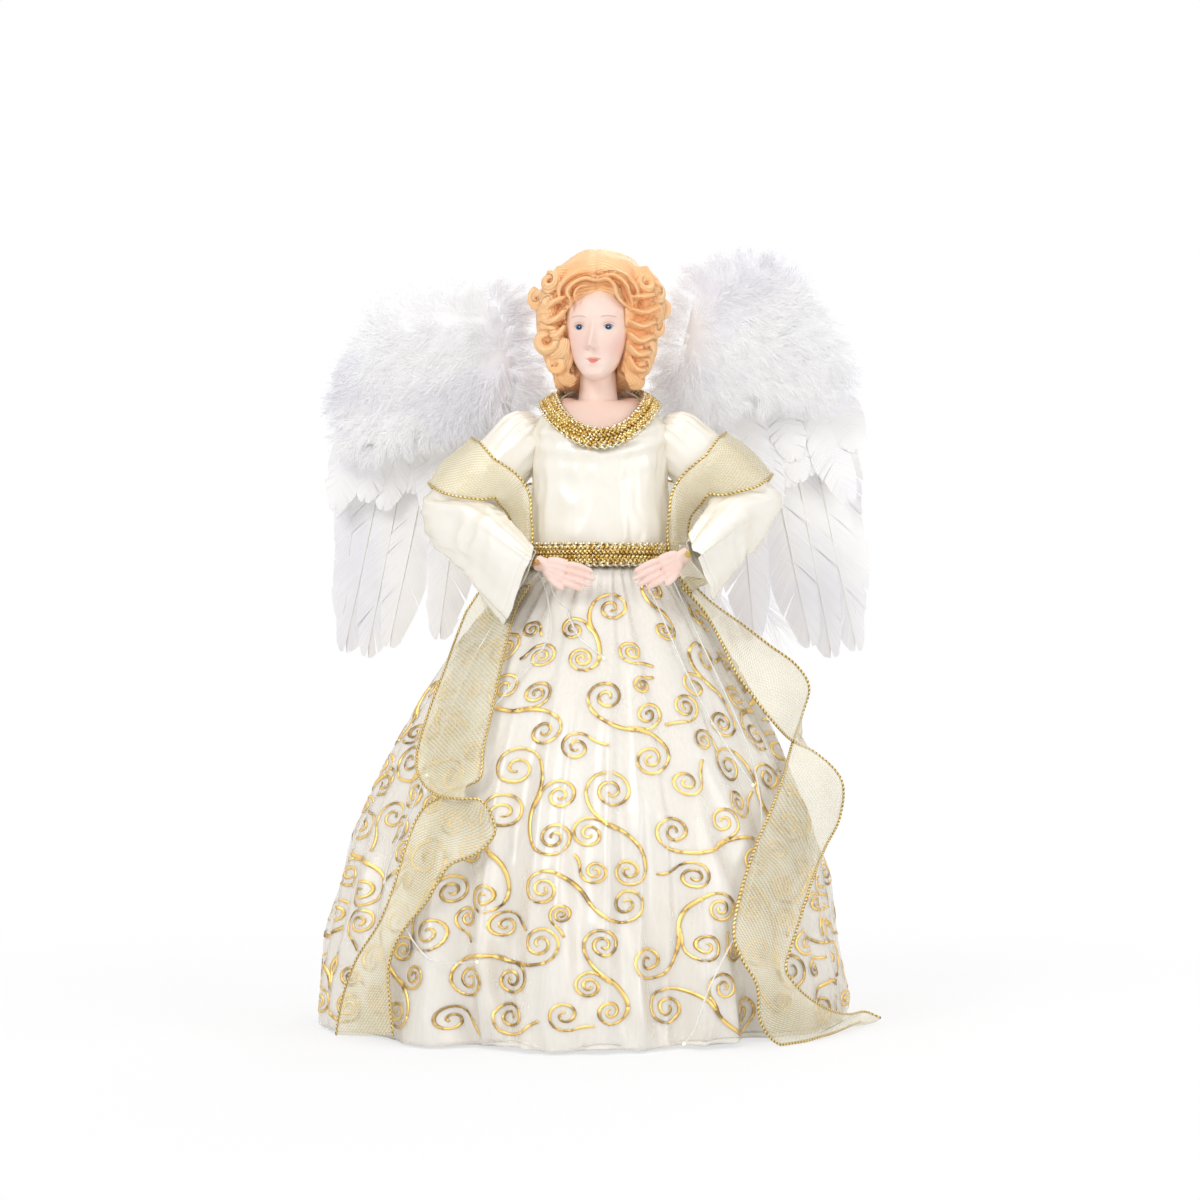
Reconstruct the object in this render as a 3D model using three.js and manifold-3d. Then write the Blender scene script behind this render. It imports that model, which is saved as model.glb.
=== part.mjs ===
// Angel tree topper with lit fibre strands, in millimetres, +Z up.
// The origin is on the floor under the middle of the object, and the face looks along -Y.
// Left and right are as seen from the front: left is -X.
import * as THREE from 'three';
import { mergeVertices } from 'three/addons/utils/BufferGeometryUtils.js';
import Module from 'manifold-3d';

const wasm = await Module();
wasm.setup();

// Clearances shared by many pieces
const touchGap = 0.3;
const layerGap = 0.5;
const cutOverrun = 2;

// Skirt: a bell that hangs from the waist seam over the cone
const skirtHeight = 178.5;
const hemClearance = 0.8;
const waistHalfWidth = 26.5;
const waistHalfDepth = 22.5;
const hemHalfWidth = 102;
const hemHalfDepth = 98.5;
const hemSwing = -7;
const foldDepth = 3.2;
const skirtBellShare = 0.82;
const satinThickness = 0.5;
const organzaThickness = 0.4;
const skirtSides = 48;
// Each fold wave: how many round the hem, its share of the fold depth, and its phase in turns
const foldWaveShares = [[11, 0.55, 0.06], [7, 0.3, 0.3], [16, 0.15, 0.5]];
const skirtRingShares = [0, 0.05, 0.14, 0.27, 0.44, 0.63, 0.82, 1];

// Cone that stands on the floor or slips over the tree's top shoot
const coneHeight = 150;
const coneBaseRadius = 62;
const coneTopRadius = 18;
const coneWall = 1.2;
const coneTopHoleRadius = 6;
const coneSides = 40;

// Torso and bodice
const torsoHeight = 71.5;
const torsoBottomHalfWidth = 20;
const torsoBottomHalfDepth = 17;
const chestHalfWidth = 26.9;
const chestHalfDepth = 19.5;
const satinWall = 0.8;
const torsoSides = 24;
// Height up the torso, then half width and half depth as shares of the chest's
const torsoProfileShares = [
  [0, 0.99, 1.15], [0.24, 1, 1.13], [0.46, 0.95, 1.07], [0.62, 0.97, 1.03], [0.73, 1, 0.94],
  [0.82, 0.87, 0.76], [0.9, 0.66, 0.58], [0.96, 0.45, 0.46], [1, 0.3, 0.38],
];
const yokeBottomShare = 0.76;
const formWaistShare = 0.94;

// Gold braids
const braidHeight = 9;
const braidThickness = 3.4;
const braidSides = 28;
const collarHalfWidth = 20.6;
const collarFrontReach = 22.4;
const collarBackReach = 15.5;
const collarSideDrop = 5;
const collarFrontDrop = 21.5;
const collarBackDrop = 2.6;
// How steeply the collar lies in degrees at the sides, and how much more at the front and the back
const collarSteepnessDegrees = [34, 34, 10];
const collarFallPower = 1.5;
const neckOpeningTiltDegrees = 41;
const neckOpeningDrop = 4;

// Head: one painted casting of face, neck, shoulder plate and sculpted hair
const headRise = 55;
const hairHalfWidth = 25.5;
const hairHalfDepth = 22.5;
const hairHalfHeight = 25;
const faceHalfWidth = 13.2;
const faceHalfDepth = 15;
const faceHalfHeight = 20;
const faceForward = 9;
const faceDrop = 32.5;
const neckRadius = 7.3;
const neckForward = 3;
const neckSeat = 11;
const noseRadius = 2.1;
const noseShares = [0.8, 1, 1.5];
const noseDropShare = 0.25;
// Opening in the hair for the face: forward share of the face's depth, then fall and height shares
const faceOpeningShares = [0.9, 0.22, 1.15];
const headSides = 18;
const curlSides = 8;
// Curl centres and radii as shares of the hair's half width, half depth, half height, half width
const curlShares = [
  [-0.78, -0.2, 0.12, 0.29], [-0.76, -0.24, -0.46, 0.27], [-0.56, -0.3, -0.86, 0.25],
  [-0.45, -0.16, -1.06, 0.17], [0.77, -0.16, 0.08, 0.28], [0.66, -0.2, -0.35, 0.3],
  [0.57, -0.2, -0.82, 0.25], [0.5, -0.18, -1.02, 0.2],
];

// Arms: padded limbs on a bent wire, moulded hands, loose bell sleeves
const shoulderSpread = 30.5;
const shoulderBack = 3;
const shoulderDrop = 21.5;
const upperArmRadius = 5;
const forearmRadius = 3.2;
const armWireRadius = 1.4;
const sleeveRadius = 13;
// Sleeve rings: share of the upper arm's length, then share of the sleeve's radius
const sleeveUpperShares = [[-0.27, 0.42], [-0.18, 0.78], [-0.04, 0.97], [0.3, 1], [0.44, 1]];
const sleeveElbowShares = [1.06, 1.06, 1.02];
const sleeveBellShares = [0.36, 0.58, 0.8, 0.96];
const limbSides = 8;
const sleeveSides = 16;
const fingerSides = 6;
const limbTaperShare = 0.8;
const sleeveSlack = 1;
const handLength = 27;
const palmHalfWidth = 5.4;
const palmHalfThickness = 2.7;
const fingerRadius = 1.35;
// Hand: shares of the hand's length along it, then of the palm's half width downwards
const palmShares = [0.36, 0.12, 0.27];
const heelShares = [[0.08, 0], [0.3, 0.05]];
const fingerShares = [
  [[0.5, -0.55], [0.9, -0.5]], [[0.5, -0.1], [0.97, -0.03]], [[0.5, 0.38], [0.94, 0.48]],
  [[0.5, 0.8], [0.84, 0.92]],
];
const thumbShares = [[0.3, 0.6], [0.58, 1.3]];
const fingerTaperShare = 0.8;
const beadPlaceShare = 0.12;
const wristBeadRadius = 1.3;
const arms = {
  left: {
    side: -1, elbowDrop: 28, elbowOut: 26.5, wristIn: 31, wristForward: 41, wristDrop: 20,
    handIn: 25, handForward: 7, handDrop: 7.5, mouthDrop: 27, mouthRise: 4.5, mouthHalfWidth: 7.5, mouthLean: 6,
  },
  right: {
    side: 1, elbowDrop: 25, elbowOut: 27.5, wristIn: 22.5, wristForward: 41, wristDrop: 19.5,
    handIn: 23, handForward: 6, handDrop: 11, mouthDrop: 21, mouthRise: 4.5, mouthHalfWidth: 7.5, mouthLean: 5,
  },
};

// Ribbon shawl: behind the back, over both arms, and down the skirt in two tails
const ribbonWidth = 25;
const ribbonThickness = 0.5;
const ribbonLift = 2.2;
const ribbonBackClearance = 2;
const ribbonSteps = 110;
const bendEdgeShare = 0.5;
const tailLeanShare = 0.35;
const crookFacingShares = [0.8, -0.6];
const backDropShare = 1.7;
// Tail places: turn from the front in degrees, share of the skirt's height, lift in widths
const leftTailShares = [
  [-66, 0.84, 0.04], [-54, 0.75, 0], [-46, 0.62, 0], [-40, 0.5, 0],
  [-38, 0.4, 0], [-41, 0.3, 0], [-46, 0.2, 0], [-49, 0.11, 0], [-50, 0.08, 0],
];
const rightTailShares = [
  [80, 0.88, 0.18], [83, 0.8, 0.22], [84, 0.72, 0.3], [80, 0.6, 0.3], [68, 0.48, 0.1],
  [52, 0.37, 0.02], [42, 0.27, 0], [41, 0.19, 0], [50, 0.12, 0.03], [62, 0.09, 0.1],
  [72, 0.085, 0.2],
];
// Places over the upper arm: share of the arm's length, wrap angle in degrees, lift and spread in widths
const armWrapShares = [
  [0.78, -120, 0.2, 1], [0.7, -70, 0.06, 1], [0.66, -10, 0.04, 1], [0.64, 45, 0.02, 1],
  [0.56, 85, 0.08, 0.75], [0.46, 118, 0.06, 0.5],
];
// Places between the bell sleeve and the waist, as shares of the chest's half width and depth and
// of the torso's height, and spread in widths
const crookShares = [[1.15, 0.44, 0.25, 0.55], [1.2, 0.5, 0.06, 0.6], [1.5, 0.6, -0.11, 0.66]];

// Wings: card, stem, feathers and fluff, each wing turning about a wire at its root
const wingHingeSpread = 14;
const wingHingeDrop = 14.5;
const wingBarrelRadius = 1.5;
const wingBarrelLength = 10;
const wingTiltDegrees = 9;
const wingSweepDegrees = 6;
const wingSpan = 95;
const wingStandOff = 3;
const fluffThickness = 17;
const featherThickness = 0.6;
const featherPitch = 0.9;
const featherWidth = 17;
const featherLength = 105;
const wingCardThickness = 0.8;
const wingStemRadius = 1.2;
// Fluff outline as shares of the wing span, outward then up from the hinge
const fluffOutlineShares = {
  left: [
    [0.2, 0.58], [0.36, 0.58], [0.58, 0.55], [0.76, 0.54], [0.84, 0.4], [0.93, 0.28], [1, 0.08],
    [1, -0.05], [0.9, -0.14], [0.6, -0.07], [0.42, -0.04], [0.3, 0.02], [0.14, 0.12],
  ],
  right: [
    [0.16, 0.52], [0.24, 0.65], [0.38, 0.7], [0.56, 0.7], [0.71, 0.6], [0.81, 0.44], [0.93, 0.3],
    [0.92, 0.18], [0.84, 0.09], [0.62, 0.1], [0.46, 0.14], [0.28, 0.1], [0.15, 0.2],
  ],
};
// Feathers: root outward and up as shares of the span, lean outward in degrees, length share
const featherShares = [
  [0.3, 0.21, 0, 0.98], [0.42, 0.23, 2, 1.07], [0.53, 0.24, 4, 1.13], [0.63, 0.25, 6, 1.18],
  [0.72, 0.26, 9, 1.17], [0.8, 0.25, 9, 1.03], [0.86, 0.23, 7, 0.76],
];
// Vane outline: half width share, then share of the length down from the root
const vaneShares = [[0.06, 0], [0.25, 0.16], [0.44, 0.4], [0.5, 0.68], [0.34, 0.9], [0.1, 0.985]];
// Fluff sections: share of the depth through the pad, and share of the outline that it has there
const fluffLayerShares = [[0, 0.86], [0.2, 0.95], [0.55, 1], [0.85, 0.95], [1, 0.78]];
const fluffOutlinePoints = 22;
const cardOutlinePoints = 16;
// Card outline as shares of the span
const cardOutlineShares = [
  [0.2, 0.16], [0.24, 0.34], [0.46, 0.44], [0.7, 0.42], [0.84, 0.3], [0.92, 0.17], [0.8, 0.1], [0.5, 0.07],
];
const stemReachShares = [0.15, 0.19, 0.6, 0.3];

// Battery box, cells and light inside the cone
const cellRadius = 5.2;
const cellLength = 44;
const cellNubRadius = 1.9;
const cellNubLength = 0.8;
const boxWall = 1.6;
const boxBottomHeight = 50;
const boxFront = 5;
const coverThickness = 1.4;
const coverLip = 1.2;
const contactThickness = 0.5;
const contactSize = 7.5;
const switchTravel = 3;
const switchKnobLength = 4;
const switchKnobWidth = 2.4;
const switchKnobDrop = 3;
const boardThickness = 1.2;
const lampRadius = 2.5;
const lampLength = 8;
const ferruleWall = 1.1;
const ferruleLength = 14;
const bundleRadius = 2.3;
const bundleTop = 24;
const roundSides = 16;
const bundleSteps = 14;
const bundlePoints = 12;

// Loose fibre strands, each a route of points chosen by hand on the skirt
const strandDiameter = 0.6;
const strandSides = 8;
const strandSteps = 13;
const strandRoutes = {
  strand_1: [
    [-24.2, -19, 176.5], [-20.5, -32.8, 167.5], [-19.1, -43.8, 155.3], [-21.7, -48.8, 147.3],
    [-28.8, -52.2, 139.1], [-36.3, -55.4, 129.7], [-46.4, -57.3, 118.4], [-54.8, -57.3, 109.7],
    [-63.2, -55.3, 102.0], [-65.5, -54.9, 99.4],
  ],
  strand_2: [
    [-20.2, -23.2, 175.7], [-17.3, -34.4, 166.8], [-13.4, -38.9, 162.9], [-11.1, -43.6, 157.6],
    [-7.6, -48.8, 151.1], [-2.3, -52.1, 146.6], [1.5, -53.9, 143.6],
  ],
  strand_3: [
    [15.5, -24.6, 175.7], [21.2, -31.3, 165.6], [27.6, -40.3, 150.3], [34.3, -47.3, 135.1],
    [41.0, -51.7, 122.0], [48.5, -53.7, 109.5], [53.8, -54.2, 101.2], [58.0, -53.5, 95.5],
  ],
  strand_4: [
    [-29.9, -15, 175], [-38.6, -26.3, 160.5], [-49.6, -35.5, 141.5], [-57.4, -45.1, 122.5],
    [-64.6, -52.8, 103.5], [-70.6, -57.3, 88], [-76, -59.1, 75.5], [-79.6, -60.2, 66],
    [-80.9, -61.9, 59.5], [-78.3, -66.6, 55.1], [-72.9, -75, 45.1], [-68.1, -80.7, 37.9],
    [-60.8, -86.7, 32.3], [-45, -94, 33.2],
  ],
  strand_5: [
    [28.2, -15.1, 174.2], [38.6, -30.6, 150.2], [49.1, -39.7, 127.3], [57.9, -47.2, 104.7],
    [61.1, -57.8, 82.6], [56.7, -71.9, 61.2], [51.0, -81.7, 43.6], [45.3, -87.5, 33.5],
    [38.8, -92.8, 20.6], [37.3, -94.0, 15.6], [34.3, -95.8, 8.2], [30.6, -97.4, 3.7],
  ],
};

const degrees = Math.PI / 180;
const fullTurn = 2 * Math.PI;
const vec = (x, y, z) => new THREE.Vector3(x, y, z);
const upward = vec(0, 0, 1);

// Returns the geometry with its faces turned outwards.
function faceOutward(geometry) {
  const place = geometry.attributes.position;
  const index = geometry.index.array;
  const corners = [vec(), vec(), vec()];
  let volume = 0;
  for (let i = 0; i < index.length; i += 3) {
    corners.forEach((corner, k) => corner.fromBufferAttribute(place, index[i + k]));
    volume += corners[0].dot(corners[1].clone().cross(corners[2]));
  }
  if (volume < 0) {
    for (let i = 0; i < index.length; i += 3) {
      [index[i], index[i + 1]] = [index[i + 1], index[i]];
    }
  }
  return geometry;
}

// Builds an indexed geometry from points and triangles.
function geometryFrom(points, triangles) {
  const geometry = new THREE.BufferGeometry();
  const numbers = points.flatMap((point) => [point.x, point.y, point.z]);
  geometry.setAttribute('position', new THREE.Float32BufferAttribute(numbers, 3));
  geometry.setIndex(triangles);
  return faceOutward(geometry);
}

// Joins ring a to ring b of the same count. From one side on, each side is split along its other
// diagonal, so that the two skins of a thin wall are split alike.
function bandTriangles(startA, startB, count, splitFrom) {
  const triangles = [];
  for (let i = 0; i < count; i += 1) {
    const j = (i + 1) % count;
    const [a, b, c, d] = [startA + i, startA + j, startB + j, startB + i];
    triangles.push(...(i < splitFrom ? [a, b, c, a, c, d] : [a, b, d, b, c, d]));
  }
  return triangles;
}

// A solid through closed rings, with a fan of triangles over each end.
function solidLoft(rings, splitFrom = Infinity) {
  const count = rings[0].length;
  const points = rings.flat();
  const triangles = [];
  for (let k = 0; k + 1 < rings.length; k += 1) {
    triangles.push(...bandTriangles(k * count, (k + 1) * count, count, splitFrom));
  }
  const last = (rings.length - 1) * count;
  [[rings[0], 0, true], [rings[rings.length - 1], last, false]].forEach(([ring, start, flip]) => {
    const middle = ring.reduce((sum, point) => sum.add(point), vec()).divideScalar(count);
    const hub = points.push(middle) - 1;
    for (let i = 0; i < count; i += 1) {
      const j = (i + 1) % count;
      triangles.push(...(flip ? [hub, start + j, start + i] : [hub, start + i, start + j]));
    }
  });
  return geometryFrom(points, triangles);
}

// A thin wall between outer and inner rings, open at both ends.
function shellLoft(outerRings, innerRings) {
  const count = outerRings[0].length;
  const loop = [...outerRings, ...innerRings.slice().reverse()];
  const triangles = [];
  for (let k = 0; k < loop.length; k += 1) {
    const next = (k + 1) % loop.length;
    triangles.push(...bandTriangles(k * count, next * count, count, k < outerRings.length ? count : 0));
  }
  return geometryFrom(loop.flat(), triangles);
}

// A round-ended rod from one point to another, as a turned profile.
function rod(from, to, startRadius, endRadius, sides) {
  const length = from.distanceTo(to);
  const profile = [];
  const arcSteps = 2;
  for (let i = 0; i <= arcSteps; i += 1) {
    const angle = (i / arcSteps) * 90 * degrees;
    profile.push(new THREE.Vector2(startRadius * Math.sin(angle), -startRadius * Math.cos(angle)));
  }
  for (let i = 0; i <= arcSteps; i += 1) {
    const angle = (i / arcSteps) * 90 * degrees;
    profile.push(new THREE.Vector2(endRadius * Math.cos(angle), length + endRadius * Math.sin(angle)));
  }
  profile[0].x = 0;
  profile[profile.length - 1].x = 0;
  const geometry = new THREE.LatheGeometry(profile, sides);
  const turn = new THREE.Quaternion().setFromUnitVectors(
    vec(0, 1, 0), to.clone().sub(from).normalize());
  geometry.applyQuaternion(turn);
  geometry.translate(from.x, from.y, from.z);
  return geometry;
}

// A box given by its lowest and highest corners.
function block(low, high) {
  const geometry = new THREE.BoxGeometry(high.x - low.x, high.y - low.y, high.z - low.z);
  geometry.translate((low.x + high.x) / 2, (low.y + high.y) / 2, (low.z + high.z) / 2);
  return geometry;
}

// A ball stretched along the three axes.
function ellipsoid(centre, halfX, halfY, halfZ, sides) {
  const geometry = new THREE.SphereGeometry(1, sides, Math.round(sides * 0.6));
  geometry.rotateX(90 * degrees);
  geometry.scale(halfX, halfY, halfZ);
  geometry.translate(centre.x, centre.y, centre.z);
  return geometry;
}

// An upright cylinder between two heights.
function upright(x, y, bottom, top, radius, sides) {
  const geometry = new THREE.CylinderGeometry(radius, radius, top - bottom, sides);
  geometry.rotateX(90 * degrees);
  geometry.translate(x, y, (bottom + top) / 2);
  return geometry;
}

function toSolid(geometry) {
  const bare = geometry.clone();
  bare.deleteAttribute('normal');
  bare.deleteAttribute('uv');
  const merged = mergeVertices(bare);
  return new wasm.Manifold(new wasm.Mesh({
    numProp: 3,
    vertProperties: new Float32Array(merged.attributes.position.array),
    triVerts: new Uint32Array(merged.index.array),
  }));
}

function toGeometry(solid) {
  const mesh = solid.getMesh();
  const geometry = new THREE.BufferGeometry();
  geometry.setAttribute('position', new THREE.Float32BufferAttribute(mesh.vertProperties, 3));
  geometry.setIndex(Array.from(mesh.triVerts));
  return geometry;
}

const join = (shapes) => shapes.map(toSolid).reduce((sum, solid) => sum.add(solid));
const cut = (solid, shapes) => shapes.map(toSolid).reduce((rest, tool) => rest.subtract(tool), solid);

const model = new THREE.Group();

function addPiece(name, geometry, color, roughness, metalness = 0) {
  const material = new THREE.MeshStandardMaterial({ color, roughness, metalness });
  const mesh = new THREE.Mesh(geometry, material);
  mesh.name = name;
  model.add(mesh);
  return mesh;
}

// Skirt surface: turn is measured from the front towards +X, drop is 0 at the waist and 1 at the hem
function foldHeight(turn) {
  return foldWaveShares.reduce(
    (sum, [count, share, phase]) => sum + share * Math.cos(count * turn + phase * fullTurn), 0);
}

function skirtPoint(turn, drop, offset, onCrests = false) {
  const flare = Math.sin(drop * 90 * degrees) ** skirtBellShare;
  const fold = foldDepth * drop * (onCrests ? 1 : foldHeight(turn));
  const halfWidth = waistHalfWidth + flare * (hemHalfWidth - waistHalfWidth) + fold + offset;
  const halfDepth = waistHalfDepth + flare * (hemHalfDepth - waistHalfDepth) + fold + offset;
  return vec(
    hemSwing * Math.sqrt(Math.sin(drop * 90 * degrees)) + halfWidth * Math.sin(turn),
    -halfDepth * Math.cos(turn),
    skirtHeight - drop * (skirtHeight - hemClearance));
}

function skirtRing(drop, offset) {
  return Array.from({ length: skirtSides }, (_, i) => (
    skirtPoint((i / skirtSides) * fullTurn, drop, offset)));
}

const liningInner = touchGap;
const liningOuter = liningInner + satinThickness;
const overlayInner = liningOuter + layerGap;
const overlayOuter = overlayInner + organzaThickness;

function addSkirt() {
  const rings = (offset) => skirtRingShares.map((drop) => skirtRing(drop, offset));
  addPiece('skirt_lining', shellLoft(rings(liningOuter), rings(liningInner)), 0xf7f0df, 0.35);
  addPiece('skirt_overlay', shellLoft(rings(overlayOuter), rings(overlayInner)), 0xfbf8f0, 0.5);
}

// Cone
const coneSlope = (coneBaseRadius - coneTopRadius) / coneHeight;
const coneRadiusAt = (height) => coneBaseRadius - coneSlope * height;

function addCone() {
  const profile = [
    [coneBaseRadius, 0], [coneTopRadius, coneHeight], [coneTopHoleRadius, coneHeight],
    [coneTopHoleRadius, coneHeight - coneWall], [coneTopRadius - coneWall, coneHeight - coneWall],
    [coneBaseRadius - coneWall, 0], [coneBaseRadius, 0],
  ].map(([radius, height]) => new THREE.Vector2(radius, height));
  const geometry = new THREE.LatheGeometry(profile, coneSides);
  geometry.rotateX(90 * degrees);
  addPiece('tree_cone', faceOutward(geometry), 0xe9e4da, 0.7);
}

// Torso sections, from the waist seam up; inset moves the wall inwards
const torsoTop = skirtHeight + torsoHeight;
const headTop = torsoTop + headRise;
const shoulderHeight = torsoTop - shoulderDrop;
const wingHingeHeight = torsoTop - wingHingeDrop;
const heightAtShare = (share) => skirtHeight + share * torsoHeight;

function ovalRing(halfWidth, halfDepth, height, sides) {
  return Array.from({ length: sides }, (_, i) => {
    const turn = (i / sides) * fullTurn;
    return vec(halfWidth * Math.sin(turn), -halfDepth * Math.cos(turn), height);
  });
}

// Half width and half depth of the torso at a share of its height
function torsoSizeAt(share) {
  const next = Math.max(torsoProfileShares.findIndex(([place]) => place >= share), 1);
  const above = torsoProfileShares[next];
  const below = torsoProfileShares[next - 1];
  const mix = (share - below[0]) / (above[0] - below[0]);
  const [wide, deep] = [1, 2].map((k) => below[k] + mix * (above[k] - below[k]));
  return [chestHalfWidth * wide + satinWall, chestHalfDepth * deep + satinWall];
}

function torsoRings(inset, fromShare, toShare) {
  const between = torsoProfileShares.map(([share]) => share).filter(
    (share) => share > fromShare && share < toShare);
  return [fromShare, ...between, toShare].map((share) => {
    const [halfWidth, halfDepth] = torsoSizeAt(share);
    return ovalRing(halfWidth - inset, halfDepth - inset, heightAtShare(share), torsoSides);
  });
}

const shoulderAt = (side) => vec(side * shoulderSpread, shoulderBack, shoulderHeight);
const elbowOf = (arm) => shoulderAt(arm.side).add(vec(arm.side * arm.elbowOut, 0, -arm.elbowDrop));
const wristOf = (arm) => elbowOf(arm).add(
  vec(-arm.side * arm.wristIn, -arm.wristForward, -arm.wristDrop));

// Room that the sleeve and the arm in it take out of the torso, yoke and bodice
const sleeveRoom = (arm) => rod(
  shoulderAt(arm.side), elbowOf(arm), sleeveRadius + sleeveSlack, sleeveRadius + sleeveSlack, sleeveSides);

// A big slab above a tilted plane, which opens the bodice at the neck
function neckCutter() {
  const size = chestHalfWidth * 4;
  const slab = block(vec(-size, -size, 0), vec(size, size, size));
  slab.rotateX(neckOpeningTiltDegrees * degrees);
  slab.translate(0, 0, torsoTop - neckOpeningDrop);
  return slab;
}

// Room for the wire that runs from shoulder to shoulder
const shoulderWireRoom = () => rod(
  shoulderAt(-1), shoulderAt(1), armWireRadius + touchGap, armWireRadius + touchGap, limbSides);

function addTorso() {
  const inset = satinWall + touchGap;
  const armRooms = Object.values(arms).map(sleeveRoom);
  const below = [
    ovalRing(torsoBottomHalfWidth, torsoBottomHalfDepth, coneHeight + touchGap, torsoSides),
    ovalRing(waistHalfWidth * formWaistShare, waistHalfDepth * formWaistShare,
      skirtHeight - braidHeight, torsoSides),
  ];
  const formRings = [...below, ...torsoRings(inset, 0, yokeBottomShare)];
  const bore = upright(0, 0, coneHeight - cutOverrun, coneHeight + bundleTop + touchGap,
    bundleRadius + touchGap, limbSides);
  const form = cut(toSolid(solidLoft(formRings)), [...armRooms, shoulderWireRoom(), bore]);
  addPiece('torso_form', toGeometry(form), 0xf2eee4, 0.9);

  const wire = rod(
    vec(-shoulderSpread + upperArmRadius + armWireRadius + touchGap, shoulderBack, shoulderHeight),
    vec(shoulderSpread - upperArmRadius - armWireRadius - touchGap, shoulderBack, shoulderHeight),
    armWireRadius, armWireRadius, limbSides);
  addPiece('shoulder_wire', wire, 0x9a9a9a, 0.4, 0.9);

  const bodiceShell = shellLoft(torsoRings(0, touchGap / torsoHeight, 1),
    torsoRings(satinWall, touchGap / torsoHeight, 1));
  const bodice = cut(toSolid(bodiceShell), [...armRooms, neckCutter()]);
  addPiece('bodice', toGeometry(bodice), 0xfaf4e6, 0.35);
}

// Shoulder plate of the head casting, under the bodice's top
function yokeShape() {
  const inset = satinWall + touchGap;
  return solidLoft(torsoRings(inset, yokeBottomShare + touchGap / torsoHeight, 1));
}

function addHead() {
  const hairCentre = vec(0, touchGap, headTop - hairHalfHeight);
  const faceCentre = vec(0, hairCentre.y - faceForward, headTop - faceDrop);
  const hair = ellipsoid(hairCentre, hairHalfWidth, hairHalfDepth, hairHalfHeight, headSides);
  const [openForward, openFall, openTall] = faceOpeningShares;
  const opening = ellipsoid(
    faceCentre.clone().add(vec(0, -faceHalfDepth * openForward, -faceHalfHeight * openFall)),
    faceHalfWidth, faceHalfDepth, faceHalfHeight * openTall, headSides);
  const curls = curlShares.map(([x, y, z, radius]) => ellipsoid(
    hairCentre.clone().add(vec(x * hairHalfWidth, y * hairHalfDepth, z * hairHalfHeight)),
    radius * hairHalfWidth, radius * hairHalfWidth, radius * hairHalfWidth, curlSides));
  const face = ellipsoid(faceCentre, faceHalfWidth, faceHalfDepth, faceHalfHeight, headSides);
  const nose = ellipsoid(
    faceCentre.clone().add(vec(0, -faceHalfDepth, -faceHalfHeight * noseDropShare)),
    ...noseShares.map((share) => share * noseRadius), curlSides);
  const neck = upright(0, -neckForward, torsoTop - neckSeat, faceCentre.z, neckRadius, headSides);
  const shell = cut(toSolid(hair), [opening]);
  const armRooms = Object.values(arms).map(sleeveRoom);
  const casting = [...curls, face, nose, neck].map(toSolid).reduce((sum, solid) => sum.add(solid), shell);
  const plate = cut(toSolid(yokeShape()), armRooms);
  addPiece('head_casting', toGeometry(casting.add(plate)), 0xf3d5c8, 0.5);
}

// Section of a braid: across its width, then through its thickness
const braidSectionShares = [[-0.5, -0.35], [0, -0.5], [0.5, -0.35], [0.5, 0.35], [0, 0.5], [-0.5, 0.35]];

// A braid laid round a path: place and facing of each section come from the turn
function braidRing(placeAt, widthWayAt, outWayAt) {
  const rings = Array.from({ length: braidSides }, (_, i) => {
    const turn = (i / braidSides) * fullTurn;
    return braidSectionShares.map(([wide, thick]) => placeAt(turn)
      .addScaledVector(widthWayAt(turn), wide * braidHeight)
      .addScaledVector(outWayAt(turn), thick * braidThickness));
  });
  const count = braidSectionShares.length;
  const triangles = rings.flatMap((_, k) => (
    bandTriangles(k * count, ((k + 1) % braidSides) * count, count)));
  return geometryFrom(rings.flat(), triangles);
}

function addBraids() {
  const reach = overlayOuter + touchGap + braidThickness / 2;
  const outward = (turn) => vec(Math.sin(turn), -Math.cos(turn), 0);
  const waist = braidRing(
    (turn) => vec(
      (waistHalfWidth + reach) * Math.sin(turn), -(waistHalfDepth + reach) * Math.cos(turn),
      skirtHeight + touchGap + braidHeight / 2),
    () => upward, outward);
  addPiece('waist_braid', waist, 0xc99a35, 0.35, 0.9);

  const frontness = (turn) => Math.max(Math.cos(turn), 0);
  const fall = (turn) => frontness(turn) ** collarFallPower;
  const backness = (turn) => Math.max(-Math.cos(turn), 0);
  const [sideSteep, frontSteep, backSteep] = collarSteepnessDegrees;
  const steepness = (turn) => (
    (sideSteep + frontSteep * frontness(turn) + backSteep * backness(turn)) * degrees);
  const widthWay = (turn) => outward(turn).multiplyScalar(Math.cos(steepness(turn)))
    .addScaledVector(upward, -Math.sin(steepness(turn)));
  const outWay = (turn) => outward(turn).multiplyScalar(Math.sin(steepness(turn)))
    .addScaledVector(upward, Math.cos(steepness(turn)));
  const collar = braidRing(
    (turn) => vec(
      collarHalfWidth * Math.sin(turn),
      -collarFrontReach * frontness(turn) + collarBackReach * backness(turn),
      torsoTop - collarSideDrop - (collarFrontDrop - collarSideDrop) * fall(turn)
        + (collarSideDrop - collarBackDrop) * backness(turn)),
    widthWay, outWay);
  addPiece('neck_braid', collar, 0xc99a35, 0.35, 0.9);
}

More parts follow.
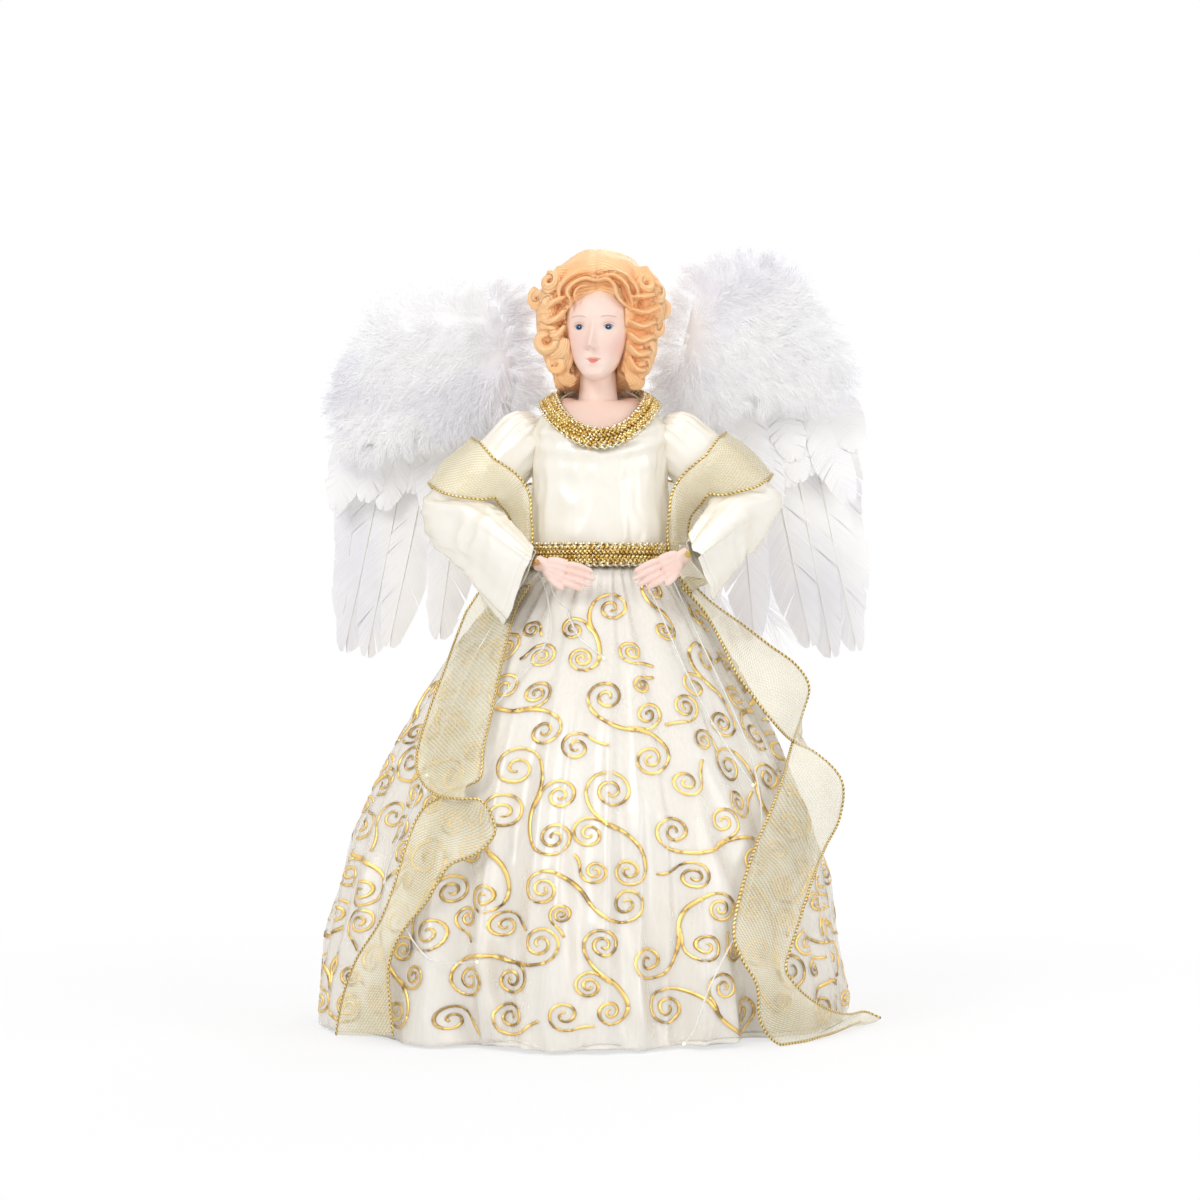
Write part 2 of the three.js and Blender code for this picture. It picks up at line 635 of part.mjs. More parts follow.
// A sleeve: rings along the arm, round at the shoulder and a hanging bell at the wrist
function sleeveRings(arm, shrink) {
  const shoulder = shoulderAt(arm.side);
  const elbow = elbowOf(arm);
  const wrist = wristOf(arm);
  const upper = elbow.clone().sub(shoulder);
  const lower = wrist.clone().sub(elbow);
  const upperWay = upper.clone().normalize();
  const lowerWay = lower.clone().normalize();
  const bendWay = upperWay.clone().add(lowerWay).normalize();
  const widen = (share, size) => sleeveRadius + share * (size - sleeveRadius);
  const [elbowPlaceShare] = sleeveElbowShares;
  // Each ring's place, facing, rise, fall, half width and lean
  const stations = [
    ...sleeveUpperShares.map(([along, size]) => [
      shoulder.clone().addScaledVector(upper, along), upperWay, size * sleeveRadius, size * sleeveRadius,
      size * sleeveRadius, 0]),
    [shoulder.clone().addScaledVector(upper, elbowPlaceShare), bendWay,
      ...sleeveElbowShares.map((share) => share * sleeveRadius), 0],
    ...sleeveBellShares.map((share) => [
      elbow.clone().addScaledVector(lower, share), lowerWay, widen(share, arm.mouthRise),
      widen(share, arm.mouthDrop), widen(share, arm.mouthHalfWidth), share * arm.mouthLean]),
  ];
  return stations.map(([place, way, rise, fall, wide, lean]) => {
    const across = upward.clone().cross(way).normalize();
    const over = way.clone().cross(across).normalize();
    return Array.from({ length: sleeveSides }, (_, i) => {
      const turn = (i / sleeveSides) * fullTurn;
      const tall = Math.sin(turn) > 0 ? rise : fall;
      const sway = arm.side * lean * Math.max(-Math.sin(turn), 0);
      return place.clone()
        .addScaledVector(across, (wide - shrink) * Math.cos(turn) + sway)
        .addScaledVector(over, (tall - shrink) * Math.sin(turn));
    });
  });
}

const handWayOf = (arm) => vec(-arm.side * arm.handIn, -arm.handForward, -arm.handDrop).normalize();

function handShape(arm) {
  const wrist = wristOf(arm);
  const way = handWayOf(arm);
  const across = way.clone().cross(vec(0, -1, 0)).normalize().multiplyScalar(arm.side);
  const down = across.z < 0 ? across : across.clone().negate();
  const at = (along, lower) => wrist.clone()
    .addScaledVector(way, along * handLength).addScaledVector(down, lower * palmHalfWidth);
  const [palmAlong, palmLower, palmLong] = palmShares;
  const palm = ellipsoid(vec(), handLength * palmLong, palmHalfThickness, palmHalfWidth, curlSides);
  palm.applyMatrix4(new THREE.Matrix4().makeBasis(way, down.clone().cross(way).normalize(), down));
  const palmCentre = at(palmAlong, palmLower);
  palm.translate(palmCentre.x, palmCentre.y, palmCentre.z);
  const [heel, knuckles] = heelShares.map((place) => at(...place));
  const limbs = [rod(heel, knuckles, forearmRadius, palmHalfThickness, limbSides)];
  [...fingerShares, thumbShares].forEach(([root, tip]) => {
    limbs.push(rod(at(...root), at(...tip), fingerRadius, fingerRadius * fingerTaperShare, fingerSides));
  });
  return toGeometry(join([palm, ...limbs]));
}

function addArm(name, arm) {
  const shoulder = shoulderAt(arm.side);
  const elbow = elbowOf(arm);
  const wrist = wristOf(arm);
  const upperWay = elbow.clone().sub(shoulder).normalize();
  const lowerWay = wrist.clone().sub(elbow).normalize();
  const upperEnd = elbow.clone().addScaledVector(
    upperWay, -(forearmRadius + touchGap + upperArmRadius * limbTaperShare));
  addPiece(`${name}_upper_arm`,
    rod(shoulder, upperEnd, upperArmRadius, upperArmRadius * limbTaperShare, limbSides), 0xf2eee4, 0.9);
  const forearmEnd = wrist.clone().addScaledVector(lowerWay, -forearmRadius - 3 * touchGap);
  addPiece(`${name}_forearm`,
    rod(elbow, forearmEnd, forearmRadius, forearmRadius * limbTaperShare, limbSides), 0xf2eee4, 0.9);
  const sleeve = toSolid(shellLoft(sleeveRings(arm, 0), sleeveRings(arm, satinWall)));
  addPiece(`${name}_sleeve`, toGeometry(cut(sleeve, [shoulderWireRoom()])), 0xfaf4e6, 0.35);
  addPiece(`${name}_hand`, handShape(arm), 0xf3d9cf, 0.5);
  const handWay = handWayOf(arm);
  const beadWay = vec(0, -1, 0).addScaledVector(handWay, handWay.y).normalize();
  const beadPlace = wrist.clone()
    .addScaledVector(handWay, handLength * beadPlaceShare)
    .addScaledVector(beadWay, forearmRadius + wristBeadRadius + touchGap);
  addPiece(`${name}_wrist_bead`, ellipsoid(
    beadPlace, wristBeadRadius, wristBeadRadius, wristBeadRadius, limbSides), 0xe8c27a, 0.2, 0.6);
}

// Ribbon: a strip through stations, each with a middle, an across and an outward direction
function tailStations(places) {
  return places.map(([turn, heightShare, lift]) => {
    const drop = 1 - heightShare;
    const offset = overlayOuter + ribbonLift + lift * ribbonWidth;
    return {
      middle: skirtPoint(turn * degrees, drop, offset, true),
      outward: vec(Math.sin(turn * degrees), -Math.cos(turn * degrees), tailLeanShare).normalize(),
      spread: 1,
    };
  });
}

function armStations(arm) {
  const shoulder = shoulderAt(arm.side);
  const elbow = elbowOf(arm);
  const along = elbow.clone().sub(shoulder);
  const way = along.clone().normalize();
  const front = vec(0, -1, 0);
  const top = way.clone().cross(front).normalize();
  if (top.z < 0) {
    top.negate();
  }
  const overArm = armWrapShares.map(([share, wrap, lift, spread]) => {
    const outward = top.clone().multiplyScalar(Math.cos(wrap * degrees))
      .addScaledVector(front, Math.sin(wrap * degrees));
    const reach = sleeveRadius + ribbonLift + lift * ribbonWidth;
    const middle = shoulder.clone().addScaledVector(along, share).addScaledVector(outward, reach);
    return { middle, outward, spread };
  });
  const inCrook = crookShares.map(([out, forward, up, spread]) => ({
    middle: vec(arm.side * out * chestHalfWidth, -forward * chestHalfDepth, skirtHeight + up * torsoHeight),
    outward: vec(arm.side * crookFacingShares[0], crookFacingShares[1], 0),
    spread,
  }));
  return [...overArm, ...inCrook];
}

function backStation() {
  const height = shoulderHeight - sleeveRadius * backDropShare;
  const reach = waistHalfDepth + overlayOuter + braidThickness + ribbonBackClearance;
  return { middle: vec(0, reach, height), outward: vec(0, 1, 0), spread: 1 };
}

function addRibbon() {
  const leftWay = [...tailStations(leftTailShares).reverse(), ...armStations(arms.left).reverse()];
  const rightWay = [...armStations(arms.right), ...tailStations(rightTailShares)];
  const stations = [...leftWay, backStation(), ...rightWay];
  const middles = new THREE.CatmullRomCurve3(stations.map((station) => station.middle), false, 'centripetal');
  const outwards = new THREE.CatmullRomCurve3(stations.map((station) => station.outward));
  const spreads = new THREE.CatmullRomCurve3(stations.map((station) => vec(station.spread, 0, 0)));
  const step = 1 / ribbonSteps;
  const sections = [];
  for (let i = 0; i <= ribbonSteps; i += 1) {
    const place = i * step;
    const middle = middles.getPoint(place);
    const tangent = middles.getTangent(place);
    const outward = outwards.getPoint(place);
    outward.addScaledVector(tangent, -outward.dot(tangent)).normalize();
    const across = tangent.clone().cross(outward).normalize();
    const half = (ribbonWidth / 2) * spreads.getPoint(place).x;
    // The edge on the inside of a bend stays short of the bend's centre
    const [before, after] = [Math.max(place - step, 0), Math.min(place + step, 1)];
    const bend = middles.getTangent(after).sub(middles.getTangent(before)).dot(across)
      / middles.getPoint(after).distanceTo(middles.getPoint(before));
    const inner = Math.min(half, bendEdgeShare / Math.max(Math.abs(bend), bendEdgeShare / half));
    const [left, right] = bend > 0 ? [half, inner] : [inner, half];
    const skin = ribbonThickness / 2;
    sections.push([[-left, -skin], [right, -skin], [right, skin], [-left, skin]].map(([wide, out]) => (
      middle.clone().addScaledVector(across, wide).addScaledVector(outward, out))));
  }
  addPiece('ribbon_shawl', solidLoft(sections, sections[0].length / 2), 0xe3dba8, 0.6);
}

// Wings. Each is built flat, outwards along X and up along Z, then leaned and swept about its hinge.
function wingPlace(side) {
  const barrelFoot = wingHingeHeight - wingBarrelLength / 2;
  const [halfWidth, halfDepth] = torsoSizeAt((barrelFoot - skirtHeight) / torsoHeight);
  const backReach = halfDepth * Math.sqrt(1 - (wingHingeSpread / halfWidth) ** 2);
  const footReach = (wingBarrelLength / 2) * Math.sin(wingTiltDegrees * degrees);
  return vec(
    side * wingHingeSpread, backReach + touchGap + wingBarrelRadius - footReach, wingHingeHeight);
}

function flatPlate(outline, thickness) {
  const geometry = new THREE.ExtrudeGeometry(new THREE.Shape(outline), {
    depth: thickness, bevelEnabled: false, curveSegments: 1,
  });
  geometry.rotateX(90 * degrees);
  return geometry;
}

function smoothOutline(points, count) {
  const curve = new THREE.CatmullRomCurve3(points.map(([x, z]) => vec(x, 0, z)), true);
  return curve.getPoints(count).slice(0, -1).map((point) => new THREE.Vector2(point.x, point.z));
}

function featherOutline(width, length) {
  const right = vaneShares.map(([half, down]) => new THREE.Vector2(half * width, -down * length));
  const left = vaneShares.map(([half, down]) => new THREE.Vector2(-half * width, -down * length)).reverse();
  return [...right, new THREE.Vector2(0, -length), ...left];
}

function fluffShape(outline, side) {
  const outer = smoothOutline(
    outline.map(([out, up]) => [side * out * wingSpan, up * wingSpan]), fluffOutlinePoints);
  const middle = outer.reduce((sum, point) => sum.add(point), new THREE.Vector2()).divideScalar(outer.length);
  return solidLoft(fluffLayerShares.map(([depth, spread]) => outer.map((point) => vec(
    middle.x + (point.x - middle.x) * spread, -depth * fluffThickness,
    middle.y + (point.y - middle.y) * spread))));
}

function addWing(name, side) {
  const hinge = wingPlace(side);
  const turn = new THREE.Euler(wingTiltDegrees * degrees, 0, side * wingSweepDegrees * degrees, 'ZXY');
  const place = (mesh, depth) => {
    mesh.position.copy(hinge).add(vec(0, depth, 0).applyEuler(turn));
    mesh.rotation.copy(turn);
    return mesh;
  };
  const feathersFront = wingStandOff + fluffThickness / 2 + touchGap;
  const feathersDepth = featherShares.length * featherPitch;

  const fluff = addPiece(`${name}_wing_fluff`, fluffShape(fluffOutlineShares[name], side), 0xf6f5f8, 0.95);
  place(fluff, wingStandOff + fluffThickness / 2);

  featherShares.forEach(([out, up, lean, longShare], i) => {
    const outline = featherOutline(featherWidth, featherLength * longShare);
    const plate = flatPlate(outline, featherThickness);
    plate.rotateY(-side * lean * degrees);
    plate.translate(side * out * wingSpan, 0, up * wingSpan);
    const feather = addPiece(`${name}_feather_${i + 1}`, plate, 0xf1f0f5, 0.7);
    place(feather, feathersFront + i * featherPitch + featherThickness);
  });

  const cardOutline = smoothOutline(
    cardOutlineShares.map(([out, up]) => [side * out * wingSpan, up * wingSpan]), cardOutlinePoints);
  const card = addPiece(`${name}_wing_card`, flatPlate(cardOutline, wingCardThickness), 0xf4f3f0, 0.8);
  const cardDepth = feathersFront + feathersDepth + wingCardThickness;
  place(card, cardDepth);

  const barrel = rod(
    vec(0, 0, -wingBarrelLength / 2), vec(0, 0, wingBarrelLength / 2), wingBarrelRadius, wingBarrelRadius,
    limbSides);
  const stemDepth = cardDepth + touchGap + wingStemRadius;
  const [bendOut, bendUp, endOut, endUp] = stemReachShares.map((share) => share * wingSpan);
  const bend = vec(side * bendOut, stemDepth, bendUp);
  const arm = rod(vec(0, 0, 0), bend, wingStemRadius, wingStemRadius, limbSides);
  const stem = rod(bend, vec(side * endOut, stemDepth, endUp), wingStemRadius, wingStemRadius, limbSides);
  place(addPiece(`${name}_wing_stem`, toGeometry(join([barrel, arm, stem])), 0xc9c9c9, 0.4, 0.8), 0);
}

// Battery box, inside the back of the cone
const cellSpread = cellRadius + touchGap;
const cavityHalfWidth = 2 * cellSpread + touchGap;
const channelHalfWidth = cavityHalfWidth + coverLip;
const boxHalfWidth = channelHalfWidth + boxWall;
const coverFront = boxFront + coverLip + touchGap;
const channelBack = coverFront + coverThickness + touchGap;
const cellBack = channelBack + touchGap + cellRadius;
const cavityBack = cellBack + cellRadius + touchGap;
const cavityBottom = boxBottomHeight + boxWall;
const cellBottom = cavityBottom + touchGap + contactThickness + touchGap;
const cellTop = cellBottom + cellLength;
const contactTopBottom = cellTop + cellNubLength + touchGap;
const cavityTop = contactTopBottom + contactThickness + touchGap;
const boxTop = cavityTop + boxWall;
const switchSlotBack = cavityBack + boxWall + switchKnobWidth + 2 * touchGap;

// The inside of the cone, drawn in by the given amount
function coneRoom(inset) {
  const bottom = -cutOverrun;
  const geometry = new THREE.CylinderGeometry(
    coneRadiusAt(coneHeight) - coneWall - inset, coneRadiusAt(bottom) - coneWall - inset,
    coneHeight - bottom, coneSides);
  geometry.rotateX(90 * degrees);
  geometry.translate(0, 0, (coneHeight + bottom) / 2);
  return geometry;
}

function addBatteryBox() {
  const body = toSolid(block(
    vec(-boxHalfWidth, boxFront, boxBottomHeight), vec(boxHalfWidth, coneBaseRadius, boxTop)));
  const shell = body.intersect(toSolid(coneRoom(touchGap)));
  const cavity = block(
    vec(-cavityHalfWidth, channelBack - touchGap, cavityBottom), vec(cavityHalfWidth, cavityBack, cavityTop));
  const channel = block(
    vec(-channelHalfWidth, coverFront - touchGap, boxBottomHeight - cutOverrun),
    vec(channelHalfWidth, channelBack, cavityTop));
  const window = block(
    vec(-cavityHalfWidth, boxFront - cutOverrun, boxBottomHeight - cutOverrun),
    vec(cavityHalfWidth, coverFront, cavityTop));
  const slotHalf = (switchKnobLength + switchTravel) / 2 + touchGap;
  const slot = block(
    vec(-slotHalf, cavityBack + boxWall, boxBottomHeight - cutOverrun),
    vec(slotHalf, switchSlotBack, boxBottomHeight + switchKnobDrop + touchGap));
  const pocket = toSolid(block(
    vec(-boxHalfWidth + boxWall, switchSlotBack + boxWall, boxBottomHeight - cutOverrun),
    vec(boxHalfWidth - boxWall, coneBaseRadius, boxTop - boxWall)));
  const hollow = pocket.intersect(toSolid(coneRoom(touchGap + boxWall)));
  const box = cut(shell, [cavity, channel, window, slot]).subtract(hollow);
  addPiece('battery_box', toGeometry(box), 0xf0efec, 0.5);

  const plate = block(
    vec(-channelHalfWidth + touchGap, coverFront, boxBottomHeight + touchGap),
    vec(channelHalfWidth - touchGap, coverFront + coverThickness, cavityTop - touchGap));
  const ridge = block(
    vec(-cellRadius, boxFront + touchGap, boxBottomHeight + boxWall),
    vec(cellRadius, coverFront + coverThickness / 2, boxBottomHeight + 2 * boxWall));
  addPiece('battery_cover', toGeometry(join([plate, ridge])), 0xf0efec, 0.5);

  [['cell_left', -1], ['cell_right', 1]].forEach(([name, side]) => {
    const can = upright(side * cellSpread, cellBack, cellBottom, cellTop, cellRadius, roundSides);
    const nub = upright(
      side * cellSpread, cellBack, cellTop - cellNubLength, cellTop + cellNubLength, cellNubRadius, roundSides);
    addPiece(name, toGeometry(join([can, nub])), 0x3f6f4f, 0.35, 0.4);
  });
  addPiece('contact_bridge', block(
    vec(-cellSpread - contactSize / 2, cellBack - contactSize / 2, cavityBottom + touchGap),
    vec(cellSpread + contactSize / 2, cellBack + contactSize / 2, cavityBottom + touchGap + contactThickness)),
  0xd0d0d0, 0.3, 0.9);
  [['contact_minus', -1], ['contact_plus', 1]].forEach(([name, side]) => addPiece(name, block(
    vec(side * cellSpread - contactSize / 2, cellBack - contactSize / 2, contactTopBottom),
    vec(side * cellSpread + contactSize / 2, cellBack + contactSize / 2, contactTopBottom + contactThickness)),
  0xd0d0d0, 0.3, 0.9));

  const knobMiddle = -switchTravel / 2;
  addPiece('switch_slider', block(
    vec(knobMiddle - switchKnobLength / 2, cavityBack + boxWall + touchGap, boxBottomHeight - switchKnobDrop),
    vec(knobMiddle + switchKnobLength / 2, switchSlotBack - touchGap, boxBottomHeight + switchKnobDrop)),
  0x2b2b2b, 0.5);
}

// Light: a board on the battery box, a lamp, and a bundle of fibres up through the cone's top
function addLight() {
  const boardBottom = boxTop + touchGap;
  const boardHalf = cellSpread + cellRadius / 2;
  const lampBottom = boardBottom + boardThickness + touchGap;
  const lampTop = lampBottom + lampLength;
  addPiece('driver_board', block(
    vec(-boardHalf, cellBack - cellRadius, boardBottom),
    vec(boardHalf, cellBack + cellRadius, boardBottom + boardThickness)), 0x2f6b3a, 0.6);
  const lampRim = lampRadius + ferruleWall / 2;
  addPiece('led_lamp', toGeometry(join([
    upright(0, cellBack, lampBottom, lampBottom + boardThickness, lampRim, roundSides),
    rod(vec(0, cellBack, lampBottom + lampRadius), vec(0, cellBack, lampTop - lampRadius), lampRadius,
      lampRadius, roundSides)])), 0xf4f6ff, 0.1);
  const ferruleInner = lampRadius + touchGap;
  const ferruleBottom = lampBottom + boardThickness + touchGap;
  const ferrule = toSolid(upright(
    0, cellBack, ferruleBottom, ferruleBottom + ferruleLength, ferruleInner + ferruleWall, roundSides));
  const bore = upright(
    0, cellBack, ferruleBottom - cutOverrun, ferruleBottom + ferruleLength + cutOverrun, ferruleInner,
    roundSides);
  addPiece('fibre_ferrule', toGeometry(cut(ferrule, [bore])), 0x1e1e1e, 0.4);

  const bundleBottom = lampTop + touchGap;
  const ferruleTop = ferruleBottom + ferruleLength;
  const bundleHeight = coneHeight + bundleTop - bundleBottom;
  const route = new THREE.CatmullRomCurve3(Array.from({ length: bundlePoints }, (_, i) => {
    const height = bundleBottom + (i / (bundlePoints - 1)) * bundleHeight;
    const bend = THREE.MathUtils.smoothstep(height, ferruleTop, coneHeight - cutOverrun);
    return vec(0, cellBack * (1 - bend), height);
  }));
  addPiece('fibre_bundle', tube(route, bundleRadius, limbSides, bundleSteps), 0xf2f4ea, 0.2);
}

// A round tube along a curve
function tube(curve, radius, sides, steps) {
  const section = Array.from({ length: sides }, (_, i) => new THREE.Vector2(
    radius * Math.cos((i / sides) * fullTurn), radius * Math.sin((i / sides) * fullTurn)));
  return new THREE.ExtrudeGeometry(new THREE.Shape(section), { steps, extrudePath: curve });
}

function addStrands() {
  Object.entries(strandRoutes).forEach(([name, points]) => {
    const route = new THREE.CatmullRomCurve3(points.map(([x, y, z]) => vec(x, y, z)));
    addPiece(name, tube(route, strandDiameter / 2, strandSides, strandSteps), 0xeef2d0, 0.2);
  });
}

addCone();
addSkirt();
addTorso();
addHead();
addBraids();
Object.entries(arms).forEach(([name, arm]) => addArm(name, arm));
addRibbon();
addWing('left', -1);
addWing('right', 1);
addBatteryBox();
addLight();
addStrands();

export default model;
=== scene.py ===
import bisect
import itertools
import math
import random

import bmesh
import bpy
from mathutils import Matrix, Vector, kdtree, noise


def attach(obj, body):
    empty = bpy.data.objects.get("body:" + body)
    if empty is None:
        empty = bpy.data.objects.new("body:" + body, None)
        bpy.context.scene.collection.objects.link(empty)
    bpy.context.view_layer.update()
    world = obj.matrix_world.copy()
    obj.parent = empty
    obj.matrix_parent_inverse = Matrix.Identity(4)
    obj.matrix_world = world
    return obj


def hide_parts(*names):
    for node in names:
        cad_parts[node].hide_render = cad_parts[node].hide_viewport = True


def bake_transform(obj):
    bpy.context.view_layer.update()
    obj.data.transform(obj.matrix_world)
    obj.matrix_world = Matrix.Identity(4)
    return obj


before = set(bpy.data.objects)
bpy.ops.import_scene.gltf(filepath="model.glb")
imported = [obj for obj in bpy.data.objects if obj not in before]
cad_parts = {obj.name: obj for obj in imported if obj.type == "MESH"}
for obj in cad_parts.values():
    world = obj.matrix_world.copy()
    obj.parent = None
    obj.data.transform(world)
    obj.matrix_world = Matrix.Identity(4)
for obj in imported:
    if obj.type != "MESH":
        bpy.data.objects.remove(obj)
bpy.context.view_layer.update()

bl_info = {
    "name": "Angel tree topper",
    "version": (1, 0, 0),
    "blender": (4, 5, 0),
    "location": "View3D > Sidebar > Topper",
    "description": "Dresses the angel tree topper: cloth, braid, ribbon, wings, head and hands",
    "category": "Object",
}

MM = 0.001

# Camera and photograph
CAMERA_DISTANCE = 1234
CAMERA_HEIGHT = 165.6
FOCAL_PIXELS = 3116
PHOTO_PIXELS = 1200
SENSOR = 36

# Skirt, as in the part's source, in millimetres
SKIRT_HEIGHT = 178.5
HEM_CLEARANCE = 0.8
WAIST_HALF_WIDTH = 26.5
WAIST_HALF_DEPTH = 22.5
HEM_HALF_WIDTH = 102
HEM_HALF_DEPTH = 98.5
HEM_SWING = -7
FOLD_DEPTH = 3.2
BELL_SHARE = 0.82
FOLD_WAVE_SHARES = [(11, 0.55, 0.06), (7, 0.3, 0.3), (16, 0.15, 0.5)]
LINING_OFFSET = 0.55
OVERLAY_OFFSET = 1.5
OVERLAY_OUTER = 1.7
LINING_WALL = 0.45
OVERLAY_WALL = 0.2
# Points round the skirt and down it, and the metres that its UVs run over
SKIRT_GRID = (500, 92)
SKIRT_MEAN_RADIUS = 0.09
SKIRT_DRAWN_LENGTH = 0.2

# Torso
TORSO_HEIGHT = 71.5
CHEST_HALF_WIDTH = 26.9
CHEST_HALF_DEPTH = 19.5
SATIN_WALL = 0.8
# Share of the torso's height, then half width and half depth as shares of the chest's
TORSO_PROFILE_SHARES = [
    (0, 0.99, 1.15), (0.24, 1, 1.13), (0.46, 0.95, 1.07), (0.62, 0.97, 1.03), (0.73, 1, 0.94),
    (0.82, 0.87, 0.76), (0.9, 0.66, 0.58), (0.96, 0.45, 0.46), (1, 0.3, 0.38),
]

# Arms and sleeves
SHOULDER = (30.5, 3, 228.5)
SLEEVE_RADIUS = 13
SLEEVE_WALL = 0.45
SLEEVE_GRID = (120, 124)
SLEEVE_DRAWN_LENGTH = 0.1
# Where the seam of the cuff runs, as shares of the sleeve's length, and how deep it lies
CUFF_SEAM = (0.935, 0.952)
CUFF_SEAM_DEPTH = 0.25
ARMS = {
    "left": dict(
        side=-1, elbow=(26.5, 28), wrist=(31, 41, 20), hand=(25, 7, 7.5), drop=27, rise=4.5, wide=7.5,
        lean=6),
    "right": dict(
        side=1, elbow=(27.5, 25), wrist=(22.5, 41, 19.5), hand=(23, 6, 11), drop=21, rise=4.5, wide=7.5,
        lean=5),
}

# Loose strands: routes as in the part's source, in millimetres
STRAND_DIAMETER = 0.6
STRAND_POINTS = 40
TIP_RADIUS = 0.52
STRAND_ROUTES = {
    "strand_1": [
        (-24.2, -19, 176.5), (-20.5, -32.8, 167.5), (-19.1, -43.8, 155.3), (-21.7, -48.8, 147.3),
        (-28.8, -52.2, 139.1), (-36.3, -55.4, 129.7), (-46.4, -57.3, 118.4), (-54.8, -57.3, 109.7),
        (-63.2, -55.3, 102.0), (-65.5, -54.9, 99.4),
    ],
    "strand_2": [
        (-20.2, -23.2, 175.7), (-17.3, -34.4, 166.8), (-13.4, -38.9, 162.9), (-11.1, -43.6, 157.6),
        (-7.6, -48.8, 151.1), (-2.3, -52.1, 146.6), (1.5, -53.9, 143.6),
    ],
    "strand_3": [
        (15.5, -24.6, 175.7), (21.2, -31.3, 165.6), (27.6, -40.3, 150.3), (34.3, -47.3, 135.1),
        (41.0, -51.7, 122.0), (48.5, -53.7, 109.5), (53.8, -54.2, 101.2), (58.0, -53.5, 95.5),
    ],
    "strand_4": [
        (-29.9, -15, 175), (-38.6, -26.3, 160.5), (-49.6, -35.5, 141.5), (-57.4, -45.1, 122.5),
        (-64.6, -52.8, 103.5), (-70.6, -57.3, 88), (-76, -59.1, 75.5), (-79.6, -60.2, 66),
        (-80.9, -61.9, 59.5), (-78.3, -66.6, 55.1), (-72.9, -75, 45.1), (-68.1, -80.7, 37.9),
        (-60.8, -86.7, 32.3), (-45, -94, 33.2),
    ],
    "strand_5": [
        (28.2, -15.1, 174.2), (38.6, -30.6, 150.2), (49.1, -39.7, 127.3), (57.9, -47.2, 104.7),
        (61.1, -57.8, 82.6), (56.7, -71.9, 61.2), (51.0, -81.7, 43.6), (45.3, -87.5, 33.5),
        (38.8, -92.8, 20.6), (37.3, -94.0, 15.6), (34.3, -95.8, 8.2), (30.6, -97.4, 3.7),
    ],
}


class Wire:
    """An output of a shader node, or a sum of such outputs."""

    def __init__(self, shader, socket):
        self.shader = shader
        self.socket = socket

    def maths(self, operation, *values, clamp=False):
        settings = {"operation": operation, "use_clamp": clamp}
        return self.shader.node("ShaderNodeMath", settings, dict(enumerate(values or [self])))

    def __add__(self, other):
        return self.maths("ADD", self, other)

    def __radd__(self, other):
        return self.maths("ADD", other, self)

    def __sub__(self, other):
        return self.maths("SUBTRACT", self, other)

    def __rsub__(self, other):
        return self.maths("SUBTRACT", other, self)

    def __mul__(self, other):
        return self.maths("MULTIPLY", self, other)

    def __rmul__(self, other):
        return self.maths("MULTIPLY", other, self)

    def __truediv__(self, other):
        return self.maths("DIVIDE", self, other)

    def __rtruediv__(self, other):
        return self.maths("DIVIDE", other, self)

    def __pow__(self, other):
        return self.maths("POWER", self, other)

    def __rpow__(self, other):
        return self.maths("POWER", other, self)

    def __neg__(self):
        return self.maths("MULTIPLY", self, -1)

    def __abs__(self):
        return self.maths("ABSOLUTE", self)

    def most(self, other):
        return self.maths("MAXIMUM", self, other)

    def least(self, other):
        return self.maths("MINIMUM", self, other)

    def held(self):
        return self.maths("ADD", self, 0, clamp=True)

    def edge(self, low, high):
        """0 below low and 1 above high, with a smooth step between them."""
        settings = {"interpolation_type": "SMOOTHSTEP"}
        return self.shader.node(
            "ShaderNodeMapRange", settings,
            {"Value": self, "From Min": low, "From Max": high, "To Min": 0, "To Max": 1})


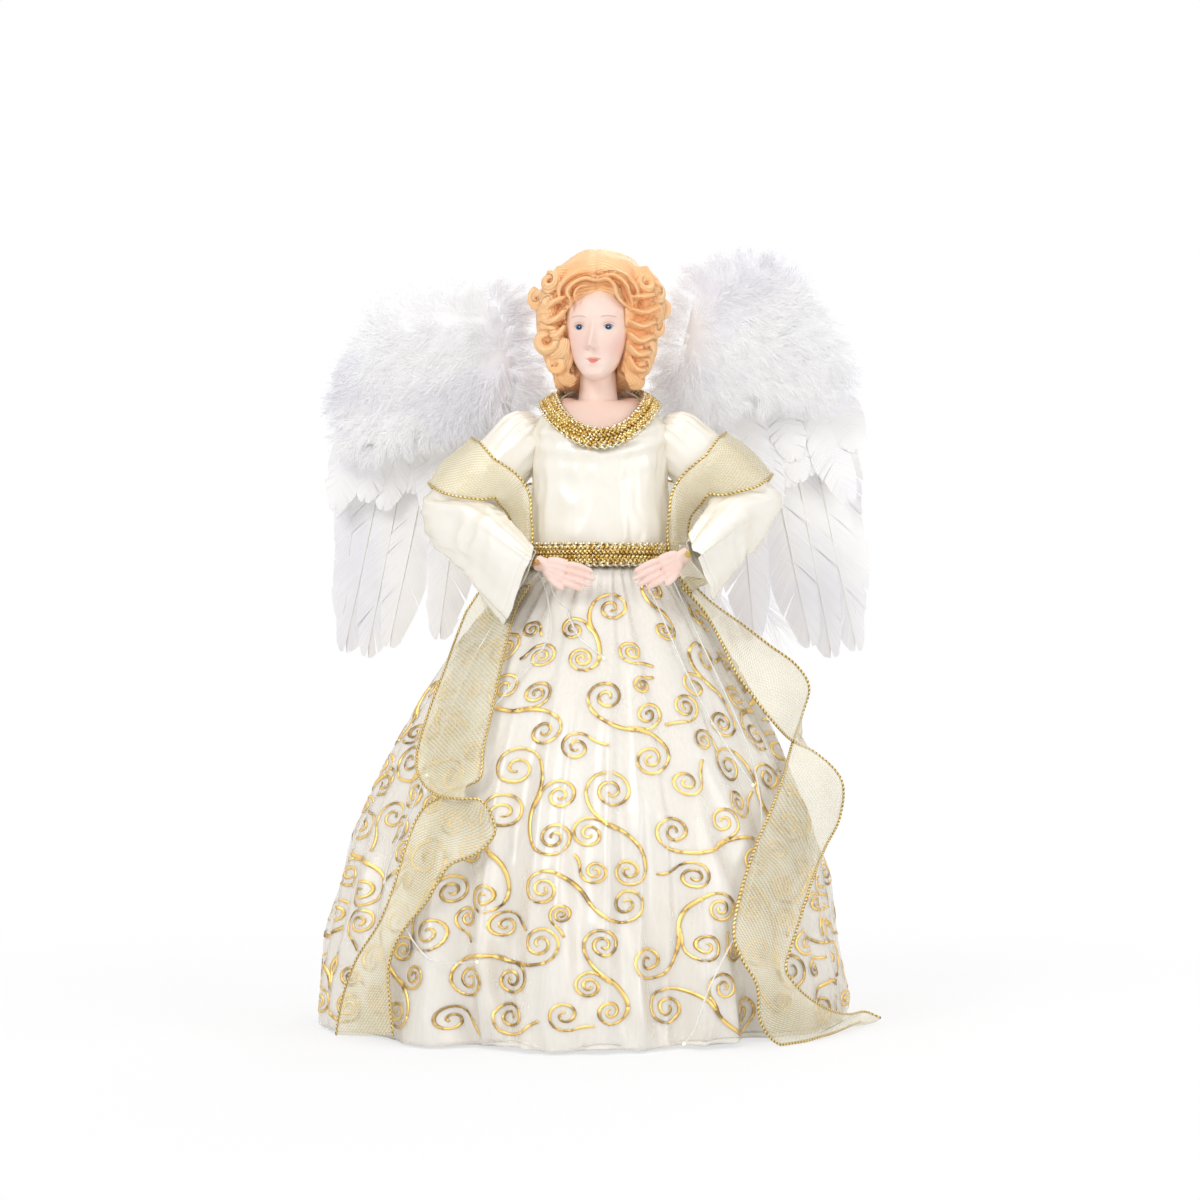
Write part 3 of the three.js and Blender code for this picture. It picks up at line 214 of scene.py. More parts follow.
class Shader:
    """A material with one Principled surface, and short calls for the nodes that feed it."""

    def __init__(self, name, **fixed):
        self.material = bpy.data.materials.new(name)
        self.material.use_nodes = True
        self.tree = self.material.node_tree
        self.tree.nodes.clear()
        self.surface = self.tree.nodes.new("ShaderNodeBsdfPrincipled")
        output = self.tree.nodes.new("ShaderNodeOutputMaterial")
        self.tree.links.new(self.surface.outputs[0], output.inputs[0])
        for key, value in fixed.items():
            self.surface.inputs[key.replace("_", " ")].default_value = value

    def feed(self, socket, value):
        if isinstance(value, Wire):
            self.tree.links.new(value.socket, socket)
        elif hasattr(socket.default_value, "__len__") and len(value) < len(socket.default_value):
            socket.default_value = (*value, 1)
        else:
            socket.default_value = value

    def node(self, kind, settings=None, inputs=None, output=0):
        node = self.tree.nodes.new(kind)
        for key, value in (settings or {}).items():
            setattr(node, key, value)
        for key, value in (inputs or {}).items():
            self.feed(node.inputs[key], value)
        return Wire(self, node.outputs[output])

    def set(self, **values):
        for key, value in values.items():
            self.feed(self.surface.inputs[key.replace("_", " ")], value)
        return self

    def place(self):
        return self.node("ShaderNodeTexCoord", output="Object")

    def uv(self):
        return self.node("ShaderNodeUVMap", {"uv_map": "UVMap"})

    def split(self, vector):
        node = self.tree.nodes.new("ShaderNodeSeparateXYZ")
        self.feed(node.inputs[0], vector)
        return [Wire(self, output) for output in node.outputs]

    def attribute(self, name, output="Fac"):
        return self.node("ShaderNodeAttribute", {"attribute_name": name}, output=output)

    def stretched(self, vector, scale, turn=(0, 0, 0)):
        return self.node("ShaderNodeMapping", None, {"Vector": vector, "Scale": scale, "Rotation": turn})

    def grain(self, vector, scale, detail=2, roughness=0.5):
        inputs = {"Vector": vector, "Scale": scale, "Detail": detail, "Roughness": roughness}
        return self.node("ShaderNodeTexNoise", None, inputs)

    def waves(self, vector, scale, direction="X"):
        settings = {"wave_type": "BANDS", "bands_direction": direction}
        return self.node("ShaderNodeTexWave", settings, {"Vector": vector, "Scale": scale}, output="Fac")

    def mix(self, share, first, second):
        node = self.tree.nodes.new("ShaderNodeMix")
        node.data_type = "RGBA"
        self.feed(node.inputs["Factor"], share)
        colours = [socket for socket in node.inputs if socket.type == "RGBA"]
        self.feed(colours[0], first)
        self.feed(colours[1], second)
        return Wire(self, [socket for socket in node.outputs if socket.type == "RGBA"][0])

    def bumped(self, height, distance, strength=1):
        inputs = {"Height": height, "Distance": distance, "Strength": strength}
        normal = self.node("ShaderNodeBump", None, inputs)
        return self.set(Normal=normal)


def deselect():
    bpy.ops.object.select_all(action="DESELECT")


def choose(piece):
    """Selects one piece alone and makes it active."""
    deselect()
    bpy.context.view_layer.objects.active = piece
    piece.select_set(True)


def smoothstep(low, high, value):
    share = min(max((value - low) / (high - low), 0), 1)
    return share * share * (3 - 2 * share)


def smooth_faces(mesh):
    mesh.polygons.foreach_set("use_smooth", [True] * len(mesh.polygons))


def mesh_piece(name, points, faces, uvs=None):
    """An object from points in millimetres, faces and one UV in metres for each point."""
    mesh = bpy.data.meshes.new(name)
    mesh.from_pydata([tuple(x * MM for x in point) for point in points], [], faces)
    mesh.validate()
    if uvs:
        layer = mesh.uv_layers.new(name="UVMap")
        for loop in mesh.loops:
            layer.data[loop.index].uv = uvs[loop.vertex_index]
    smooth_faces(mesh)
    piece = bpy.data.objects.new(name, mesh)
    bpy.context.scene.collection.objects.link(piece)
    return piece


def grid_faces(across, along, start=0, closed_across=False, closed_along=False):
    """Quads between points numbered start + row * across + column."""
    columns = across if closed_across else across - 1
    rows = along if closed_along else along - 1
    return [
        (start + j * across + i, start + j * across + (i + 1) % across,
         start + ((j + 1) % along) * across + (i + 1) % across, start + ((j + 1) % along) * across + i)
        for j in range(rows) for i in range(columns)]


def capped_rings(around, along, start=0):
    """Quads between closed rings, and a face over each end."""
    last = start + (along - 1) * around
    return [
        *grid_faces(around, along, start, True),
        tuple(start + k for k in reversed(range(around))),
        tuple(last + k for k in range(around))]


def modify(piece, kind, name, **settings):
    """Adds a modifier and applies it."""
    modifier = piece.modifiers.new(name, kind)
    for key, value in settings.items():
        setattr(modifier, key, value)
    choose(piece)
    bpy.ops.object.modifier_apply(modifier=name)
    deselect()
    return piece


def run_together(piece, grain, rounds):
    """Fuses overlapping parts into one skin of this grain, and smooths it."""
    piece.data.remesh_voxel_size = grain
    choose(piece)
    bpy.ops.object.voxel_remesh()
    deselect()
    modify(piece, "SMOOTH", "soften", factor=0.5, iterations=rounds)
    smooth_faces(piece.data)
    return piece


def finish_primitive(name):
    """Names the primitive just added, applies its place to its mesh and smooths it."""
    piece = bpy.context.object
    piece.name = name
    bpy.ops.object.transform_apply(location=True, rotation=True, scale=True)
    bpy.ops.object.shade_smooth()
    deselect()
    return piece


def dress(piece, body, slot, shader, *nodes):
    """Puts a finished piece on its body with its material, and hides the nodes it stands for; the slot is
    not used.
    """
    piece.data.materials.clear()
    piece.data.materials.append(shader.material)
    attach(piece, body)
    if nodes:
        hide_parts(*nodes)
    return piece


def dress_blend(piece, shader, node, bodies, start, end):
    """Gives a piece its material, hides the node it stands for and bakes its place into its mesh; the
    bodies, start and end are not used.
    """
    piece.data.materials.append(shader.material)
    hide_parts(node)
    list(bodies)
    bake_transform(piece)


def turn_outward(piece):
    """Merges doubled points and turns a closed shape's faces outwards."""
    work = bmesh.new()
    work.from_mesh(piece.data)
    bmesh.ops.remove_doubles(work, verts=work.verts, dist=1e-6)
    bmesh.ops.recalc_face_normals(work, faces=work.faces)
    work.to_mesh(piece.data)
    work.free()
    return piece


def between(first, second, start, end, share):
    """The cubic from first to second that leaves at slope start and arrives at slope end."""
    square, cube = share * share, share ** 3
    return (
        first * (2 * cube - 3 * square + 1) + start * (cube - 2 * square + share)
        + second * (3 * square - 2 * cube) + end * (cube - square))


def curve_through(points, count):
    """Points along a centripetal Catmull-Rom curve, evenly spaced in the curve's own parameter."""
    points = [Vector(point) for point in points]
    ends = [2 * points[0] - points[1], *points, 2 * points[-1] - points[-2]]
    result = []
    for k in range(count):
        place = k / (count - 1) * (len(points) - 1)
        i = min(int(place), len(points) - 2)
        share = place - i
        p0, p1, p2, p3 = ends[i:i + 4]
        before, here, after = (
            max((b - a).length ** 0.5, 1e-4) for a, b in ((p0, p1), (p1, p2), (p2, p3)))
        start = ((p1 - p0) / before - (p2 - p0) / (before + here) + (p2 - p1) / here) * here
        end = ((p2 - p1) / here - (p3 - p1) / (here + after) + (p3 - p2) / after) * here
        result.append(between(p1, p2, start, end, share))
    return result


def line_length(points):
    return sum((b - a).length for a, b in zip(points, points[1:]))


def frames_along(points, closed=False):
    """Tangent, side and up at each point, turning as little as possible."""
    count = len(points)
    tangents = []
    for i in range(count):
        before = points[(i - 1) % count] if closed or i else points[i]
        after = points[(i + 1) % count] if closed or i + 1 < count else points[i]
        tangents.append((after - before).normalized())
    up = Vector((0, 0, 1)) if abs(tangents[0].z) < 0.9 else Vector((0, 1, 0))
    result = []
    for tangent in tangents:
        side = tangent.cross(up).normalized()
        up = side.cross(tangent).normalized()
        result.append((tangent, side, up))
    return result


def tube_parts(points, radius, sides, closed=False, start=0):
    """Points, faces and UVs of a round tube; radius is a number or a function of the share along."""
    radius_at = radius if callable(radius) else (lambda share: radius)
    places = []
    uvs = []
    travelled = 0
    frames = frames_along(points, closed)
    for i, (point, (_, side, up)) in enumerate(zip(points, frames)):
        if i:
            travelled += (point - points[i - 1]).length
        size = radius_at(i / max(len(points) - 1, 1))
        for k in range(sides):
            angle = 2 * math.pi * k / sides
            places.append(point + side * (size * math.cos(angle)) + up * (size * math.sin(angle)))
            uvs.append((travelled * MM, k / sides))
    if closed:
        return places, grid_faces(sides, len(points), start, True, True), uvs
    return places, capped_rings(sides, len(points), start), uvs


def tubes_piece(name, lines, radius, sides, closed=False):
    """One piece from several tubes."""
    places = []
    faces = []
    uvs = []
    for line in lines:
        new_places, new_faces, new_uvs = tube_parts(line, radius, sides, closed, len(places))
        places += new_places
        faces += new_faces
        uvs += new_uvs
    return mesh_piece(name, places, faces, uvs)


# Materials


def satin_shader(name, light, shade, roughness=0.3):
    shader = Shader(name, Specular_IOR_Level=0.75)
    place = shader.place()
    cloud = shader.grain(place, 45, 3)
    facing = shader.node("ShaderNodeLayerWeight", None, {"Blend": 0.45}, "Facing")
    warp = shader.waves(shader.stretched(place, (1, 1, 1), (0, 0, 0.4)), 900, "X")
    weft = shader.waves(place, 1100, "Z")
    # Painted sheen and shade: the colour runs from the light tone where the satin faces the camera to the
    # shade tone where it turns away, mixed with a random cloud of tone
    tone = shader.mix(cloud.edge(0.3, 0.7) * 0.35 + 0.65 * (1 - facing.edge(0.25, 0.8)), shade, light)
    shader.set(Base_Color=tone)
    shader.set(Roughness=roughness + 0.08 * cloud)
    return shader.bumped(warp * 0.4 + weft * 0.6 + cloud * 0.4, 0.00002, 0.4)


def organza_shader(name, light, shade, cover):
    shader = Shader(name, Specular_IOR_Level=0.8)
    place = shader.place()
    cloud = shader.grain(place, 40, 2)
    slub = shader.grain(shader.stretched(place, (700, 700, 120)), 1, 2)
    facing = shader.node("ShaderNodeLayerWeight", None, {"Blend": 0.4}, "Facing")
    # Painted sheen and shade: the colour runs from the light tone where the organza faces the camera to the
    # shade tone where it turns away, mixed with a random cloud of tone
    tone = shader.mix(cloud.edge(0.35, 0.65) * 0.3 + 0.7 * (1 - facing.edge(0.2, 0.75)), shade, light)
    shader.set(Base_Color=tone)
    shader.set(Roughness=0.17 + 0.08 * slub)
    shader.set(Alpha=(cover - 0.04 + 0.05 * slub + 0.05 * cloud).held())
    return shader.bumped(slub, 0.00001, 0.3)


def foil_shader(bright, shaded_foil):
    shader = Shader("gold_foil", Specular_IOR_Level=0.6)
    place = shader.place()
    patch = shader.grain(place, 130, 2)
    fleck = shader.grain(place, 900, 2)
    # Painted reflection and shade: random patches turn the foil from its lit colour to a dark brown that
    # stands for foil turned from the light
    tone = (patch + 0.25 * fleck).edge(0.6, 0.78)
    shader.set(Base_Color=shader.mix(tone, bright, shaded_foil))
    shader.set(Metallic=0.72 + 0.2 * patch)
    shader.set(Roughness=0.26 + 0.25 * fleck)
    return shader.bumped(fleck, 0.00003, 0.5)


def ribbon_shader(name, deep, light):
    """Sheer wired ribbon: a fine slanted weave of metallic and matt threads."""
    shader = Shader(name, Specular_IOR_Level=0.5, Sheen_Weight=0.25, Sheen_Roughness=0.3)
    cloth = shader.uv()
    slant = shader.stretched(cloth, (1, 1, 1), (0, 0, 0.62))
    warp = shader.waves(slant, 280, "X")
    weft = shader.waves(cloth, 300, "Y")
    patch = shader.grain(shader.place(), 55, 3)
    fleck = shader.grain(cloth, 1700, 1)
    weave = warp * 0.65 + weft * 0.35
    shade = shader.mix(patch.edge(0.35, 0.65), deep, light)
    # Painted glints: the pale colour where the weave and the flecks run high stands for light caught on the
    # metallic threads
    glint = (0.5 * weave + 0.5 * fleck).edge(0.5, 0.72)
    shader.set(Base_Color=shader.mix(glint, shade, (0.97, 0.94, 0.78)))
    shader.set(Metallic=0.1 * weave)
    shader.set(Roughness=0.34 + 0.2 * fleck)
    shader.set(Alpha=(0.2 + 0.2 * weave + 0.1 * patch).held())
    return shader.bumped(weave, 0.00005, 0.5)


def twisted_wire_shader():
    """The ribbon's wired edge: a gold twist, darker in its grooves partly for its darker thread and partly
    as painted shade, with a small painted highlight on the crest of each turn.
    """
    shader = Shader("twisted_gold_edge", Specular_IOR_Level=0.6)
    along, around, _ = shader.split(shader.uv())
    spiral = (along * 600 + around).maths("FRACT")
    # Darker bands in the grooves of the twist: partly a darker thread, partly painted shade
    dark_twist_and_groove_shade = abs(spiral - 0.5).edge(0.31, 0.4)
    # Painted highlight: a small bright spot, the bead, on the crest of each turn
    bead = 1 - abs(spiral - 0.5).edge(0.05, 0.15)
    fleck = shader.grain(shader.place(), 1400, 1)
    gold = shader.mix(fleck.edge(0.45, 0.62), (0.60, 0.40, 0.08), (0.84, 0.62, 0.20))
    gold = shader.mix(bead * 0.6, gold, (1.0, 0.95, 0.78))
    shader.set(Base_Color=shader.mix(dark_twist_and_groove_shade * 0.85, gold, (0.16, 0.10, 0.03)))
    shader.set(Metallic=0.8 - 0.3 * dark_twist_and_groove_shade - 0.3 * bead)
    shader.set(Roughness=0.25 + 0.2 * fleck)
    return shader.bumped(dark_twist_and_groove_shade * -1, 0.0002, 0.7)


def braid_shader(name, first, second, glint):
    """Metallic thread: twisted strands with painted shade in the grooves and painted silver-white glints."""
    shader = Shader(name, Specular_IOR_Level=0.6)
    along, around, _ = shader.split(shader.uv())
    spiral = (along * 1100 + around).maths("FRACT")
    groove = abs(spiral - 0.5).edge(0.26, 0.46)
    fleck = shader.grain(shader.place(), 900, 1)
    patch = shader.grain(shader.place(), 220, 2)
    gold = shader.mix(patch.edge(0.4, 0.6), first, second)
    # Painted glints: random flecks turn near white
    bright = shader.mix(fleck.edge(0.62 - glint, 0.7 - glint), gold, (1.0, 0.97, 0.86))
    # Painted shade: the grooves between the strands are darkened
    shader.set(Base_Color=shader.mix(groove * 0.7, bright, (0.26, 0.15, 0.035)))
    shader.set(Metallic=0.82 - 0.4 * groove)
    shader.set(Roughness=0.2 + 0.25 * fleck)
    return shader.bumped(groove * -1, 0.00025, 0.8)


def plain_shader(name, colour, roughness, metallic=0.0, grain=600, depth=0.00002, **fixed):
    """A moulded, drawn or lacquered finish with a fine grain."""
    shader = Shader(name, Metallic=metallic, **fixed)
    place = shader.place()
    fine = shader.grain(place, grain, 3)
    cloud = shader.grain(place, grain / 15, 2)
    darker = tuple(0.86 * part for part in colour)
    shader.set(Base_Color=shader.mix(cloud.edge(0.3, 0.7), darker, colour))
    shader.set(Roughness=roughness - 0.05 + 0.1 * fine)
    return shader.bumped(fine, depth, 0.5)


# Skirt


def fold_height(turn):
    return sum(
        share * math.cos(count * turn + phase * 2 * math.pi) for count, share, phase in FOLD_WAVE_SHARES)


def skirt_size(slope, rise):
    """Half width and half depth of the skirt at a slope of its bell, raised outwards by rise."""
    flare = slope ** BELL_SHARE
    return (
        WAIST_HALF_WIDTH + flare * (HEM_HALF_WIDTH - WAIST_HALF_WIDTH) + rise,
        WAIST_HALF_DEPTH + flare * (HEM_HALF_DEPTH - WAIST_HALF_DEPTH) + rise)


def skirt_point(turn, drop, offset, fold=None):
    """A point of the skirt: turn from the front towards +X, drop 0 at the waist and 1 at the hem."""
    slope = math.sin(drop * math.pi / 2)
    height = fold_height(turn) if fold is None else fold
    half_width, half_depth = skirt_size(slope, FOLD_DEPTH * drop * height + offset)
    return Vector((
        HEM_SWING * math.sqrt(slope) + half_width * math.sin(turn), -half_depth * math.cos(turn),
        SKIRT_HEIGHT - drop * (SKIRT_HEIGHT - HEM_CLEARANCE)))


def ring_noise(across, along, scale, height):
    """Noise that closes round a ring; across and along are the sine and cosine of the turn."""
    return noise.noise(Vector((scale * across, scale * along, height)))


def cloth_fold(turn, drop):
    """Fold height with the cloth's loose folds: at most 1, the crest that the strands lie on."""
    slant = turn - 0.42 * (drop - 0.4)
    upright, leaning = (math.sin(turn), math.cos(turn)), (math.sin(slant), math.cos(slant))
    wide = ring_noise(*upright, 2.4, 0.8 * drop)
    pleat = ring_noise(*upright, 6.2, 4 + 0.7 * drop)
    drape = ring_noise(*leaning, 3.4, 9 + 2.4 * drop)
    crease = ring_noise(*leaning, 6.5, 15 + 3.4 * drop)
    ridge = 1 - 2.6 * abs(drape)
    fold = 1 - 3.2 * abs(pleat)
    loose = fold_height(turn) + 1.1 * wide
    loose = loose + 1.3 * (fold - 0.5) * (1.1 - 0.6 * drop) + 1.1 * (ridge - 0.6)
    loose += 0.8 * (0.5 - 2 * abs(crease)) * smoothstep(0.3, 0.8, drop)
    return 1 - 1.35 * math.log1p(math.exp(2.2 * (1 - loose))) / 2.2


def gather(turn, drop):
    """Tucks where the cloth is gathered into the waist seam, in millimetres, all of them inwards."""
    phase = 2.5 * ring_noise(math.sin(turn), math.cos(turn), 4, 1)
    small = 0.4 * (math.cos(44 * turn + phase) - 1) * (1 - smoothstep(0.02, 0.3, drop))
    broad = 0.75 * (math.cos(17 * turn + 2 * phase) - 1) * smoothstep(0.0, 0.1, drop)
    broad *= 1 - smoothstep(0.2, 0.75, drop)
    return small + broad


def cloth_point(turn, drop, offset):
    return skirt_point(turn, drop, offset + gather(turn, drop), cloth_fold(turn, drop))


def skirt_layer(name, offset, wall, hem_rise):
    """One layer of the skirt, as a sheet with a wall."""
    around, down = SKIRT_GRID
    points = []
    uvs = []
    for j in range(down):
        drop = j / (down - 1)
        for i in range(around):
            turn = 2 * math.pi * i / around
            lift = hem_rise * (0.5 + 0.5 * math.sin(9 * turn + 3 * math.sin(4 * turn)))
            point = cloth_point(turn, drop, offset)
            point.z = max(point.z, HEM_CLEARANCE + lift * smoothstep(0.93, 1, drop))
            points.append(point)
            uvs.append((turn * SKIRT_MEAN_RADIUS, drop * SKIRT_DRAWN_LENGTH))
    piece = mesh_piece(name, points, grid_faces(around, down, 0, True), uvs)
    return modify(piece, "SOLIDIFY", "wall", thickness=wall * MM, offset=0)


SCROLL_SEED = 11
SCROLL_LIFT = 0.3
SCROLL_WALL = 0.08


class Vine:
    """Lays scrolls over the skirt: forked stems that end in spirals, kept clear of each other."""

    STEP = 1.5
    CELL = 6.0
    GAP = 2.6
    CURL_POINTS = 29
    # Length of the cloth from waist to hem, and how far its crests stand out
    CLOTH_LENGTH = 205
    CREST = 3
    # Kind of motif, its size in millimetres and how often it is tried
    PLANS = [
        ("branch", 9.2, 1500), ("fork", 9.0, 1500), ("branch", 7.8, 1500), ("fork", 7.4, 1500),
        ("pair", 8.4, 900), ("pair", 6.8, 900), ("single", 8.0, 900), ("single", 6.8, 1200),
        ("single", 5.6, 1200),
    ]

    def __init__(self, seed):
        self.random = random.Random(seed)
        self.taken = {}
        self.lines = []

    def on_skirt(self, anchor, x, y):
        """Turn and drop of a place x across and y up, in millimetres, from an anchor on the skirt."""
        turn, drop = anchor
        drop = drop - y / self.CLOTH_LENGTH
        _, radius = skirt_size(math.sin(min(max(drop, 0.03), 1) * math.pi / 2), self.CREST)
        return turn + x / radius, drop

    def walk(self, start, heading, runs):
        """A line from start through runs of (length, bend in radians), its end and its heading there."""
        place = start
        line = [place]
        for length, bend in runs:
            steps = max(int(length / self.STEP), 2)
            for _ in range(steps):
                heading += bend / steps
                place = (
                    place[0] + length / steps * math.cos(heading),
                    place[1] + length / steps * math.sin(heading))
                line.append(place)
        return line, place, heading

    def curl(self, start, heading, hand, radius):
        """A spiral that leaves start along heading and winds in to one side."""
        normal = heading + hand * math.pi / 2
        centre = (start[0] + radius * math.cos(normal), start[1] + radius * math.sin(normal))
        turns = self.random.uniform(1.6, 2.0)
        line = []
        for k in range(self.CURL_POINTS):
            share = k / (self.CURL_POINTS - 1)
            size = radius * (1 - 0.87 * share ** 0.85)
            angle = normal + math.pi + hand * turns * 2 * math.pi * share
            line.append((centre[0] + size * math.cos(angle), centre[1] + size * math.sin(angle)))
        return line

    def motif(self, kind, heading, hand, size):
        """Lines of one motif, each with its weight, about a stem through the anchor."""
        pick = self.random.uniform
        if kind == "single":
            line, end, way = self.walk((0, 0), heading, [(size * pick(0.9, 1.5), -hand * pick(0.4, 0.9))])
            return [(line, 0.85), (self.curl(end, way, hand, size * pick(0.8, 1.0)), 0.8)]
        stem, end, way = self.walk(
            (0, 0), heading, [(2.1 * size, -hand * pick(0.6, 1.0)), (1.9 * size, hand * pick(0.7, 1.2))])
        parts = [(stem, 1.15), (self.curl(end, way, hand, size * pick(0.9, 1.08)), 0.85)]
        back, tail, back_way = self.walk((0, 0), heading + math.pi, [(0.7 * size, hand * pick(0.3, 0.7))])
        parts += [(back, 1.05), (self.curl(tail, back_way, hand, size * pick(0.75, 0.95)), 0.85)]
        if kind == "pair":
            return parts
        forks = [(0.42, -hand, 0.8)] if kind == "fork" else [(0.3, -hand, 0.85), (0.72, hand, 0.6)]
        for share, side, scale in forks:
            k = int(share * (len(stem) - 1))
            a, b = stem[k], stem[k + 1]
            aim = math.atan2(b[1] - a[1], b[0] - a[0]) + side * 0.35
            branch, end, way = self.walk(a, aim, [(1.2 * size * scale, -side * pick(0.1, 0.5))])
            parts += [(branch, 1.0), (self.curl(end, way, side, size * scale), 0.85)]
        return parts

    def loose(self, parts):
        """Whether the motif's own spirals and stems keep clear of each other."""
        discs = []
        for line, _ in parts[1::2]:
            middle = line[-1]
            reach = max(math.dist(middle, place) for place in line)
            discs.append((middle, reach))
        for k, (middle, reach) in enumerate(discs):
            for other, size in discs[k + 1:]:
                if math.dist(middle, other) < 0.86 * (reach + size) + 1:
                    return False
            for index, (line, _) in enumerate(parts[0::2]):
                if index != k and any(math.dist(middle, place) < reach - 1 for place in line[2:-2]):
                    return False
        return True

    def key(self, point):
        return tuple(int(value // self.CELL) for value in point)

    def spots(self, anchor, parts):
        """Every second place of the motif on the skirt, or nothing where it would run off the cloth."""
        spots = []
        for line, _ in parts:
            for x, y in line[::2]:
                turn, drop = self.on_skirt(anchor, x, y)
                if not 0.02 < drop < 0.985:
                    return None
                spots.append(skirt_point(turn, drop, 0))
        return spots

    def clear(self, spots):
        """Whether every spot keeps the gap to what is already laid."""
        for spot in spots:
            a, b, c = self.key(spot)
            for i, j, k in itertools.product((-1, 0, 1), repeat=3):
                for other in self.taken.get((a + i, b + j, c + k), ()):
                    if (other - spot).length < self.GAP:
                        return False
        return True

    def grow(self):
        """Tries motifs of falling size all over the skirt, and keeps those that find room."""
        for kind, size, tries in self.PLANS:
            for _ in range(tries):
                drop = math.sqrt(self.random.uniform(0.01, 1))
                anchor = (self.random.uniform(0, 2 * math.pi), drop)
                heading = self.random.uniform(0, 2 * math.pi)
                narrow = size * (0.72 + 0.28 * smoothstep(0.1, 0.5, drop))
                parts = self.motif(kind, heading, self.random.choice((-1, 1)), narrow)
                spots = self.spots(anchor, parts) if self.loose(parts) else None
                if spots is None or not self.clear(spots):
                    continue
                for spot in spots:
                    self.taken.setdefault(self.key(spot), []).append(spot)
                self.lines += [(anchor, line, weight) for line, weight in parts]
        return self


def foil_scrolls(vine, half_width):
    """Gold foil strips that lie on the overlay along every line of the vine."""
    points = []
    faces = []
    for anchor, line, weight in vine.lines:
        count = len(line)
        start = len(points)
        for k, (x, y) in enumerate(line):
            before = line[max(k - 1, 0)]
            after = line[min(k + 1, count - 1)]
            along = Vector((after[0] - before[0], after[1] - before[1]))
            along.normalize()
            taper = 0.7 + 0.3 * math.sin(math.pi * (0.2 + 0.8 * k / max(count - 1, 1)))
            half = half_width * weight * taper
            for side in (-1, 1):
                turn, drop = vine.on_skirt(anchor, x - along.y * side * half, y + along.x * side * half)
                drop = min(max(drop, 0.004), 0.985)
                points.append(cloth_point(turn, drop, OVERLAY_OFFSET + SCROLL_LIFT))
        faces += grid_faces(2, count, start)
    piece = mesh_piece("skirt_foil_scrolls", points, faces)
    return modify(piece, "SOLIDIFY", "wall", thickness=SCROLL_WALL * MM, offset=0)


# Torso and bodice


def torso_size(share):
    """Half width and half depth of the dressed torso at a share of its height."""
    above = next((k for k, row in enumerate(TORSO_PROFILE_SHARES) if row[0] >= share and k), 1)
    low, high = TORSO_PROFILE_SHARES[above - 1], TORSO_PROFILE_SHARES[above]
    mix = (share - low[0]) / (high[0] - low[0])
    wide, deep = (low[k] + mix * (high[k] - low[k]) for k in (1, 2))
    return CHEST_HALF_WIDTH * wide + SATIN_WALL, CHEST_HALF_DEPTH * deep + SATIN_WALL


# Height as a share of the torso's, depth in millimetres and width as a share, from the neck down
BODICE_SWAGS = [(0.82, 1.7, 0.028), (0.735, 1.9, 0.03), (0.645, 1.2, 0.034), (0.54, 0.5, 0.045)]
NECKLINE_TILT = math.radians(41)
BODICE_GRID = (200, 90)
BODICE_WALL = 0.5
BODICE_DEEPEST = 0.35


def bodice_folds(turn, share):
    """Soft folds of the bodice, in millimetres: swags under the neck and pulls up from the waist."""
    front = max(math.cos(turn), 0)
    swag = 0
    sway = 0.035 * math.sin(2.2 * turn + 0.6)
    for centre, depth, width in BODICE_SWAGS:
        dip = centre - 0.12 * front ** 2 + 0.06 + sway
        swag += depth * math.exp(-((share - dip) / width) ** 2) * front ** 0.7
    pull = ring_noise(math.sin(turn), math.cos(turn), 5.5, 2.2 * share)
    under = ring_noise(math.sin(turn), math.cos(turn), 3.2, 6 + 5.5 * share)
    tuck = 0.35 * math.cos(38 * turn + 4 * pull) * (1 - smoothstep(0.0, 0.2, share))
    return swag + 0.8 * pull * (1 - 0.5 * share) + 0.5 * (0.4 - 2 * abs(under)) + tuck


def bodice_piece():
    """The bodice: a shell round the torso, open along the tilted neckline."""
    around, up = BODICE_GRID
    points = []
    for j in range(up):
        share = 0.004 + 0.975 * j / (up - 1)
        half_width, half_depth = torso_size(share)
        for i in range(around):
            turn = 2 * math.pi * i / around
            fold = max(bodice_folds(turn, share), -BODICE_DEEPEST)
            points.append((
                (half_width + fold) * math.sin(turn), -(half_depth + fold) * math.cos(turn),
                SKIRT_HEIGHT + share * TORSO_HEIGHT))
    piece = mesh_piece("bodice_satin", points, grid_faces(around, up, 0, True))
    work = bmesh.new()
    work.from_mesh(piece.data)
    bmesh.ops.bisect_plane(
        work, geom=[*work.verts, *work.edges, *work.faces],
        plane_co=(0, 0, (SKIRT_HEIGHT + TORSO_HEIGHT - 4) * MM),
        plane_no=(0, -math.sin(NECKLINE_TILT), math.cos(NECKLINE_TILT)), clear_outer=True)
    work.to_mesh(piece.data)
    work.free()
    return modify(piece, "SOLIDIFY", "wall", thickness=BODICE_WALL * MM, offset=0)


# Arms and sleeves


def arm_points(arm):
    """Shoulder, elbow and wrist, in millimetres."""
    side = arm["side"]
    shoulder = Vector((side * SHOULDER[0], SHOULDER[1], SHOULDER[2]))
    elbow = shoulder + Vector((side * arm["elbow"][0], 0, -arm["elbow"][1]))
    wrist = elbow + Vector((-side * arm["wrist"][0], -arm["wrist"][1], -arm["wrist"][2]))
    return shoulder, elbow, wrist


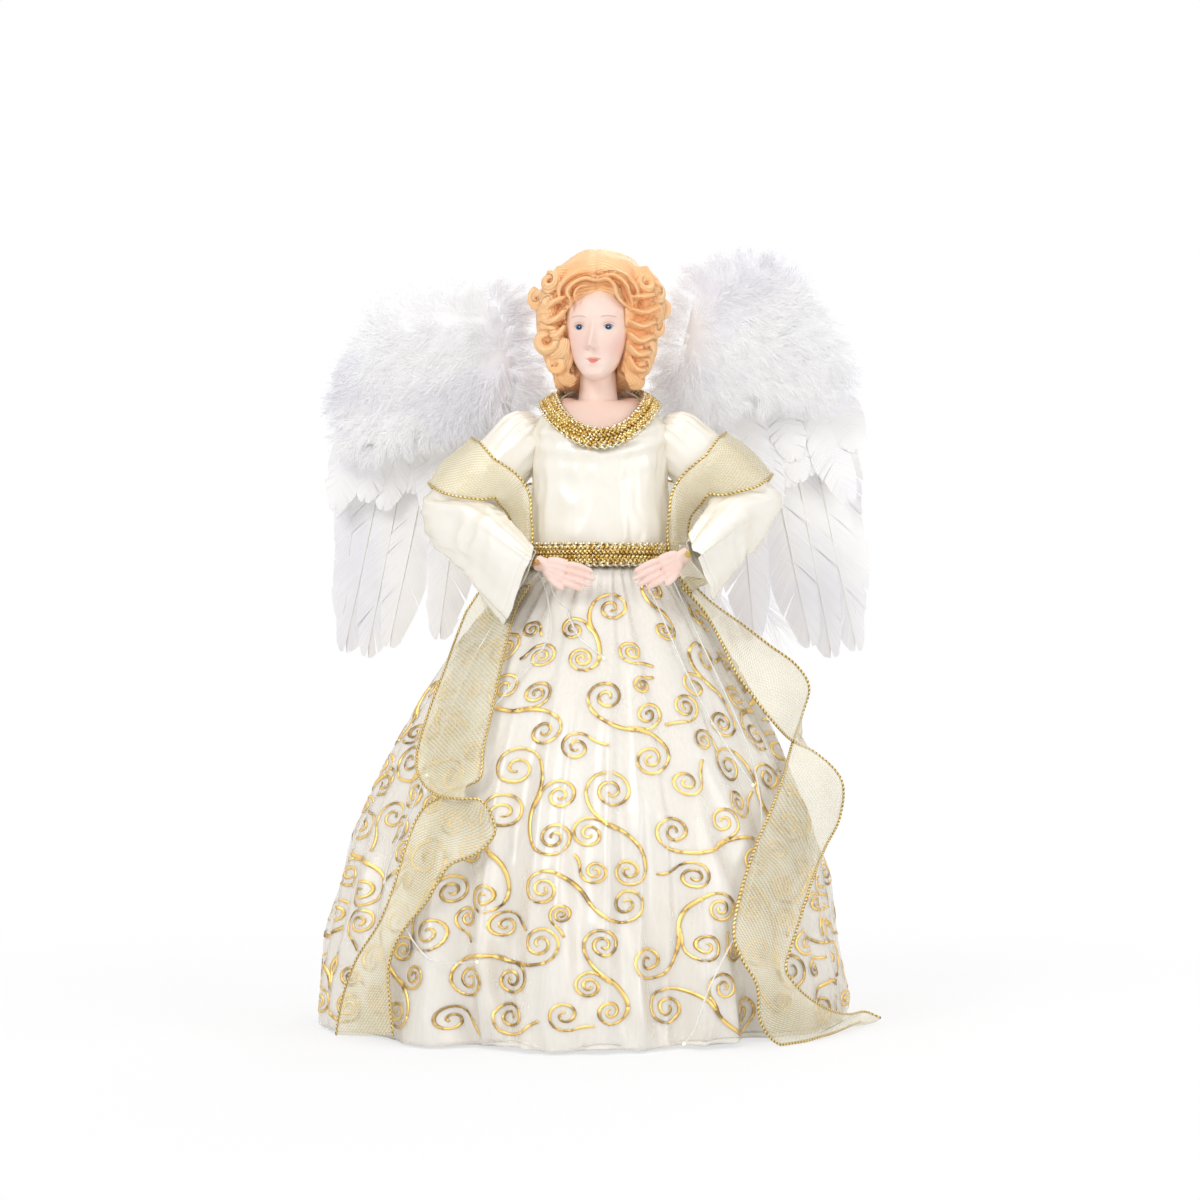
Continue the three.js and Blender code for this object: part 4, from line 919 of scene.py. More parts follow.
def sleeve_stations(arm):
    """Place, facing, rise, fall, half width and lean of each ring, as in the part's source."""
    shoulder, elbow, wrist = arm_points(arm)
    upper, lower = elbow - shoulder, wrist - elbow
    bend = (upper.normalized() + lower.normalized()).normalized()
    radius = SLEEVE_RADIUS
    stations = [
        (shoulder + upper * along, upper.normalized(), size * radius, size * radius, size * radius, 0)
        for along, size in ((-0.27, 0.42), (-0.18, 0.78), (-0.04, 0.97), (0.3, 1), (0.44, 1))]
    stations.append((elbow + upper * 0.06, bend, 1.06 * radius, 1.06 * radius, 1.02 * radius, 0))
    for share in (0.36, 0.58, 0.8, 0.96):
        stations.append((
            elbow + lower * share, lower.normalized(), radius + share * (arm["rise"] - radius),
            radius + share * (arm["drop"] - radius), radius + share * (arm["wide"] - radius),
            share * arm["lean"]))
    return stations


def blend_stations(stations, count):
    """Rings between the stations, on smooth curves through all their values."""
    places = curve_through([station[0] for station in stations], count)
    ways = curve_through([station[1] for station in stations], count)
    sizes = curve_through([Vector(station[2:5]) for station in stations], count)
    leans = curve_through([Vector((station[5], 0, 0)) for station in stations], count)
    return list(zip(places, ways, sizes, leans))


def sleeve_wrinkle(name, along, turn):
    """Height of the sleeve's wrinkles, in millimetres: gathers at the top, creases at the elbow."""
    seed = 3 if name == "left" else 17
    ring = math.cos(turn), math.sin(turn)
    soft = ring_noise(*ring, 1.5, seed + 4 * along)
    crease = ring_noise(*ring, 1.1, seed + 15 * along)
    long_fold = ring_noise(*ring, 2.6, seed + 1.6 * along)
    elbow = math.exp(-((along - 0.56) / 0.2) ** 2)
    gathers = 0.75 * math.cos(15 * turn + 3 * long_fold) * (1 - smoothstep(0.12, 0.34, along))
    ridge = 1 - 2.6 * abs(crease)
    folds = 1.9 * long_fold * (0.35 + 0.65 * smoothstep(0.5, 0.95, along))
    return soft + elbow * 1.3 * (ridge - 0.5) + folds + gathers


def sleeve_piece(name, arm):
    """A bell sleeve whose cuff is cut on a slant, so that it opens towards the other hand."""
    around, rings = SLEEVE_GRID
    points = []
    uvs = []
    facing = Vector((-arm["side"] * 0.93, 0.1, -0.36)).normalized()
    for j, (place, way, size, lean) in enumerate(blend_stations(sleeve_stations(arm), rings)):
        along = j / (rings - 1)
        way = way.normalized()
        across = Vector((0, 0, 1)).cross(way).normalized()
        over = way.cross(across).normalized()
        slant = smoothstep(0.6, 1, along) / max(way.dot(facing), 0.3)
        for i in range(around):
            turn = 2 * math.pi * i / around
            tall = size.x if math.sin(turn) > 0 else size.y
            sway = arm["side"] * lean.x * max(-math.sin(turn), 0)
            puff = min(sleeve_wrinkle(name, along, turn), 1.6) - 0.5
            if CUFF_SEAM[0] < along < CUFF_SEAM[1]:
                puff -= CUFF_SEAM_DEPTH
            wide, high = (size.z + puff) * math.cos(turn) + sway, (tall + puff) * math.sin(turn)
            spread = across * wide + over * high
            shift = -spread.dot(facing) * slant
            points.append(place + spread + way * min(max(shift, -6), 9))
            uvs.append((turn * SLEEVE_RADIUS * MM, along * SLEEVE_DRAWN_LENGTH))
    points.append(sum(points[:around], Vector()) / around)
    uvs.append((0, 0))
    top = [((i + 1) % around, i, around * rings) for i in range(around)]
    piece = mesh_piece(f"{name}_sleeve_satin", points, grid_faces(around, rings, 0, True) + top, uvs)
    return modify(piece, "SOLIDIFY", "wall", thickness=SLEEVE_WALL * MM, offset=-1)


def even_turns(place, count=480):
    """Turns that are evenly spaced along a closed path."""
    ring = [place(2 * math.pi * k / count, 0, 0) for k in range(count + 1)]
    travelled = [0.0]
    for a, b in zip(ring, ring[1:]):
        travelled.append(travelled[-1] + (b - a).length)

    def turn(share):
        goal = (share % 1) * travelled[-1]
        k = max(bisect.bisect_left(travelled, goal), 1)
        part = (goal - travelled[k - 1]) / (travelled[k] - travelled[k - 1])
        return 2 * math.pi * (k - 1 + part) / count

    return turn


# Braids


def plait_lines(place, turn_at, width, depth, periods, strands, steps):
    """Closed lines of a flat plait; place(turn, across, out) gives points in millimetres."""
    lines = []
    for strand in range(strands):
        line = []
        for k in range(periods * steps):
            share = k / (periods * steps)
            angle = 2 * math.pi * (periods * share + strand / strands)
            line.append(place(turn_at(share), width * math.sin(angle), depth * math.sin(2 * angle)))
        lines.append(line)
    return lines


GLUE = 0.3
BRAID_HALF_THICKNESS = 1.7
BRAID_HALF_WIDTH = 4.5
COLLAR_HALF_WIDTH = 20.6
COLLAR_FRONT = 22.4
COLLAR_BACK = 15.5
BRAID_STEPS = 10
BRAID_SIDES = 6


def waist_place(turn, across, out):
    reach = OVERLAY_OUTER + GLUE + BRAID_HALF_THICKNESS + out
    return Vector((
        (WAIST_HALF_WIDTH + reach) * math.sin(turn), -(WAIST_HALF_DEPTH + reach) * math.cos(turn),
        SKIRT_HEIGHT + GLUE + BRAID_HALF_WIDTH + across))


def collar_place(turn, across, out):
    """The collar's path, as in the part's source."""
    front = max(math.cos(turn), 0)
    back = max(-math.cos(turn), 0)
    steep = math.radians(34 + 34 * front + 10 * back)
    outward = Vector((math.sin(turn), -math.cos(turn), 0))
    up = Vector((0, 0, 1))
    middle = Vector((
        COLLAR_HALF_WIDTH * math.sin(turn), -COLLAR_FRONT * front + COLLAR_BACK * back,
        SKIRT_HEIGHT + TORSO_HEIGHT - 5 - 16.5 * front ** 1.5 + 2.4 * back))
    wide = outward * math.cos(steep) - up * math.sin(steep)
    high = outward * math.sin(steep) + up * math.cos(steep)
    return middle - wide * across + high * out


def braid_pieces(name, place, periods, node, shader, bright):
    """Two plaited rows with a scalloped cord along each edge, on a woven core."""
    turn_at = even_turns(place)

    def rows(offsets, width, depth, lift, strands):
        lines = []
        for offset in offsets:
            def moved(turn, across, out):
                return place(turn, across + offset, out + lift)

            lines += plait_lines(moved, turn_at, width, depth, periods, strands, BRAID_STEPS)
        return lines

    plait = tubes_piece(f"{name}_plait", rows((-1.7, 1.7), 1.35, 0.8, 0.1, 3), 0.6, BRAID_SIDES, True)
    dress(plait, "dress", "gold_braid", shader, node)
    edging = tubes_piece(
        f"{name}_edge_loops", rows((-3.6, 3.6), 0.75, 0.7, -0.1, 2), 0.55, BRAID_SIDES, True)
    dress(edging, "dress", "gold_braid", bright, node)
    section = [(-4.1, -0.6), (0, -0.9), (4.1, -0.6), (4.1, -0.1), (0, 0.15), (-4.1, -0.1)]
    around = 120
    points = [
        place(turn_at(i / around), across, out - 0.5) for i in range(around) for across, out in section]
    core = turn_outward(mesh_piece(
        f"{name}_braid_core", points, grid_faces(len(section), around, 0, True, True)))
    dress(core, "dress", "gold_braid", shader, node)


# Ribbon


def photo_place(pixel, depth):
    """Where a pixel of the photograph lies at a depth y, in millimetres."""
    reach = (CAMERA_DISTANCE + depth) / FOCAL_PIXELS
    return Vector((
        (pixel[0] - PHOTO_PIXELS / 2) * reach, depth,
        CAMERA_HEIGHT - (pixel[1] - PHOTO_PIXELS / 2) * reach))


# How far out towards the skirt's side a tail may lie, and how low
SKIRT_RIM_SHARE = 0.985
TAIL_LOWEST = 1.2


def on_skirt_front(pixel, lift):
    """Where a pixel of the photograph meets the skirt's crests, raised by a lift."""
    depth = -40
    for _ in range(24):
        place = photo_place(pixel, depth)
        drop = min(max((SKIRT_HEIGHT - place.z) / (SKIRT_HEIGHT - HEM_CLEARANCE), 0), 1)
        slope = math.sin(drop * math.pi / 2)
        half_width, half_depth = skirt_size(slope, OVERLAY_OUTER + FOLD_DEPTH * drop + lift)
        share = (place.x - HEM_SWING * math.sqrt(slope)) / half_width
        depth = -half_depth * math.sqrt(1 - min(abs(share), SKIRT_RIM_SHARE) ** 2)
    place = photo_place(pixel, depth)
    place.z = max(place.z, TAIL_LOWEST)
    return place


# Pairs of edge pixels down each tail, and the lift over the skirt in millimetres
LEFT_TAIL_PIXELS = [
    ((466, 612), (530, 585), 2), ((457, 635), (517, 606), 2), ((443, 674), (507, 640), 2.2),
    ((431, 705), (499, 676), 2.2), ((420, 740), (491, 716), 2.6), ((416, 764), (483, 750), 3.4),
    ((422, 782), (482, 768), (4.4, 3.6)), ((437, 795), (479, 779), (6, 3)),
    ((459, 799), (468, 785), (7.6, 2.6)),
    ((480, 800), (450, 791), (7, 2.4)), ((491, 814), (437, 799), (5, 2.4)),
    ((495, 833), (424, 808), (3.4, 2.4)),
    ((476, 854), (415, 822), (2.6, 2.6)), ((449, 866), (407, 843), 2.4),
    ((426, 903), (394, 886), 2.6), ((401, 934), (380, 922), 3.4), ((389, 966), (356, 960), 3),
    ((390, 1002), (342, 1000), 2.4), ((393, 1036), (336, 1038), 2),
]
RIGHT_TAIL_PIXELS = [
    ((686, 577), (681, 586), 2.4), ((711, 602), (703, 610), 2.8), ((743, 625), (721, 641), 3.4),
    ((769, 645), (737, 674), 4.2), ((796, 665), (756, 700), 5), ((809, 686), (775, 724), 5.6),
    ((803, 712), (794, 742), 5.6), ((792, 744), (816, 753), 5.2), ((783, 777), (842, 781), 4.6),
    ((770, 813), (840, 817), 3.6), ((757, 843), (826, 846), 3), ((746, 874), (813, 878), 2.6),
    ((737, 908), (800, 919), 2.4), ((734, 938), (789, 954), 2.6), ((743, 961), (786, 970), 3.4),
    ((757, 985), (800, 990), 4), ((760, 1020), (826, 1008), 3.4), ((778, 1048), (848, 1014), 3),
    ((822, 1054), (867, 1012), 3), ((860, 1043), (881, 1018), 3),
]

# Place along the upper arm, degrees round it, lift as a share of the width, and how far it is spread
ARM_WRAP_SHARES = [
    (0.78, -120, 0.2, 1), (0.7, -70, 0.06, 1), (0.66, -10, 0.04, 1), (0.64, 45, 0.02, 1),
    (0.56, 85, 0.08, 0.75), (0.46, 118, 0.06, 0.5),
]
# Out, forward and up as shares of the torso's sizes, and how far the ribbon is spread
CROOK_SHARES = [(1.15, 0.44, 0.25, 0.55), (1.2, 0.5, 0.06, 0.6), (1.5, 0.6, -0.11, 0.66)]
RIBBON_WIDTH = 25
RIBBON_LIFT = 2.2
RIBBON_WALL = 0.16
RIBBON_ACROSS = 13
OVER_SECTIONS = 90
TAIL_SECTIONS = 110
# The section over the arm at which the strip from the back ends and the one down the skirt begins
RIBBON_PART = 21
# Where each strip starts and ends, for the right side; these places go to dress_blend, which does not use
# them
RIBBON_BENDS = {"over": ((18, 10, 215), (40, 10, 215)), "tail": ((40, -15, 199), (40, -15, 178))}


def arm_ribbon_stations(arm):
    """Middle, outward way and spread of the ribbon round an arm, as in the part's source."""
    shoulder, elbow, _ = arm_points(arm)
    along = elbow - shoulder
    front = Vector((0, -1, 0))
    top = along.normalized().cross(front).normalized()
    if top.z < 0:
        top.negate()
    stations = []
    for share, wrap, lift, spread in ARM_WRAP_SHARES:
        outward = top * math.cos(math.radians(wrap)) + front * math.sin(math.radians(wrap))
        reach = SLEEVE_RADIUS + RIBBON_LIFT + lift * RIBBON_WIDTH
        stations.append((shoulder + along * share + outward * reach, outward, spread))
    for out, forward, up, spread in CROOK_SHARES:
        middle = Vector((
            arm["side"] * out * CHEST_HALF_WIDTH, -forward * CHEST_HALF_DEPTH,
            SKIRT_HEIGHT + up * TORSO_HEIGHT))
        stations.append((middle, Vector((arm["side"] * 0.8, -0.6, 0)), spread))
    return stations


def ribbon_sections(arm, count):
    """Edge pairs from the middle of the back over one arm to the waist."""
    back = Vector((0, WAIST_HALF_DEPTH + OVERLAY_OUTER + 3.4 + 2, SHOULDER[2] - SLEEVE_RADIUS * 1.7))
    stations = [(back, Vector((0, 1, 0)), 1), *arm_ribbon_stations(arm)]
    middles = curve_through([station[0] for station in stations], count)
    outwards = curve_through([station[1] for station in stations], count)
    spreads = curve_through([Vector((station[2], 0, 0)) for station in stations], count)
    frames = frames_along(middles)
    sections = []
    upright = Vector((0, 0, 1))
    for k, (middle, outward, spread, (tangent, _, _)) in enumerate(
            zip(middles, outwards, spreads, frames)):
        outward = (outward - tangent * outward.dot(tangent)).normalized()
        across = tangent.cross(outward).normalized() * arm["side"]
        across = across.lerp(upright, 1 - smoothstep(0, 0.14, k / count)).normalized()
        across *= RIBBON_WIDTH / 2 * spread.x
        sections.append((middle - across, middle + across))
    return sections


def tail_sections(pixels, count):
    """Edge pairs down a tail, on smooth curves through its pixels."""
    lifts = [lift if isinstance(lift, tuple) else (lift, lift + 0.6) for _, _, lift in pixels]
    edges = (
        curve_through([on_skirt_front(row[k], lift[k]) for row, lift in zip(pixels, lifts)], count)
        for k in (0, 1))
    return list(zip(*edges))


def ribbon_piece(name, sections, seed, before_start, edge_radius):
    """A strip of ribbon between edge pairs, with soft waves across it, and its two twisted edges."""
    lowest = edge_radius * 1.3
    points = []
    uvs = []
    travelled = before_start
    previous = None
    for j, (first, second) in enumerate(sections):
        middle = (first + second) / 2
        travelled += (middle - previous).length if previous else 0
        previous = middle
        after = sections[min(j + 1, len(sections) - 1)]
        before = sections[max(j - 1, 0)]
        along = (after[0] + after[1] - before[0] - before[1]).normalized()
        normal = (second - first).cross(along).normalized()
        if normal.y > 0:
            normal.negate()
        for i in range(RIBBON_ACROSS):
            share = i / (RIBBON_ACROSS - 1)
            place = first.lerp(second, share)
            bow = math.sin(math.pi * share)
            wave = noise.noise(Vector((share * 1.6, travelled / 17, seed)))
            spot = place + normal * (bow * (1.0 + 1.6 * wave))
            spot.z = max(spot.z, lowest)
            points.append(spot)
            uvs.append((share * RIBBON_WIDTH * MM, travelled * MM))
    piece = mesh_piece(name, points, grid_faces(RIBBON_ACROSS, len(sections)), uvs)
    modify(piece, "SOLIDIFY", "wall", thickness=RIBBON_WALL * MM, offset=0)
    lines = [[Vector((spot.x, spot.y, max(spot.z, lowest))) for spot in line] for line in zip(*sections)]
    edges = tubes_piece(f"{name}_edges", lines, edge_radius, 7)
    return piece, edges, travelled - before_start


# Arms inside the sleeves, hands and beads

HAND_LENGTH = 27
PALM_HALF_WIDTH = 5.4
FINGER_RADIUS = 1.35
HAND_GRAIN = 0.28
BEAD_RADIUS = 1.3
ROD_SIDES = 14
PALM_RINGS = 14
FINGER_RINGS = 22
# Places along the hand's length and across the palm's half width, and the thumb's lift in millimetres
KNUCKLE_SHARES = (-0.42, -0.05, 0.32, 0.62)
FINGER_SHARES = [
    [(0.5, -0.55), (0.72, -0.58), (0.9, -0.5)], [(0.5, -0.1), (0.75, -0.1), (0.97, -0.03)],
    [(0.5, 0.38), (0.74, 0.4), (0.94, 0.48)], [(0.5, 0.8), (0.68, 0.86), (0.84, 0.92)],
]
THUMB_SHARES = [(0.26, 0.5, 0.2), (0.42, 1.02, 1.0), (0.58, 1.3, 0.9)]


def hand_way(arm):
    inward, forward, drop = arm["hand"]
    return Vector((-arm["side"] * inward, -forward, -drop)).normalized()


def hand_basis(arm):
    """Along the fingers, and downwards across the palm."""
    way = hand_way(arm)
    down = way.cross(Vector((0, -1, 0))).normalized()
    if down.z > 0:
        down.negate()
    return way, down


def joined(name, parts):
    """Joins objects into one."""
    deselect()
    for part in parts:
        part.select_set(True)
    bpy.context.view_layer.objects.active = parts[0]
    bpy.ops.object.join()
    piece = bpy.context.object
    piece.name = name
    piece.data.name = name
    deselect()
    return piece


def round_ends(share, slope, least):
    """1 along the middle of a rod, falling in a round to both ends."""
    return math.sin(math.pi / 2 * min(1, slope * share + least, slope * (1 - share) + least)) ** 0.6


def tapered(radius, fall):
    return lambda share: radius - fall * share


def finger_radius(share):
    """A finger's radius along it, a little thicker at its joints."""
    return FINGER_RADIUS * (1.04 - 0.26 * share + 0.06 * math.cos(share * 13))


def rod_piece(line, radius):
    """A closed tube with rounded ends along a line; radius is a function of the share along."""
    return tubes_piece(
        "rod", [line], lambda share: radius(share) * round_ends(share, 4.5, 0.03), ROD_SIDES)


def hand_piece(name, arm):
    """A moulded hand: palm, four fingers and thumb, run together and smoothed."""
    wrist = arm_points(arm)[2]
    way, down = hand_basis(arm)
    back = way.cross(down).normalized()
    if back.y > 0:
        back.negate()

    def rod(places, count, radius):
        """A rod through places given as shares along and across the hand, and a lift."""
        line = [
            wrist + way * (along * HAND_LENGTH) + down * (lower * PALM_HALF_WIDTH) + back * lift
            for along, lower, lift in places]
        return rod_piece(curve_through(line, count), radius)

    parts = [rod([(0.03, 0, 0), (0.16, 0.02, 0), (0.32, 0.05, 0)], PALM_RINGS, tapered(3.1, 0.4))]
    for lower in KNUCKLE_SHARES:
        places = [(0.2, lower * 0.4, 0.2), (0.36, lower, 0.4), (0.54, lower * 1.1, 0.2)]
        parts.append(rod(places, PALM_RINGS, tapered(2.3, 0.5)))
    for first, second, third in FINGER_SHARES:
        parts.append(rod([(*first, 0), (*second, 0.45), (*third, -0.5)], FINGER_RINGS, finger_radius))
    parts.append(rod(THUMB_SHARES, FINGER_RINGS, tapered(1.75, 0.6)))
    return run_together(joined(f"{name}_hand_moulding", parts), HAND_GRAIN * MM, 7)


def hand_shader(pale, flushed):
    shader = Shader("hand_plastic", Specular_IOR_Level=0.45)
    place = shader.place()
    cloud = shader.grain(place, 160, 2)
    fine = shader.grain(place, 900, 2)
    blush = shader.mix(cloud.edge(0.35, 0.7), flushed, pale)
    shader.set(Base_Color=blush, Roughness=0.38 + 0.12 * fine)
    return shader.bumped(fine, 0.00002, 0.4)


def bead_shader(name, colour):
    shader = Shader(name, Transmission_Weight=0.45, IOR=1.5, Coat_Weight=0.6)
    cloud = shader.grain(shader.place(), 500, 2)
    shader.set(Base_Color=shader.mix(cloud, tuple(0.7 * part for part in colour), colour))
    shader.set(Roughness=0.08 + 0.1 * cloud)
    return shader


LIMB_RINGS = 30
LIMB_SIDES = 24


def padded_limb(name, start, end, first, last, body, slot, shader, node):
    """A stuffed limb between two points, a little crowned along its length."""
    def radius(share):
        crown = 0.94 + 0.06 * math.sin(math.pi * share)
        return (first + (last - first) * share) * crown * round_ends(share, 7, 0.05)

    line = [start.lerp(end, k / LIMB_RINGS) for k in range(LIMB_RINGS + 1)]
    piece = tubes_piece(name, [line], radius, LIMB_SIDES)
    dress(piece, body, slot, shader, node)


# Head

FACE_MIDDLE = (0.45, 0)
# How far the nose leans to the side of the face's middle, in millimetres
NOSE_LEAN = 0.85
FACE_TURN = math.radians(-8)
FACE_GRID = (220, 190)
# Height, half width, front and back reach of the face's rings, in millimetres
FACE_RINGS = [
    (251.3, 0.5, -17.2, -15.5), (251.6, 2.0, -19.4, -13.5), (252.4, 3.7, -21.3, -10),
    (253.8, 5.2, -22.1, -6),
    (255.8, 6.9, -22.0, -3), (258.4, 8.6, -22.1, 0), (261.5, 10.1, -22.3, 2), (265.5, 11.5, -22.5, 4),
    (270, 12.5, -22.5, 5), (276, 12.9, -22.5, 5), (282, 12.7, -21.3, 5), (288, 11.2, -18.2, 4),
    (293, 8.5, -13, 2),
]
# Place across, height, forward lift and spreads of the face's soft forms
FACE_FORMS = [
    (5.85, 272.2, -1.55, 2.9, 2.2), (5.85, 271.9, 0.85, 1.9, 1.25), (5.6, 276.3, 0.4, 3.4, 1.3),
    (7.2, 264.6, 0.7, 3.0, 3.2), (1.95, 263.9, 0.95, 0.85, 0.8), (0, 260.1, 0.85, 2.1, 0.6),
    (0, 257.7, 1.05, 1.75, 0.75), (0, 258.9, -0.45, 2.6, 0.26), (0, 261.6, -0.2, 0.6, 0.9),
    (0, 255.7, -0.55, 2.8, 0.8), (0, 253.6, 0.7, 2.3, 1.3), (0, 282, 0.5, 6, 4),
]


def along_table(table, place):
    """Smooth values of a table's rows at a place in its first column."""
    place = min(max(place, table[0][0]), table[-1][0])
    i = next(k for k in range(len(table) - 1) if table[k + 1][0] >= place)
    rows = [table[max(i - 1, 0)], table[i], table[i + 1], table[min(i + 2, len(table) - 1)]]
    share = (place - rows[1][0]) / (rows[2][0] - rows[1][0])
    result = []
    for a, b, c, d in zip(*[row[1:] for row in rows]):
        low, high = (c - a) / 2, (d - b) / 2
        if (b - a) * (c - b) <= 0:
            low = 0
        if (c - b) * (d - c) <= 0:
            high = 0
        result.append(between(b, c, low, high, share))
    return result


def face_lift(x, z):
    """How far the features stand forward of the face's rings."""
    lift = 0
    x += NOSE_LEAN * math.exp(-((z - 265) / 4.2) ** 2)
    for across, height, rise, wide, tall in FACE_FORMS:
        lift += rise * math.exp(-((abs(x) - across) / wide) ** 2 - ((z - height) / tall) ** 2)
    down = (275.5 - z) / 11
    bridge = 0.5 + 4.2 * min(max(down, 0), 1) ** 1.2
    if z > 275.5:
        bridge *= math.exp(-((z - 275.5) / 2.5) ** 2)
    tip = smoothstep(262.5, 264.5, z)
    width = 1.15 + 0.65 * min(max(down, 0), 1)
    return lift + bridge * tip * math.exp(-(x / width) ** 2)


def face_piece():
    """The face and jaw, with the place across and height of each point as its UV, in millimetres."""
    around, up = FACE_GRID
    points = []
    uvs = []
    low, high = FACE_RINGS[0][0], FACE_RINGS[-1][0]
    turn = Matrix.Rotation(FACE_TURN, 3, "Z")
    for j in range(up):
        share = j / (up - 1)
        z = low + (high - low) * (share if share > 0.1 else share * (0.4 + 6 * share))
        wide, front, back = along_table(FACE_RINGS, z)
        middle = (front + back) / 2
        reach = (back - front) / 2
        for i in range(around):
            angle = 2 * math.pi * i / around
            angle -= 0.28 * math.sin(angle) * max(math.cos(angle), 0)
            sine, cosine = math.sin(angle), math.cos(angle)
            x = wide * math.copysign(abs(sine) ** 0.94, sine)
            y = middle - reach * math.copysign(abs(cosine) ** 0.82, cosine)
            y -= face_lift(x, z) * smoothstep(0, 0.45, cosine)
            place = turn @ Vector((x, y, 0))
            points.append((place.x + FACE_MIDDLE[0], place.y + FACE_MIDDLE[1], z))
            uvs.append((x, z - 270) if cosine > 0 else (40, 40))
    return turn_outward(mesh_piece("painted_face", points, capped_rings(around, up), uvs))


def face_shader():
    """Skin with painted eyes, brows, lips and blush; the UV holds millimetres across and up."""
    shader = Shader("painted_face", Specular_IOR_Level=0.42)
    place = shader.place()
    across, up, _ = shader.split(shader.uv())
    side = abs(across)
    cloud = shader.grain(place, 120, 2)
    fine = shader.grain(place, 900, 2)

    def oval(x, y, wide, tall, soft=0.14):
        size = ((x / wide) ** 2 + (y / tall) ** 2) ** 0.5
        return 1 - size.edge(1 - soft, 1 + soft)

    def arc(x, y, bend, wide, thick):
        """A drawn line that bows up by bend times x squared, and fades out past its half width."""
        return (1 - (abs(x ** 2 * bend + y) / thick).edge(0.5, 1.35)) * (1 - abs(x).edge(0.78 * wide, wide))

    skin = shader.mix(cloud.edge(0.3, 0.7), (0.93, 0.70, 0.60), (0.95, 0.745, 0.65))
    blush = oval(side - 7.6, up + 5.0, 4.4, 4.0, 0.85)
    skin = shader.mix(blush * 0.34, skin, (0.88, 0.48, 0.43))
    eye_x, eye_y = side - 5.85, up - 1.9
    lid = oval(eye_x, eye_y - 0.5, 2.9, 1.9, 0.4)
    skin = shader.mix(lid * 0.42, skin, (0.80, 0.47, 0.42))
    brow = arc(side - 5.9, up - 6.2, 0.055, 3.2, 0.26)
    skin = shader.mix(brow * 0.5, skin, (0.50, 0.22, 0.17))
    crease = arc(eye_x, eye_y - 1.95, 0.17, 2.4, 0.17)
    skin = shader.mix(crease * 0.5, skin, (0.55, 0.28, 0.24))
    skin = shader.mix(oval(eye_x, eye_y, 1.85, 1.05), skin, (0.62, 0.70, 0.78))
    skin = shader.mix(oval(eye_x, eye_y - 0.05, 1.4, 1.1, 0.22), skin, (0.045, 0.17, 0.34))
    skin = shader.mix(oval(eye_x + 0.15, eye_y + 0.0, 1.0, 0.92, 0.3), skin, (0.012, 0.018, 0.03))
    skin = shader.mix(oval(eye_x + 0.15, eye_y - 0.15, 0.24, 0.22, 0.4), skin, (0.62, 0.64, 0.66))
    lash = arc(eye_x, eye_y - 1.2, 0.24, 2.2, 0.2)
    skin = shader.mix(lash * 0.8, skin, (0.12, 0.07, 0.06))
    lip_up = up + 10.9
    wide_lip = 1 - (side / 3.0).edge(0.82, 1.0)
    top = lip_up - 0.95 * (1 - (side / 3.1) ** 2) - 0.2 * (side / 0.9).least(1) + 0.1
    upper_lip = (1 - top.edge(-0.12, 0.12)) * lip_up.edge(-0.1, 0.1) * wide_lip
    base = lip_up + 1.45 * (1 - (side / 2.2) ** 2)
    lower_lip = (
        base.edge(-0.15, 0.15) * (1 - lip_up.edge(-0.1, 0.1)) * (1 - (side / 2.2).edge(0.85, 1.0)))
    skin = shader.mix(upper_lip * 0.62, skin, (0.85, 0.34, 0.27))
    skin = shader.mix(lower_lip * 0.85, skin, (0.84, 0.20, 0.15))
    seam = (1 - (abs(lip_up - 0.14 * side) / 0.13).edge(0.4, 1.3)) * (1 - (side / 3.4).edge(0.82, 1.0))
    skin = shader.mix(seam * 0.55, skin, (0.50, 0.12, 0.10))
    nostril = oval(abs(across + NOSE_LEAN) - 1.15, up + 7.05, 0.5, 0.26, 0.5)
    skin = shader.mix(nostril * 0.4, skin, (0.60, 0.28, 0.22))
    shader.set(Base_Color=skin)
    paint = oval(eye_x, eye_y, 1.95, 1.15).most(upper_lip).most(lower_lip)
    shader.set(Roughness=0.42 + 0.1 * fine - 0.2 * paint)
    return shader.bumped(fine, 0.000015, 0.4)


NECK_SIDES = 96
# Height, radius and place from front to back of the neck's rings, in millimetres
NECK_RINGS = [
    (258, 6.6, -4.6), (254, 6.7, -4.2), (250, 6.9, -3.7), (247, 7.15, -3.3), (244.6, 7.5, -3.1),
    (243.8, 7.9, -3),
]
PLATE_RINGS = 24
PLATE_WALL = 0.6
# How far the shoulder plate lies under the satin
PLATE_DEPTH = 0.9


def neck_piece():
    """The neck and the shoulder plate under the collar."""
    turns = [2 * math.pi * i / NECK_SIDES for i in range(NECK_SIDES)]
    rings = [
        [Vector((radius * math.sin(turn) - 0.8, y - radius * math.cos(turn), z)) for turn in turns]
        for z, radius, y in NECK_RINGS]
    base = rings[-1]
    for k in range(1, PLATE_RINGS + 1):
        share = k / PLATE_RINGS
        ring = []
        for i, turn in enumerate(turns):
            end = collar_place(turn, 0, 0).z - 3
            start = 247 - 3.6 * max(math.cos(turn), 0)
            height = (start + (end - start) * share - SKIRT_HEIGHT) / TORSO_HEIGHT
            wide, deep = torso_size(height)
            torso = Vector((
                (wide - PLATE_DEPTH) * math.sin(turn), -(deep - PLATE_DEPTH) * math.cos(turn),
                SKIRT_HEIGHT + height * TORSO_HEIGHT))
            ring.append(base[i].lerp(torso, smoothstep(-0.12, 0.42, share)))
        rings.append(ring)
    points = [point for ring in rings for point in ring]
    piece = mesh_piece("neck_and_shoulders", points, grid_faces(NECK_SIDES, len(rings), 0, True))
    return modify(piece, "SOLIDIFY", "wall", thickness=PLATE_WALL * MM, offset=0)


